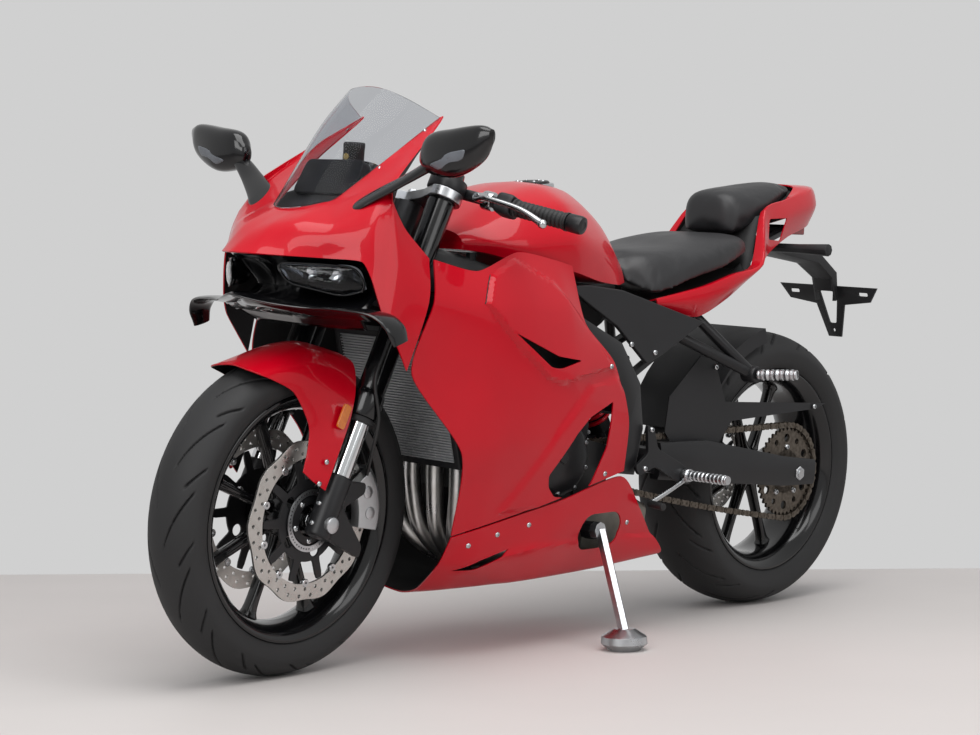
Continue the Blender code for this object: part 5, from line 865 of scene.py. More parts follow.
def brake_disc(name, axle, radius, along, rides, node_name, arms):
    """A wavy disc with two rings of holes, its black carrier, and the buttons between them."""
    count = 200
    angles = np.arange(count) * (2 * math.pi / count)
    outer = polar(radius + 0.003 * np.cos(DISC_WAVES * angles), count)
    holes = [(0.0, 0.0, radius - DISC_BAND, 100)]
    for ring, share in enumerate((0.30, 0.70)):
        holes += round_holes(radius - DISC_BAND * share, 0.0034, DISC_HOLES, 10, ring * 0.5)
    place = axle + LEFT * along
    disc = flat_part(outer, holes, place, LEFT, 0.005)
    make(name, disc, "ground_stainless", rides, (node_name,), bevel=0.0004, segments=1)
    inner = radius - DISC_BAND - 0.0015
    steps = 240
    around = np.arange(steps) * (2 * math.pi / steps)
    lobe = np.clip((np.cos(DISC_WAVES * around) - 0.45) / 0.35, 0, 1)
    root = inner * 0.66
    outline = polar(root + (inner - 0.001 - root) * lobe, steps)
    windows = [(0.0, 0.0, 0.030, 40)] + round_holes((root + 0.044) / 2, (root - 0.044) * 0.34, arms, 18, 0.5)
    side = 1 if along > 0 else -1
    carrier = flat_part(outline, windows, place, LEFT, 0.0044)
    cap = turned([(0.030, -0.0021), (0.044, -0.0021), (0.044, 0.0040), (0.030, 0.0060)], place, LEFT * side, 48)
    make(f"{name}_carrier", joined([carrier, cap]), "black_powder_coat", rides, (), bevel=0.0006, segments=1)
    buttons = []
    for spot in disc_places(place, LEFT, inner, DISC_WAVES):
        profile = [(0.0025, 0.0034), (0.0070, 0.0036), (0.0078, 0.0026), (0.0078, -0.0036), (0.0025, -0.0034)]
        buttons.append(turned(profile, spot, LEFT, 20))
    for spot in disc_places(place + LEFT * side * 0.0045, LEFT, 0.038, 5, 0.5):
        buttons.append(screw(spot, LEFT * side, 0.0060, 0.0030))
    make(f"{name}_buttons", joined(buttons), "polished_aluminium", rides)


def abs_ring(name, axle, along, radius, rides):
    """The wheel speed sensor's ring: a thin plate with a row of slots."""
    holes = [(0.0, 0.0, radius - 0.011, 60)] + round_holes(radius - 0.0055, 0.0018, 48, 6)
    ring = flat_part(polar(radius, 96), holes, axle + LEFT * along, LEFT, 0.0012)
    make(name, ring, "anodised_aluminium", rides)


def caliper(name, axle, radius, along, limits, depth, rides, node_name, side):
    """A radial caliper: a rounded U section swept round the disc's edge, with piston caps and bolts outside."""
    low, high = limits
    inner, edge = radius - depth + 0.016, radius + 0.019
    gap, outside = 0.0077, 0.022
    angles = np.linspace(low, high, 21)
    swell = 1 - 0.22 * np.abs(np.linspace(-1, 1, 21)) ** 3
    section = np.array([
        (inner, gap + 0.004), (inner + 0.004, gap + outside * 0.8), (inner + 0.014, gap + outside),
        (edge - 0.012, gap + outside), (edge, gap + outside * 0.55), (edge + 0.001, 0.0),
        (edge, -gap - outside * 0.35), (edge - 0.010, -gap - outside * 0.55), (inner + 0.012, -gap - outside * 0.55),
        (inner + 0.002, -gap - outside * 0.45), (inner, -gap - 0.002), (inner, -gap), (radius + 0.009, -gap),
        (radius + 0.0095, 0.0), (radius + 0.009, gap), (inner, gap),
    ])
    section = section * (1, side)
    spokes = np.cos(angles)[:, None] * FORWARD + np.sin(angles)[:, None] * UP
    reach = section[None, :, 0] - (1 - swell[:, None]) * np.where(section[None, :, 0] > radius, 0.020, -0.004)
    reach = np.where(np.abs(section[None, :, 1]) <= gap + 0.0001, section[None, :, 0], reach)
    grid = axle + spokes[:, None] * reach[..., None] + LEFT * (along + section[None, :, 1, None])
    make(name, surface(grid, False, True, True), "cast_aluminium", rides, (node_name,), bevel=0.0015, angle=35)
    caps, bolts = [], []
    span = high - low
    for share in (0.30, 0.70):
        angle = low + span * share
        spoke = FORWARD * math.cos(angle) + UP * math.sin(angle)
        spot = axle + spoke * (radius - 0.018) + LEFT * (along + side * (gap + outside - 0.002))
        profile = [(0.0, 0.0036), (0.0095, 0.0040), (0.0115, 0.0034), (0.0120, 0.0018), (0.0125, -0.002)]
        caps.append(turned(profile[::-1], spot, LEFT * side, 36, False))
    for share in (0.08, 0.92):
        angle = low + span * share
        spoke = FORWARD * math.cos(angle) + UP * math.sin(angle)
        bolts.append(screw(axle + spoke * (radius - 0.004) + LEFT * (along + side * (gap + outside * 0.72)),
                           LEFT * side, 0.0055, 0.005))
    make(f"{name}_caps", joined(caps), "anodised_aluminium", rides)
    make(f"{name}_bolts", joined(bolts), "black_powder_coat", rides)


def row_of_prisms(starts, depth):
    """Prisms of one depth to the left, one for each closed outline of the given near faces."""
    many, sides = starts.shape[:2]
    points = np.concatenate([starts, starts + LEFT * depth], 1).reshape(-1, 3)
    base = np.arange(many) * (2 * sides)
    i = np.arange(sides)
    walls = np.stack([i, (i + 1) % sides, (i + 1) % sides + sides, i + sides], 1)
    faces = [tuple(q) for q in (base[:, None, None] + walls[None]).reshape(-1, 4).tolist()]
    faces += [tuple((b + i[::-1]).tolist()) for b in base] + [tuple((b + sides + i).tolist()) for b in base]
    return points, faces


def chain():
    """A roller chain: the pins lie one pitch apart on the path round both pitch circles, and each link's plates
    are one figure-of-eight outline placed between its two pins."""
    r1, r2 = (CHAIN_PITCH / (2 * math.sin(math.pi / teeth)) for teeth in (FRONT_TEETH, REAR_TEETH))
    front, rear = FRONT_SPROCKET, REAR_AXLE
    span = np.array((front[0] - rear[0], front[2] - rear[2]))
    length = float(np.linalg.norm(span))
    lean_angle = math.atan2(span[1], span[0])
    fan = math.asin((r2 - r1) / length)
    route = []
    for centre, radius, start, end in (
        (rear, r2, lean_angle + math.pi / 2 - fan, lean_angle + 1.5 * math.pi + fan),
        (front, r1, lean_angle - math.pi / 2 + fan, lean_angle + math.pi / 2 - fan),
    ):
        a = np.linspace(start, end, 200)
        route.append(np.stack([centre[0] + radius * np.cos(a), centre[2] + radius * np.sin(a)], 1))
    low = np.linspace(0, 1, 80)[1:-1, None]
    under = route[0][-1] + (route[1][0] - route[0][-1]) * low
    under[:, 1] -= 0.008 * np.sin(low[:, 0] * math.pi)
    over = route[1][-1] + (route[0][0] - route[1][-1]) * low
    path = np.concatenate([route[0], under, route[1], over, route[0][:1]])
    steps = np.concatenate([[0], np.cumsum(np.linalg.norm(np.diff(path, axis=0), axis=1))])
    count = int(round(steps[-1] / CHAIN_PITCH / 2)) * 2
    at = np.arange(count + 1) * (steps[-1] / count)
    pins = np.stack([np.interp(at, steps, path[:, 0]), np.interp(at, steps, path[:, 1])], 1)
    step = np.diff(pins, axis=0)
    size = np.linalg.norm(step, axis=1)
    along = step / size[:, None]
    up = np.stack([-along[:, 1], along[:, 0]], 1)
    middle = (pins[1:] + pins[:-1]) / 2
    a = np.linspace(-0.42 * math.pi, 0.42 * math.pi, 7)
    right = np.stack([CHAIN_PITCH / 2 + 0.0070 * np.cos(a), 0.0070 * np.sin(a)], 1)
    waist = np.array([(0.0, 0.0052)])
    outline = np.concatenate([right, waist, -right, -waist])
    shapes = []
    for parity, places in ((0, (0.0062, -0.0086)), (1, (0.0040, -0.0062))):
        own = slice(parity, None, 2)
        flat = (
            middle[own, None] + along[own, None] * outline[None, :, :1] + up[own, None] * outline[None, :, 1:]
        )
        for y in places:
            sheet = np.stack([flat[..., 0], np.full(flat.shape[:2], CHAIN_LINE + y), flat[..., 1]], -1)
            shapes.append(row_of_prisms(sheet, 0.0022))
    around = np.arange(8) * (2 * math.pi / 8)
    ring = np.stack([np.cos(around), np.sin(around)], 1)
    for radius, low_y, high_y in ((0.0050, -0.0040, 0.0040), (0.0026, -0.0094, 0.0092)):
        flat = pins[:-1, None] + ring[None] * radius
        near = np.stack([flat[..., 0], np.full(flat.shape[:2], CHAIN_LINE + low_y), flat[..., 1]], -1)
        shapes.append(row_of_prisms(near, high_y - low_y))
    make("drive_chain_links", joined(shapes), "oiled_chain_steel", "chassis", ("drive_chain",), angle=50)


def sprocket_wheel():
    """The rear sprocket: 42 teeth as a wave on its edge, lightening holes and bolts."""
    steps = REAR_TEETH * 8
    angles = np.arange(steps) * (2 * math.pi / steps)
    root = CHAIN_PITCH / (2 * math.sin(math.pi / REAR_TEETH))
    radii = root - 0.0122 + 0.0062 * np.clip(0.5 + 0.75 * np.cos(REAR_TEETH * angles), 0, 1)
    holes = [(0, 0, 0.036, 48)]
    for index in range(12):
        angle = 2 * math.pi * index / 12
        holes.append((0.077 * math.cos(angle), 0.077 * math.sin(angle), 0.010 if index % 2 else 0.007, 16))
    ring = flat_part(polar(radii, steps), holes, REAR_AXLE + LEFT * CHAIN_LINE, LEFT, 0.0060)
    boss = turned([(0.030, -0.033), (0.045, -0.033), (0.050, -0.006), (0.050, 0.003), (0.030, 0.003)],
                  REAR_AXLE + LEFT * CHAIN_LINE, LEFT, 48)
    make("rear_sprocket_wheel", joined([ring, boss]), "oiled_chain_steel", "rear_wheel", ("rear_sprocket",))
    nuts = [screw(spot, LEFT, 0.007, 0.005) for spot in
            disc_places(REAR_AXLE + LEFT * (CHAIN_LINE + 0.0032), LEFT, 0.056, 5)]
    make("sprocket_nuts", joined(nuts), "anodised_aluminium", "rear_wheel")


# Bodywork


# Raised areas on the side panels: outlines of (length, height) in metres, from the photograph
BLADE = (
    (0.405, 0.757), (0.418, 0.738), (0.436, 0.704), (0.385, 0.655), (0.330, 0.610), (0.262, 0.560), (0.215, 0.548),
    (0.150, 0.560), (0.060, 0.572), (0.020, 0.566), (0.130, 0.668), (0.220, 0.745), (0.330, 0.790),
)
LOWER_PANEL = (
    (0.340, 0.300), (0.215, 0.460), (0.120, 0.545), (0.020, 0.560), (-0.060, 0.470), (-0.060, 0.350), (0.180, 0.300),
)
BELLY_PANEL = (
    (0.400, 0.180), (0.340, 0.212), (0.250, 0.232), (0.060, 0.235), (-0.230, 0.220), (-0.230, 0.150), (0.200, 0.130),
)


def halves_table(shares):
    """The left half's table with its mirrored right half before it, sharing the middle row."""
    left = body(shares)
    return np.concatenate([left[:0:-1] * (1, -1, 1), left])


def panel(name, table, node_name, rides="chassis", steps=(6, 6), inside=(0, 0, 0.5), cutters=(), ease=(0.7, 0.7),
          reliefs=()):
    """A moulded panel: smooth curves both ways through its table, with areas raised, a wall inwards, black within,
    and holes cut through."""
    grid = smooth_grid(table, *steps, ease)
    for outline, height, soft in reliefs:
        grid = relief(grid, outline, height, soft)
    obj = make(name, surface(grid), "red_lacquered_paint", rides, (node_name,), inside=inside, angle=50)
    # The inner faces take the near-black inner finish: bare plastic, and painted shade for the panel's unlit inside
    obj.data.materials.append(FINISHES["inner_plastic_and_painted_shade"])
    shell = obj.modifiers.new("wall", "SOLIDIFY")
    shell.thickness = 0.003
    shell.offset = -1
    shell.material_offset = 1
    shell.material_offset_rim = 0
    if cutters:
        cut(obj, [(CARRIERS[rides](points), faces) for points, faces in cutters])
    soften(obj, 0.0008, 2)
    return surface(grid)


def side_cutter(shares, low, high, left=True, corner=0.006):
    """A closed cutter through one side of the bike, from its rounded side outline."""
    outline = np.array([(x * BODY[0], low, z * BODY[2]) for x, z in shares])
    outline = rounded_outline(outline, corner)
    if not left:
        return slab(outline * (1, -1, 1), -LEFT * (high - low))
    return slab(outline, LEFT * (high - low))


def on_side(shape, x, z, left=True):
    """Where a ray from far out on one side meets a panel, and the direction out of it there."""
    tree = BVHTree.FromPolygons([Vector(p) for p in shape[0]], [list(f) for f in shape[1]])
    side = 1 if left else -1
    found, normal, _, _ = tree.ray_cast(Vector((x, side * 0.6, z)), Vector((0, -side, 0)))
    if found is None:
        found, normal, _, _ = tree.find_nearest(Vector((x, side * 0.25, z)))
    normal = np.array(normal)
    return np.array(found), normal if normal[1] * side > 0 else -normal


def screws_on(shape, spots, radius=0.0055):
    """Button screws set into both sides' panels at (length, height) places."""
    found = []
    for x, z in spots:
        place, out = on_side(shape, x, z)
        found.append(screw(place + out * 0.0002, out, radius, 0.0024))
        found.append(screw((place + out * 0.0002) * (1, -1, 1), out * (1, -1, 1), radius, 0.0024))
    return joined(found)


def closed_form(shares, row_steps, column_steps, ease=1.0):
    """A closed form lengthwise: each row's left half outline is smoothed from the top to the last but one point,
    mirrored to the right, and the rows are joined by smooth curves."""
    rows = []
    for length, outline in shares:
        left = body([(length, width, height) for width, height in outline])
        left = np.concatenate([smooth(left[:-1], column_steps, ease), left[-1:]])
        rows.append(np.concatenate([left, left[-2:0:-1] * (1, -1, 1)]))
    return smooth(np.array(rows), row_steps, ease)


def seat(name, shares, node_name, puff):
    """A foam seat under vinyl: its form remeshed in 6 mm cells, swollen by Cloth pressure with a cap on how far
    each point moves, and subdivided once."""
    grid = closed_form(shares, 6, 5)
    centre = grid.reshape(-1, 3).mean(0)
    start = centre + (grid - centre) * (1 - puff * np.array((0.7, 1.1, 1.6)))
    obj = make(name, surface(start, False, True, True), "seat_vinyl", "chassis", (node_name,), angle=60)
    remesh = obj.modifiers.new("cells", "REMESH")
    remesh.mode = "VOXEL"
    remesh.voxel_size = 0.006
    bake(obj)
    before = np.empty(len(obj.data.vertices) * 3)
    obj.data.vertices.foreach_get("co", before)
    cloth = obj.modifiers.new("Cloth", "CLOTH")
    cloth.settings.use_pressure = True
    cloth.settings.uniform_pressure_force = 4.0
    cloth.settings.effector_weights.gravity = 0
    cloth.settings.quality = 4
    cloth.point_cache.frame_start = 1
    cloth.point_cache.frame_end = 20
    scene = bpy.context.scene
    for frame_number in range(1, 21):
        scene.frame_set(frame_number)
    bake(obj)
    after = np.empty(len(obj.data.vertices) * 3)
    obj.data.vertices.foreach_get("co", after)
    before, after = before.reshape(-1, 3), after.reshape(-1, 3)
    moved = after - before
    far = np.linalg.norm(moved, axis=1)
    moved *= (np.minimum(far, 0.006) / np.maximum(far, 1e-9))[:, None]
    obj.data.vertices.foreach_set("co", (before + moved).ravel())
    obj.data.update()
    smoother = obj.modifiers.new("even", "SMOOTH")
    smoother.factor = 0.5
    smoother.iterations = 6
    finer = obj.modifiers.new("finer", "SUBSURF")
    finer.levels = finer.render_levels = 1
    bake(obj)
    obj.data.shade_smooth()
    return obj


def bake(obj):
    """Applies a piece's modifiers to its mesh."""
    graph = bpy.context.evaluated_depsgraph_get()
    baked = bpy.data.meshes.new_from_object(obj.evaluated_get(graph))
    obj.modifiers.clear()
    obj.data = baked


def bodywork():
    """The painted panels, their screws and the dark parts behind their openings."""
    panel("nose_shell", halves_table(NOSE_SHARES), "nose_cowl", inside=(0.60, 0, 0.78), ease=(0.55, 0.9))
    screen = halves_table(SCREEN_SHARES) + UP * 0.0018
    screen[0] += (0.0, -0.008, -0.006)
    screen[-1] += (0.0, 0.008, -0.006)
    glass = make("screen_shell", surface(smooth_grid(screen, 6, 8)), "tinted_acrylic", "chassis", ("windscreen",),
                 inside=(0.4, 0, 0.8), wall=0.003)
    soften(glass, 0.0008, 2)
    fairing_table = body(FAIRING_SHARES)
    reliefs = ((BLADE, 0.008, 0.007), (LOWER_PANEL, 0.005, 0.008))
    side_shapes = []
    for side, sign in (("left", 1), ("right", -1)):
        cutters = [side_cutter(COVER_WINDOW_SHARES, 0.15, 0.30, sign > 0),
                   side_cutter(VENT_SHARES, 0.15, 0.30, sign > 0, 0.010)]
        side_shapes.append(panel(f"fairing_shell_{side}", fairing_table * (1, sign, 1), f"fairing_{side}",
                                 steps=(20, 20), cutters=cutters, inside=(0.2, 0, 0.5), reliefs=reliefs))
    side_shape = side_shapes[0]
    left = body(BELLY_SHARES)
    whole = np.concatenate([left, left[:, -2::-1] * (1, -1, 1)], 1)
    hole = np.array([(STAND_PIVOT[0] + s * 0.031 + 0.038 * math.cos(a), 0.10, STAND_PIVOT[2] + 0.038 * math.sin(a))
                     for s, start in ((1, -math.pi / 2), (-1, math.pi / 2))
                     for a in np.linspace(start, start + math.pi, 13)])
    slot = np.array([(x, 0.10, z) for x, z in ((0.392, 0.186), (0.345, 0.209), (0.280, 0.227), (0.296, 0.212),
                                               (0.349, 0.189))])
    slot = rounded_outline(slot, 0.004)
    holes = [slab(hole, LEFT * 0.20), slab(slot, LEFT * 0.20), slab(slot * (1, -1, 1), LEFT * -0.20)]
    belly_shape = panel("belly_shell", whole, "belly_pan", steps=(10, 10), cutters=holes, inside=(0.16, 0, 0.3),
                        reliefs=((BELLY_PANEL, 0.006, 0.012),))
    tail_left = body(TAIL_SHARES)
    ribbon = np.concatenate([tail_left, tail_left[-2::-1] * (1, -1, 1)])
    window = rounded_outline(np.array([(x * 2, -0.5, z) for x, z in TAIL_WINDOW_SHARES]), 0.008)
    panel("tail_shell", ribbon, "tail_cowl", steps=(5, 4), cutters=[slab(window, LEFT)], inside=(-0.5, 0, 0.80))
    tank = closed_form(TANK_SHARES, 6, 4, 0.75)
    cap_place = body((0.035, 0, 0.9345))
    way = unit((0.10, 0, 1.0))
    cap = turned([(0.0, 0.0075), (0.016, 0.0078), (0.017, 0.0062), (0.036, 0.0062), (0.0385, 0.0045), (0.040, 0.0),
                  (0.040, -0.012)][::-1], cap_place, way, 72, False)
    ring = turned([(0.0402, -0.010), (0.0402, 0.0015), (0.047, 0.0008), (0.0485, -0.002), (0.0485, -0.010)],
                  cap_place, way, 72)
    make("filler_cap", cap, "black_powder_coat", "chassis", angle=30)
    make("filler_ring", ring, "anodised_aluminium", "chassis", angle=30)
    cap_bolts = [screw(spot, way, 0.0036, 0.002) for spot in disc_places(cap_place + way * 0.0062, way, 0.0265, 6)]
    make("filler_bolts", joined(cap_bolts), "polished_aluminium", "chassis")
    strip = [screw((x, s * y, z), (0.2, s * 0.75, 0.6), 0.0045, 0.0026) for x, y, z in
             ((0.478, 0.1085, 1.020), (0.582, 0.1010, 0.945)) for s in (1, -1)]
    make("strip_screws", joined(strip), "polished_aluminium", "chassis")
    make("tank_shell", surface(tank, False, True, True), "red_lacquered_paint", "chassis", ("fuel_tank",), angle=50)
    ahead, wide, high = 0.30, 0.12, 0.35
    shares = np.array(MUDGUARD_SHARES)
    left = (STEER_FOOT + FORK_AHEAD * (shares[..., :1] * ahead) + LEFT * (shares[..., 1:2] * wide)
            + FORK_UP * (shares[..., 2:] * high))
    table = np.concatenate([left[:0:-1] * (1, -1, 1), left])
    panel("mudguard_shell", table, "front_mudguard", "steering", inside=tuple(FRONT_AXLE))
    blade = seam(side_shape, ((0.405, 0.757), (0.418, 0.738), (0.436, 0.704)))
    make("fairing_seams", blade, "inner_plastic_and_painted_shade")
    # A near-black sheet just behind the side vents: a liner, and painted shade for the hollow behind them
    lining = rounded_outline(np.array([(x, 0.196, z) for x, z in ((0.060, 0.560), (0.400, 0.560), (0.420, 0.690),
                                                                  (0.240, 0.690))]), 0.02)
    make("fairing_linings", both(slab(lining, LEFT * 0.002)), "inner_plastic_and_painted_shade", "chassis")
    spots = ((0.053, 0.579), (0.037, 0.362))
    make("fairing_screws", screws_on(side_shape, spots), "polished_aluminium")
    spots = ((0.240, 0.272), (0.385, 0.240), (-0.075, 0.252), (0.320, 0.258))
    make("belly_screws", screws_on(belly_shape, spots), "polished_aluminium")


def nose_inside():
    """The black liner behind the nose: at each place across, a line from the lip back into the intake, forward to
    the wing, then down and back to the panel's foot; and the instrument panel behind the screen."""
    rows = []
    for y, lip_x, lip_z, wing_x, wing_z in (
        (0.000, 0.842, 0.784, 0.806, 0.703), (0.020, 0.838, 0.784, 0.803, 0.702), (0.045, 0.826, 0.783, 0.786, 0.698),
        (0.080, 0.796, 0.781, 0.766, 0.694), (0.110, 0.766, 0.780, 0.744, 0.691), (0.150, 0.722, 0.777, 0.722, 0.690),
        (0.195, 0.698, 0.772, 0.702, 0.686),
    ):
        deep = 0.075 if y < 0.03 else 0.050
        rows.append([(lip_x - 0.006, y, lip_z + 0.004), (lip_x - 0.024, y, lip_z - 0.006),
                     (lip_x - deep, y, lip_z - 0.022), (wing_x - deep, y, 0.725), (wing_x - 0.014, y, wing_z + 0.006),
                     (wing_x - 0.006, y, wing_z - 0.004), (wing_x - 0.030, y * 0.97, wing_z - 0.018),
                     (0.700 - y * 0.1, y * 0.90, 0.672), (0.668 - y * 0.1, y * 0.80, 0.650)])
    left = np.array(rows)
    table = np.concatenate([left[:0:-1] * (1, -1, 1), left])
    make("nose_liner", surface(smooth_grid(table, 4, 4)), "black_lacquered_abs", "chassis", inside=(0.5, 0, 0.9),
         wall=0.002)
    bolt = screw((0.745, 0.0, 0.682), (0.75, 0.0, -0.66), 0.006, 0.003)
    make("nose_liner_bolt", bolt, "polished_aluminium", "chassis")
    corners = np.array([(0.610, y, z) for y, z in ((-0.088, 0.885), (0.088, 0.885), (0.078, 0.950), (-0.078, 0.950))])
    corners[:, 0] -= (corners[:, 2] - 0.885) * 0.45
    panel_outline = rounded_outline(corners, 0.014, 6)
    make("instrument_case", slab(panel_outline, np.array((0.022, 0, 0.010))), "black_moulded_plastic", "chassis",
         bevel=0.003, segments=3)
    face = rounded_outline(corners * (1, 0.90, 1) + (-0.001, 0, 0.0), 0.010, 5)
    make("instrument_glass", slab(face, np.array((-0.0015, 0, -0.0006))), "black_lacquered_abs", "chassis",
         bevel=0.0004)


def seam(shape, spots):
    """A dark joint line that follows a panel: places on the line are cast onto it from the side."""
    fine = smooth(np.array(spots, float), 8)
    path = np.array([on_side(shape, x, z)[0] for x, z in fine])
    return both(tube(path, 0.0011, 8))


# Fork, bars and controls


def front_end():
    """Fork legs with their seals, lugs, axle ends, bolts and side reflectors."""
    foot = fork(FORK_OFFSET, FORK_HALF, 0)
    outer = turned([(0.0209, 0.2075), (0.0290, 0.2085), (0.0300, 0.211), (0.0300, 0.250), (0.0292, 0.255),
                    (0.0268, 0.258), (0.0265, 0.262), (0.0265, 0.705), (0.0255, 0.712), (0.0205, 0.712)],
                   foot, FORK_UP, 64)
    make_sides("fork_outer", outer, "black_lacquered_abs", "steering", "fork_tube", angle=35)
    legs = turned([(0.0205, 0.060), (0.0205, 0.335), (0.0, 0.335)], foot, FORK_UP, 64, False)
    dust = turned([(0.0209, 0.196), (0.0262, 0.198), (0.0272, 0.202), (0.0262, 0.2070), (0.0209, 0.2070)],
                  foot, FORK_UP, 64)
    lug = turned([(0.0, -0.028), (0.0215, -0.028), (0.0245, -0.025), (0.0250, -0.020), (0.0250, 0.083),
                  (0.0244, 0.0895), (0.0220, 0.092), (0.0, 0.092)], foot, FORK_UP, 64, False)
    shares = ((0.1, 0.9), (-0.72, 1.15), (-0.80, 0.95), (-0.35, 0.45), (-1.25, -0.05), (-1.28, -0.3), (-0.1, -0.25))
    corners = np.array([foot + FORK_UP * 0.091 * up + FORK_AHEAD * 0.091 * out - LEFT * (FORK_HALF - 0.0981)
                        for out, up in shares])
    arm = slab(rounded_outline(corners, 0.008), LEFT * 0.013)
    tip = turned([(0.0, 0.0), (0.0130, 0.0), (0.0150, -0.0015), (0.0155, -0.004), (0.0155, -0.012)][::-1],
                 foot + LEFT * 0.030, LEFT, 40, False)
    make_sides("fork_stanchion", legs, "hard_chrome", "steering", "fork_slider")
    make("fork_dust_seals", both(dust), "grip_rubber", "steering")
    make("fork_lugs", both(joined([lug, arm])), "black_powder_coat", "steering", bevel=0.0010)
    make("axle_ends", both(tip), "anodised_aluminium", "steering")
    bolts = []
    for up in (-0.008, 0.030):
        bolts.append(screw(foot + FORK_AHEAD * 0.0248 + FORK_UP * up, FORK_AHEAD, 0.005, 0.004))
    for a, u in ((0.102, 0.100), (0.100, 0.058)):
        bolts.append(screw(fork(a * 0.86, 0.1165, u), LEFT, 0.0052, 0.0024))
    make("lug_bolts", both(joined(bolts)), "polished_aluminium", "steering")
    plate = rounded_outline(np.array([fork(a, 0.1150, u) for a, u in
                                      ((0.078, 0.212), (0.098, 0.212), (0.098, 0.166), (0.078, 0.166))]), 0.006)
    make("side_reflectors", both(slab(plate, LEFT * 0.0050)), "amber_acrylic", "steering", bevel=0.0012)


def bar_places():
    """The bar's root beside the fork tube, its outer end, and where the grip starts."""
    level = 0.652 + 0.020 + 0.012
    start = fork(0, FORK_HALF + 0.01325, level)
    end = fork(-0.052, 0.365, level - 0.020)
    share = (0.235 - start[1]) / (end[1] - start[1])
    return start, end, start + (end - start) * share


def controls():
    """Both clip-ons with grips, bar ends, switches, levers and the front brake's reservoir."""
    start, end, grip = bar_places()
    along = unit(end - start)
    foot = fork(FORK_OFFSET, FORK_HALF, 0)
    ring = turned([(0.0270, 0.6726), (0.0365, 0.6726), (0.0370, 0.6740), (0.0370, 0.6945), (0.0360, 0.6964),
                   (0.0270, 0.6964)], foot, FORK_UP, 64)
    bar = rounded_tube([start - along * 0.006, start + along * 0.05, end], 0.011, 32)
    grip_end = end - along * 0.016
    length = float(np.linalg.norm(grip_end - grip))
    at = np.linspace(0, 1, 61)
    ribs = 0.0158 + 0.0007 * np.clip(np.cos(at * 26 * math.pi) * 2, -1, 1)
    ribs[:3] = ribs[-3:] = 0.0178
    rubber = tube(grip + along * (length * at)[:, None], ribs, 36)
    weight = turned([(0.0, -0.016), (0.0150, -0.016), (0.0172, -0.013), (0.0175, 0.010), (0.0160, 0.0155),
                     (0.0080, 0.0172), (0.0070, 0.0160), (0.0, 0.0160)], end, along, 40, False)
    cube_centre = grip - along * 0.017
    first, second = FORK_AHEAD, np.cross(along, FORK_AHEAD)
    rows = np.linspace(-1, 1, 9)
    box_x, box_z = superellipse(24, 0.4)
    size = 1 - 0.12 * np.abs(rows) ** 6
    cube = (cube_centre + along * (rows * 0.0165)[:, None, None]
            + first * (0.019 * size[:, None] * box_x)[..., None]
            + second * (0.021 * size[:, None] * box_z)[..., None])
    switch = surface(cube, False, True, True)
    perch_place = grip - along * 0.058
    perch = turned([(0.0114, -0.011), (0.0175, -0.011), (0.0185, -0.008), (0.0185, 0.008), (0.0175, 0.011),
                    (0.0114, 0.011)], perch_place, along, 40)
    drop = -FORK_UP * 0.011
    arm = rounded_tube([perch_place + FORK_AHEAD * 0.012, perch_place + FORK_AHEAD * 0.026 + drop * 0.5,
                        perch_place + FORK_AHEAD * 0.040 + drop], [0.0105, 0.0095, 0.0085], 24)
    tip = end - along * 0.033 + FORK_AHEAD * 0.045 - FORK_UP * 0.030
    knee = grip + (end - grip) * 0.35 + FORK_AHEAD * 0.050 - FORK_UP * 0.015
    line = smooth(np.array([perch_place + FORK_AHEAD * 0.035 + drop, perch_place + along * 0.03
                            + FORK_AHEAD * 0.050 + drop, knee, tip]), 10)
    share = np.linspace(0, 1, len(line))
    blade = tube(line, 0.0066 - 0.0018 * np.sin(share * math.pi) + 0.0004 * share, 24)
    ball = turned([(0.0, -0.0088), (0.0045, -0.0078), (0.0078, -0.0045), (0.0090, 0.0), (0.0078, 0.0045),
                   (0.0045, 0.0078), (0.0, 0.0088)], tip, along, 24, False)
    make("handlebar_bars", both(joined([ring, bar])), "black_powder_coat", "steering",
         ("handlebar_left", "handlebar_right"))
    make("handlebar_grips", both(rubber), "grip_rubber", "steering", angle=50)
    make("handlebar_ends", both(weight), "black_powder_coat", "steering")
    make("switch_cubes", both(switch), "black_moulded_plastic", "steering", bevel=0.001)
    keys = []
    for out, up_share, wide in ((0.004, 0.6, 0.010), (-0.006, -0.1, 0.008), (0.005, -0.6, 0.007)):
        spot = cube_centre + along * out + second * (0.012 * up_share) - first * 0.0185
        corners = np.array([spot + along * a * wide + second * b * 0.0045 for a, b in
                            ((-0.5, -1), (0.5, -1), (0.5, 1), (-0.5, 1))])
        keys.append(slab(rounded_outline(corners, 0.0015), -first * 0.003))
    make("switch_keys", both(joined(keys)), "grey_coated_steel", "steering", bevel=0.0004)
    lever = joined([perch, arm, blade, ball])
    make("clutch_lever_blade", lever, "polished_aluminium", "steering", ("clutch_lever",))
    make("brake_lever_blade", mirrored(lever), "polished_aluminium", "steering", ("brake_lever",))
    top = perch_place + FORK_AHEAD * 0.022 + FORK_UP * 0.040
    post = tube([perch_place + FORK_AHEAD * 0.011, perch_place + FORK_AHEAD * 0.018 + FORK_UP * 0.022, top],
                0.0095, 20)
    pot = turned([(0.0, 0.0), (0.0170, 0.0), (0.0205, 0.003), (0.0215, 0.008), (0.0215, 0.036), (0.0222, 0.038),
                  (0.0222, 0.0455), (0.0205, 0.049), (0.0, 0.050)], top, UP, 48, False)
    sight = turned([(0.0, 0.0), (0.0, 0.002), (0.0060, 0.002), (0.0066, 0.0), (0.0066, -0.003)][::-1],
                   top + UP * 0.020 + FORWARD * 0.0212, FORWARD, 24, False)
    make("brake_fluid_pot", mirrored(joined([post, pot])), "black_moulded_plastic", "steering", angle=40)
    make("brake_fluid_window", mirrored(sight), "amber_sight_glass", "steering")


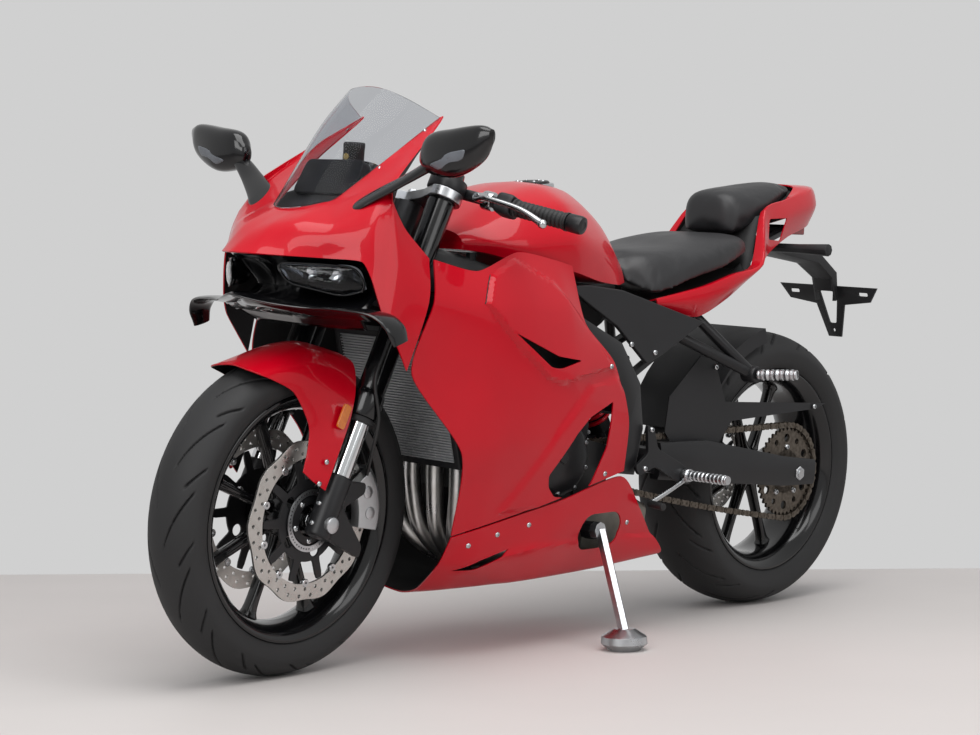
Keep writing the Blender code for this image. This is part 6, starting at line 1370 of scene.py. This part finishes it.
def clamps():
    """The cast top and bottom clamps: an outline round both fork tubes and the stem, holes for the tubes."""
    for name, level, height, web in (("top_clamp", 0.652, 0.020, 0.026), ("low_clamp", 0.448, 0.034, 0.036)):
        ring = 0.0365
        outline = []
        steps = 24
        for a in np.linspace(-0.5 * math.pi, 0.5 * math.pi, steps):
            outline.append((FORK_HALF + ring * math.cos(a), FORK_OFFSET + ring * math.sin(a)))
        outline.append((FORK_HALF * 0.55, FORK_OFFSET + web * 0.35))
        outline.append((0.0, web * 0.75))
        outline.append((-FORK_HALF * 0.55, FORK_OFFSET + web * 0.35))
        for a in np.linspace(0.5 * math.pi, 1.5 * math.pi, steps):
            outline.append((-FORK_HALF + ring * math.cos(a), FORK_OFFSET + ring * math.sin(a)))
        outline.append((-FORK_HALF * 0.5, -web * 0.5))
        for a in np.linspace(math.pi * 1.2, math.pi * 1.8, 10):
            outline.append((ring * math.cos(a), ring * math.sin(a)))
        outline.append((FORK_HALF * 0.5, -web * 0.5))
        holes = [(FORK_HALF, FORK_OFFSET, 0.0268, 40), (-FORK_HALF, FORK_OFFSET, 0.0268, 40)]
        plate = clamp_plate_shape(outline, holes, fork(0, 0, level + height / 2), height)
        make(name, plate, "anodised_aluminium" if level > 0.5 else "black_powder_coat", "steering",
             ("triple_clamps",), bevel=0.0020, segments=3)
    nut = turned([(0.0, 0.672), (0.0150, 0.672), (0.0150, 0.680), (0.0135, 0.6815), (0.0, 0.6815)],
                 fork(0, 0, 0), FORK_UP, 6, False)
    stem = turned([(0.0, 0.449), (0.0140, 0.449), (0.0140, 0.668), (0.0, 0.668)], fork(0, 0, 0), FORK_UP, 32, False)
    make("stem_nut", joined([nut, stem]), "polished_aluminium", "steering", bevel=0.0008)
    foot = fork(FORK_OFFSET, FORK_HALF, 0)
    cap = turned([(0.0, 0.700), (0.0215, 0.700), (0.0215, 0.7125), (0.0195, 0.7135), (0.0, 0.7135)], foot, FORK_UP,
                 40, False)
    adjuster = turned([(0.0, 0.713), (0.0085, 0.713), (0.0085, 0.7175), (0.0075, 0.7185), (0.0, 0.7185)], foot,
                      FORK_UP, 6, False)
    make("fork_caps", both(cap), "black_powder_coat", "steering", bevel=0.0008)
    make("fork_adjusters", both(adjuster), "gold_anodised", "steering", bevel=0.0005)


def clamp_plate_shape(outline, holes, centre, height):
    """A flat part square to the steering axis: its outline's (left, ahead) points with holes."""
    points, faces = flat_part(outline, holes, np.zeros(3), np.array((0.0, 0.0, 1.0)), height)
    first, second = across(np.array((0.0, 0.0, 1.0)))
    right, ahead, up = points @ second, points @ first, points[:, 2]
    placed = centre + LEFT * right[:, None] + FORK_AHEAD * ahead[:, None] + FORK_UP * up[:, None]
    return placed, faces


def mirrors():
    """Mirrors: smooth superellipse rings across, a broad arm and the glass on the rear face."""
    finer = smooth(np.array(MIRROR_RINGS), 6)
    around = np.arange(36) * (2 * math.pi / 36)
    cx, cz = superellipse(36, 0.8)
    centre = body(finer[:, [1, 0, 2]])
    grid = (centre[:, None] + FORWARD * (finer[:, 3:4] * cx)[..., None] + UP * (finer[:, 4:5] * cz)[..., None])
    shell = surface(grid, False, True, True)
    stops = np.array([(0.662, 0.128, 0.872), (0.648, 0.160, 0.893), (0.628, 0.212, 0.922), (0.614, 0.258, 0.948),
                      (0.612, 0.290, 0.965)])
    line = smooth(stops, 4)
    share = np.linspace(0, 1, len(line))
    side = unit((0.8, 0.0, -0.6))
    chord = np.interp(share, (0, 0.12, 0.5, 0.8, 1), (0.026, 0.0285, 0.0200, 0.0155, 0.020))
    depth = np.interp(share, (0, 0.12, 0.5, 1), (0.009, 0.0085, 0.0075, 0.012))
    way = np.gradient(line, axis=0)
    way /= np.linalg.norm(way, axis=1)[:, None]
    a = side - way * (way @ side)[:, None]
    a = (a / np.linalg.norm(a, axis=1)[:, None])[:, None]
    b = np.cross(way, a[:, 0])[:, None]
    ring = (line[:, None] + a * (chord[:, None] * np.cos(around))[..., None]
            + b * (depth[:, None] * np.sin(around))[..., None])
    arm = surface(ring, False, True, True)
    make_sides("mirror_shell", joined([shell, arm]), "black_lacquered_abs", "chassis", "mirror", angle=60)
    inner = slice(7, 22)
    scale = 0.80
    rows = centre[inner]
    flat = rows[:, None] + UP * (finer[inner, 4:5] * scale * np.linspace(-1, 1, 9))[..., None]
    flat = flat - FORWARD * (finer[inner, 3:4] * np.sqrt(1 - (scale * np.linspace(-1, 1, 9)) ** 2 * 0.9)
                             + 0.0008)[..., None]
    make("mirror_glasses", both(surface(flat)), "silvered_glass", "chassis", inside=(1.0, 0.0, 0.9), wall=0.001)


def lamps():
    """Slim headlamps, each a clear lens over a dark bowl with a light guide, and the black wing below."""
    front = body(LAMP_SHARES)
    outline = rounded_outline(front, 0.020, 7)
    middle = outline.mean(0)
    rings, bowl = [], []
    for share, ahead in ((1.0, -0.010), (1.0, 0.0), (0.92, 0.004), (0.70, 0.008), (0.40, 0.0105), (0.05, 0.012)):
        rings.append(middle + (outline - middle) * share + FORWARD * ahead)
    lens = surface(np.array(rings)[::-1], False, True)
    for share, back in ((0.985, 0.000), (0.94, -0.010), (0.86, -0.024), (0.66, -0.036), (0.35, -0.042),
                        (0.05, -0.043)):
        bowl.append(middle + (outline - middle) * share + FORWARD * back - LEFT * (back * -0.2))
    reflector = surface(np.array(bowl)[::-1], False, True)
    make("lamp_bowls", both(reflector), "dark_reflector", "chassis", ("lamp_unit",))
    make("lamp_lenses", both(lens), "clear_polycarbonate", "chassis", inside=(0.60, 0, 0.74), wall=0.0015)
    eyes = []
    for share in (0.30, 0.62):
        spot = front[0] + (front[2] - front[0]) * share
        spot = spot + (front[5] - front[0]) * 0.48 - FORWARD * 0.018
        eyes.append(turned([(0.0, -0.006), (0.006, -0.004), (0.0125, 0.0), (0.0145, 0.003), (0.0150, -0.006)],
                           spot, FORWARD, 32, False))
    line = smooth(front[[0, 1, 2, 3]] + (middle - front[[0, 1, 2, 3]]) * 0.08 - FORWARD * 0.004, 8)
    make("lamp_eyes", both(joined(eyes)), "polished_aluminium", "chassis")
    make("lamp_guides", both(tube(line, 0.0022, 10)), "grey_light_guide", "chassis")
    rim_line = np.concatenate([outline, outline[:1]])
    make("lamp_lids", both(tube(rim_line + FORWARD * 0.001, 0.0022, 8)), "black_lacquered_abs", "chassis")
    wing = smooth(body(WING_SHARES), 6)
    chords = smooth(np.array(WING_CHORDS)[:, None], 6)[:, 0]
    both_sides = np.concatenate([wing[:0:-1] * (1, -1, 1), wing])
    chord = np.concatenate([chords[:0:-1], chords])
    way = np.gradient(both_sides, axis=0)
    way /= np.linalg.norm(way, axis=1)[:, None]
    side = FORWARD - way * (way @ FORWARD)[:, None]
    side /= np.linalg.norm(side, axis=1)[:, None]
    high = np.cross(way, side)
    around = np.arange(24) * (2 * math.pi / 24)
    grid = (both_sides[:, None] + side[:, None] * (chord[:, None] * 0.62 * np.cos(around))[..., None]
            + high[:, None] * (0.0050 * np.sin(around))[..., None])
    make("wing_shell", surface(grid, False, True, True), "black_lacquered_abs", "chassis", ("nose_wing",), angle=60)


# Chassis, engine and running parts


def pipes():
    """Header pipes with smooth bends, their flanges, the collector and a rounded silencer box."""
    shapes, rings = [], []
    for share in (-1.275, -0.425, 0.425, 1.275):
        route = np.array([(x * 2, 0.075 * share * s, z) for x, z, s in PIPE_SHARES])
        fine = smooth(route, 8)
        shapes.append(tube(fine, 0.0178, 28))
        rings.append(tube(fine[[1, 3]], 0.0215, 28))
    route = smooth(np.array([(x * 2, 0, z) for x, z in COLLECTOR_SHARES]), 6)
    shapes.append(tube(route, np.linspace(0.028, 0.026, len(route)), 32))
    make("header_pipes", joined(shapes), "heated_stainless", "chassis", ("exhaust",), angle=50)
    make("header_flanges", joined(rings), "cast_aluminium", "chassis", bevel=0.001)
    rows = []
    for (x, z), high in zip(BOX_SHARES, BOX_HEIGHTS):
        sides = ((-1, -0.110), (-1, 0.075), (1, 0.085), (1, -0.120))
        corners = np.array([(x * 2, y, z + level * high / 2) for level, y in sides])
        rows.append(rounded_outline(corners, 0.016, 5))
    make("silencer_box", surface(np.array(rows), False, True, True), "grey_coated_steel", "chassis", bevel=0.003,
         segments=3)


def radiator():
    """The radiator: end tanks, a core of horizontal fins between tubes, and its frame."""
    low, top = body(RADIATOR_SHARES)
    up = unit(top - low)
    ahead = np.cross(LEFT, up)
    length = float(np.linalg.norm(top - low))
    half, deep = 0.150, 0.014
    shapes = []
    for side in (-1, 1):
        corners = np.array([low + LEFT * (side * y) + ahead * d for y, d in
                            ((half, -deep), (half, deep), (half - 0.016, deep), (half - 0.016, -deep))])
        shapes.append(slab(rounded_outline(corners, 0.005), up * length))
    for share in (0.0, 1.0):
        spot = low + up * (length * share + (0.006 if share == 0 else -0.006))
        corners = np.array([spot + up * a + ahead * d for a, d in
                            ((-0.006, -deep), (-0.006, deep), (0.006, deep), (0.006, -deep))])
        shapes.append(slab(corners - LEFT * (half - 0.010), LEFT * (2 * half - 0.020)))
    make("radiator_tanks", joined(shapes), "black_moulded_plastic", "chassis", ("radiator",), bevel=0.001)
    bars = []
    for place in np.linspace(0.014, length - 0.014, 44):
        spot = low + up * place
        corners = np.array([spot + up * a + ahead * d for a, d in
                            ((-0.0010, -deep * 0.9), (-0.0010, deep * 0.95), (0.0010, deep * 0.95),
                             (0.0010, -deep * 0.9))])
        bars.append(slab(corners - LEFT * (half - 0.016), LEFT * (2 * half - 0.032)))
    backing = np.array([low + up * u + ahead * d for u, d in
                        ((0.012, -0.009), (0.012, 0.0085), (length - 0.012, 0.0085), (length - 0.012, -0.009))])
    bars.append(slab(backing - LEFT * (half - 0.014), LEFT * (2 * half - 0.028)))
    make("radiator_core", joined(bars), "radiator_fins", "chassis")


def engine_details():
    """Round covers on both sides of the engine with a ring of bolts, and a machined plug."""
    covers, bolts, caps = [], [], []
    for length, height, radius, reach in ((0.0625, 0.395, 0.078, 0.176), (0.0425, 0.455, 0.046, 0.168)):
        spot = body((length, 0, height))
        profile = [(0.0, reach - 0.001), (radius * 0.30, reach), (radius * 0.34, reach - 0.004),
                   (radius * 0.66, reach - 0.004), (radius * 0.72, reach), (radius * 0.86, reach - 0.001),
                   (radius * 0.90, reach - 0.006), (radius, reach - 0.010), (radius, 0.118)]
        covers.append(turned(profile[::-1], spot, LEFT, 72, False))
        for place in disc_places(spot + LEFT * (reach - 0.004), LEFT, radius * 0.92, 9, 0.3):
            bolts.append(screw(place, LEFT, 0.0050, 0.0045))
        caps.append(turned([(0.0, reach + 0.003), (0.012, reach + 0.003), (0.013, reach + 0.002),
                            (0.013, reach - 0.006)][::-1], spot, LEFT, 6, False))
    make("engine_covers", both(joined(covers)), "black_powder_coat", "chassis", angle=35)
    make("engine_cover_bolts", both(joined(bolts)), "anodised_aluminium", "chassis")
    make("engine_plugs", both(joined(caps)), "black_powder_coat", "chassis", bevel=0.0006)


def stand_and_pegs():
    """The rider's pegs, the plates that carry them, their bolts, and the gear lever on the left."""
    root, end = body(((-0.1275, 0.0, 0.340), (-0.1235, 0.60, 0.342)))
    start = root + LEFT * 0.178
    at = np.linspace(0, 1, 91)
    radius = 0.0098 + 0.0010 * np.clip(np.cos(at * 22 * math.pi) * 3, -1, 1)
    radius[:2] = radius[-2:] = 0.009
    peg = tube(start + (end - start) * at[:, None], radius, 28)
    make("peg_bars", both(peg), "anodised_aluminium", "chassis", ("footrest_left", "footrest_right"), angle=40)
    outline = rounded_outline(np.array([(x * 2, 0.1690, z) for x, z in REARSET_SHARES]), 0.010, 6)
    make("rearset_plates", both(slab(outline, LEFT * 0.008)), "black_powder_coat", "chassis", bevel=0.0015)
    knuckle = turned([(0.0, 0.0), (0.0145, 0.0), (0.0155, 0.002), (0.0155, 0.014), (0.013, 0.018), (0.0, 0.018)],
                     root + LEFT * 0.176, LEFT, 36, False)
    bolts = [screw(body((x, 0, z)) + LEFT * 0.1770, LEFT, 0.0062, 0.005) for x, z in
             ((-0.070, 0.440), (-0.1375, 0.332), (-0.062, 0.360))]
    make("rearset_bolts", both(joined([knuckle] + bolts)), "polished_aluminium", "chassis")
    root, toe, tip = body(((-0.1275, 0.0, 0.330), (-0.073, 0.354, 0.286), (-0.070, 0.44, 0.284)))
    arm = rounded_tube(smooth(np.array([root + LEFT * 0.181, (root + toe) / 2 + LEFT * 0.092, toe]), 8), 0.0050, 20)
    make("shift_linkage", arm, "polished_aluminium", "chassis")
    rubber = rounded_tube([toe, tip], 0.0078, 24)
    make("shift_rubber", rubber, "grip_rubber", "chassis")


def rear_details():
    """Smooth pillion brackets and pegs, the axle's blocks and nuts, the shock's spring, hose runs and bolts."""
    tubes = []
    for stops in PILLION_TUBE_SHARES[:2]:
        tubes.append(rounded_tube(body(stops), 0.0118, 28))
    knee = body(PILLION_TUBE_SHARES[2][0])
    tubes.append(turned([(0.0, -0.016), (0.0165, -0.016), (0.0185, -0.012), (0.0185, 0.014), (0.0165, 0.018),
                         (0.0, 0.018)], knee, LEFT, 32, False))
    make("pillion_brackets", both(joined(tubes)), "black_powder_coat", "chassis")
    end = body(PILLION_TUBE_SHARES[2][1])
    at = np.linspace(0, 1, 61)
    radius = 0.0112 + 0.0009 * np.clip(np.cos(at * 16 * math.pi) * 3, -1, 1)
    radius[:2] = radius[-2:] = 0.0105
    peg = tube(knee + LEFT * 0.020 + (end - knee - LEFT * 0.020) * at[:, None], radius, 28)
    make("pillion_pegs", both(peg), "anodised_aluminium", "chassis", angle=40)
    block_outline = rounded_outline(np.array([(x, 0.1372, z) for x, z in ((-0.672, 0.340), (-0.742, 0.338),
                                                                          (-0.744, 0.286), (-0.674, 0.288))]), 0.006)
    make("axle_blocks", both(slab(block_outline, LEFT * 0.0050)), "cast_aluminium", "chassis", bevel=0.0012)
    nut = turned([(0.0, 0.0), (0.0, 0.013), (0.0150, 0.013), (0.0165, 0.011), (0.0165, 0.0)][::-1],
                 REAR_AXLE + LEFT * 0.1420, LEFT, 6, False)
    make("axle_nuts", both(nut), "anodised_aluminium", "chassis", bevel=0.001)
    bolts = [screw(body((x, 0, z)) + LEFT * y, LEFT, 0.006, 0.004) for x, y, z in
             ((-0.032, 0.1765, 0.618), (-0.0700, 0.1765, 0.600), (-0.205, 0.1265, 0.560), (-0.390, 0.1265, 0.462))]
    make("chassis_bolts", both(joined(bolts)), "polished_aluminium", "chassis")
    low, high = body(((-0.0545, 0, 0.533), (-0.0875, 0, 0.425)))
    way = unit(high - low)
    first, second = across(way)
    turns = np.linspace(0, 1, 220)
    coil = (low + (high - low) * (0.12 + 0.72 * turns[:, None])
            + 0.0335 * (np.cos(turns * 13 * math.pi)[:, None] * first
                        + np.sin(turns * 13 * math.pi)[:, None] * second))
    make("shock_spring", tube(coil, 0.0045, 12), "red_lacquered_paint", "chassis")
    stops = np.array([fork(*spot) for spot in (
        (-0.050, 0.092, 0.118), (-0.010, 0.120, 0.165), (0.022, 0.1375, 0.215), (0.0540, 0.1275, 0.275),
        (0.0545, 0.1250, 0.340), (0.0560, 0.1230, 0.420), (0.0620, 0.1080, 0.450))])
    make("brake_lines", both(tube(smooth(stops, 10), 0.0036, 12)), "hose_rubber", "steering")


def hidden_fillers():
    """The black tray under the seats between the tail's inner edges, and the air box between the frame beams."""
    inner = body(np.array(TAIL_SHARES)[:, 0])
    left = inner - (0.0, 0.004, 0.010)
    share = np.linspace(1, -1, 9)[None, :, None]
    grid = left[:, None] * (1, 0, 1) + left[:, None] * (0, 1, 0) * share
    # The tray and the air box are near-black inner plastic, partly painted shade for the hollows under the seats and
    # between the frame beams
    make("tail_tray", surface(grid), "inner_plastic_and_painted_shade", "chassis", inside=(-0.4, 0, 0.0), wall=0.002)
    outline = rounded_outline(np.array([(x, -0.118, z) for x, z in ((0.135, 0.732), (-0.045, 0.728), (-0.060, 0.690),
                                                                    (0.010, 0.610), (0.110, 0.640))]), 0.015)
    make("air_box", slab(outline, LEFT * 0.236), "inner_plastic_and_painted_shade", "chassis", bevel=0.004)


def plate_holder(frame):
    """The plate bracket with a triangular opening, two slots and a bolt hole cut through its plate."""
    obj = dressed(frame, "plate_bracket", "plate_bracket_shell", "black_moulded_plastic", "chassis", 0.0012)
    end_x, top_z = -0.985, 0.735

    def through(pairs, corner):
        flat = np.array([(end_x - (top_z - z) * 0.35 + 0.03, y, z) for y, z in pairs])
        return slab(rounded_outline(flat, corner, 4), np.array((-0.07, 0, 0)))

    shapes = [
        through(((-0.026, 0.722), (0.026, 0.722), (0.010, 0.645), (-0.010, 0.645)), 0.004),
        through(((0.085, 0.722), (0.112, 0.722), (0.112, 0.714), (0.085, 0.714)), 0.003),
        through(((-0.085, 0.722), (-0.112, 0.722), (-0.112, 0.714), (-0.085, 0.714)), 0.003),
        through([(0.0045 * math.cos(a), 0.628 + 0.0045 * math.sin(a)) for a in np.arange(8) * math.pi / 4], 0.001),
    ]
    cut(obj, [(lean(points), faces) for points, faces in shapes])


def inlays():
    """Grey lenses let into the mirrors' front faces: the outline drawn in towards its middle in rings, and each place
    set on the shell's superellipse, x = middle + half depth * (1 - (height share) ^ 2.5) ^ 0.4."""
    outline = rounded_outline(np.array([(0.70, y, z) for y, z in ((0.285, 0.951), (0.308, 0.943), (0.366, 0.963),
                                                                  (0.372, 0.980), (0.338, 0.974))]), 0.006)
    middle = outline.mean(0)
    lens = middle + (outline - middle) * np.linspace(1, 0.02, 7)[:, None, None]
    finer = smooth(np.array(MIRROR_RINGS), 6)
    across_share = lens[..., 1] / BODY[1]
    x, high, half_x, half_z = (np.interp(across_share, finer[:, 0], finer[:, column] * size)
                               for column, size in ((1, BODY[0]), (2, BODY[2]), (3, 1.0), (4, 1.0)))
    drop = np.clip(np.abs(lens[..., 2] - high) / half_z, 0, 0.95)
    lens[..., 0] = x + half_x * (1 - drop ** 2.5) ** 0.4 + 0.0006
    make("mirror_lenses", both(surface(lens, False, True)), "grey_light_guide", "chassis", inside=(0.5, 0, 0.96),
         wall=0.001)


DRESSED = (
    # node, piece, finish, body, width of its rounded edges
    ("main_frame", "frame_beams", "black_powder_coat", "chassis", 0.004),
    ("subframe", "subframe_rails", "black_powder_coat", "chassis", 0.0015),
    ("swingarm", "swingarm_beams", "black_powder_coat", "chassis", 0.004),
    ("engine", "engine_block", "black_powder_coat", "chassis", 0.003),
    ("rear_hugger", "hugger_shell", "black_moulded_plastic", "chassis", 0.0012),
    ("side_cover_left", "side_cover_shell_left", "black_moulded_plastic", "chassis", 0.003),
    ("side_cover_right", "side_cover_shell_right", "black_moulded_plastic", "chassis", 0.003),
    ("tail_lamp", "tail_lamp_lens", "red_acrylic", "chassis", 0.003),
    ("dashboard", "dash_panel", "black_moulded_plastic", "chassis", 0.003),
    ("rear_shock", "shock_body", "black_powder_coat", "chassis", 0.001),
    ("rear_axle", "rear_spindle", "polished_aluminium", "chassis", 0.001),
    ("front_axle", "front_spindle", "polished_aluminium", "steering", 0.001),
    ("side_stand", "side_stand_leg", "anodised_aluminium", "stand", 0.0015),
)


def dress_solids(frame):
    """Softens the edges of the solids whose own shape is right and gives them their finishes."""
    for node_name, name, finish_name, rides, width in DRESSED:
        dressed(frame, node_name, name, finish_name, rides, width)


def seats():
    """Both seats, as padded pieces."""
    seat("rider_cushion", RIDER_SEAT_SHARES, "rider_seat", 0.012)
    seat("pillion_cushion", PILLION_SEAT_SHARES, "pillion_seat", 0.012)


# Stage, lights and camera


def view_directions():
    """The camera's level direction ahead, and the direction to its right."""
    ahead = np.array((-math.sin(CAMERA_YAW), -math.cos(CAMERA_YAW), 0.0))
    return ahead, np.array((ahead[1], -ahead[0], 0.0))


def stage():
    """A pale floor whose far edge meets the pale wall that the world gives."""
    ahead, right = view_directions()
    far, near, wide = FLOOR_END, -12.0, 14.0
    corners = [ahead * far - right * wide, ahead * far + right * wide, ahead * near + right * wide,
               ahead * near - right * wide]
    floor_finish = finish("painted_screed", ("cfc9c6", "c8c3c0"), 0.0, (0.55, 0.65), (3.0, 0.0), 0.9)
    mesh = bpy.data.meshes.new("floor")
    mesh.from_pydata([tuple(c) for c in corners], [], [(3, 2, 1, 0)])
    mesh.update()
    floor = bpy.data.objects.new("floor", mesh)
    if mesh.polygons[0].normal.z < 0:
        mesh.flip_normals()
    bpy.context.collection.objects.link(floor)
    mesh.materials.append(floor_finish)
    world = bpy.data.worlds.new("studio")
    bpy.context.scene.world = world
    world.use_nodes = True
    tree = world.node_tree
    wall = tree.nodes["Background"]
    wall.inputs["Color"].default_value = (*linear("d0d0d0"), 1)
    wall.inputs["Strength"].default_value = 1.0
    fill = node(tree, "ShaderNodeBackground", Color=(*linear("f2f4f8"), 1), Strength=0.42)
    path = node(tree, "ShaderNodeLightPath")
    seen = node(tree, "ShaderNodeMath", {"operation": "MAXIMUM"})
    tree.links.new(path.outputs["Is Camera Ray"], seen.inputs[0])
    tree.links.new(path.outputs["Is Glossy Ray"], seen.inputs[1])
    through = node(tree, "ShaderNodeMath", {"operation": "MAXIMUM"})
    tree.links.new(seen.outputs["Value"], through.inputs[0])
    tree.links.new(path.outputs["Is Transmission Ray"], through.inputs[1])
    mix = node(tree, "ShaderNodeMixShader")
    tree.links.new(through.outputs["Value"], mix.inputs[0])
    tree.links.new(fill.outputs["Background"], mix.inputs[1])
    tree.links.new(wall.outputs["Background"], mix.inputs[2])
    tree.links.new(mix.outputs["Shader"], tree.nodes["World Output"].inputs["Surface"])


def lights():
    """One big soft box overhead, one in front and one on the camera's side, as a studio has."""
    for name, place, size, power in (
        ("over", (0.8, 1.2, 4.2), 3.6, 150),
        ("front", (4.2, 1.4, 2.6), 2.2, 60),
        ("side", (0.2, 4.6, 2.4), 2.4, 36),
    ):
        data = bpy.data.lights.new(name, "AREA")
        data.size = size
        data.energy = power
        lamp = bpy.data.objects.new(name, data)
        bpy.context.collection.objects.link(lamp)
        lamp.location = place
        lamp.rotation_euler = (Vector((0, 0, 0.5)) - lamp.location).to_track_quat("-Z", "Y").to_euler()


def camera():
    """The photograph's viewpoint, from its yaw, pitch and roll."""
    yaw, pitch, roll = CAMERA_YAW, CAMERA_PITCH, CAMERA_ROLL
    ahead = Vector((-math.sin(yaw) * math.cos(pitch), -math.cos(yaw) * math.cos(pitch), -math.sin(pitch)))
    right = ahead.cross(Vector((0, 0, 1))).normalized()
    up = right.cross(ahead)
    turned_right = right * math.cos(roll) + up * math.sin(roll)
    turned_up = up * math.cos(roll) - right * math.sin(roll)
    data = bpy.data.cameras.new("camera")
    data.lens = CAMERA_LENS
    data.sensor_width = SENSOR
    data.clip_end = 100
    made = bpy.data.objects.new("camera", data)
    bpy.context.collection.objects.link(made)
    columns = [turned_right, turned_up, -ahead]
    rotation = Matrix([[columns[j][i] for j in range(3)] for i in range(3)])
    made.matrix_world = Matrix.Translation(Vector(CAMERA_PLACE) + Vector(SET_DOWN)) @ rotation.to_4x4()
    bpy.context.scene.camera = made


def main():
    """Loads the frame and builds every piece round it."""
    scene = bpy.context.scene
    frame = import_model()
    scene.view_settings.view_transform = "Standard"
    make_finishes()
    camera()
    stage()
    lights()
    tyre("front_tyre_tread", FRONT_AXLE, FRONT_TYRE_RADIUS - 0.0006, FRONT_WIDTH, FRONT_RIM_WIDTH, "front_wheel",
         "front_tyre", 1.0)
    tyre("rear_tyre_tread", REAR_AXLE, REAR_TYRE_RADIUS - 0.0006, REAR_WIDTH, REAR_RIM_WIDTH, "rear_wheel",
         "rear_tyre", -1.0)
    hub = FRONT_DISC_PLACE - 0.0024
    rim("front_rim_cast", FRONT_AXLE, FRONT_RIM_WIDTH, hub, hub, "front_wheel", "front_rim")
    rim("rear_rim_cast", REAR_AXLE, REAR_RIM_WIDTH, REAR_DISC_PLACE - 0.0024, 0.075, "rear_wheel", "rear_rim")
    fronts = (("left", 1), ("right", -1))
    for side, sign in fronts:
        brake_disc(f"disc_front_{side}", FRONT_AXLE, FRONT_DISC_RADIUS, FRONT_DISC_PLACE * sign, "front_wheel",
                   f"front_disc_{side}", 5)
    brake_disc("disc_rear", REAR_AXLE, REAR_DISC_RADIUS, -REAR_DISC_PLACE, "rear_wheel", "rear_disc", 5)
    abs_ring("sensor_ring_front", FRONT_AXLE, 0.0735, 0.058, "front_wheel")
    limits = (math.radians(146), math.radians(190))
    for side, sign in fronts:
        caliper(f"caliper_front_{side}", FRONT_AXLE, FRONT_DISC_RADIUS, FRONT_DISC_PLACE * sign, limits, 0.062,
                "steering", f"front_caliper_{side}", sign)
    chain()
    sprocket_wheel()
    bodywork()
    front_end()
    controls()
    clamps()
    mirrors()
    lamps()
    nose_inside()
    pipes()
    radiator()
    engine_details()
    stand_and_pegs()
    dress_solids(frame)
    dressed(frame, "rear_caliper", "caliper_rear", "cast_aluminium", "chassis", 0.002)
    plate_holder(frame)
    hidden_fillers()
    rear_details()
    inlays()
    seats()


main()
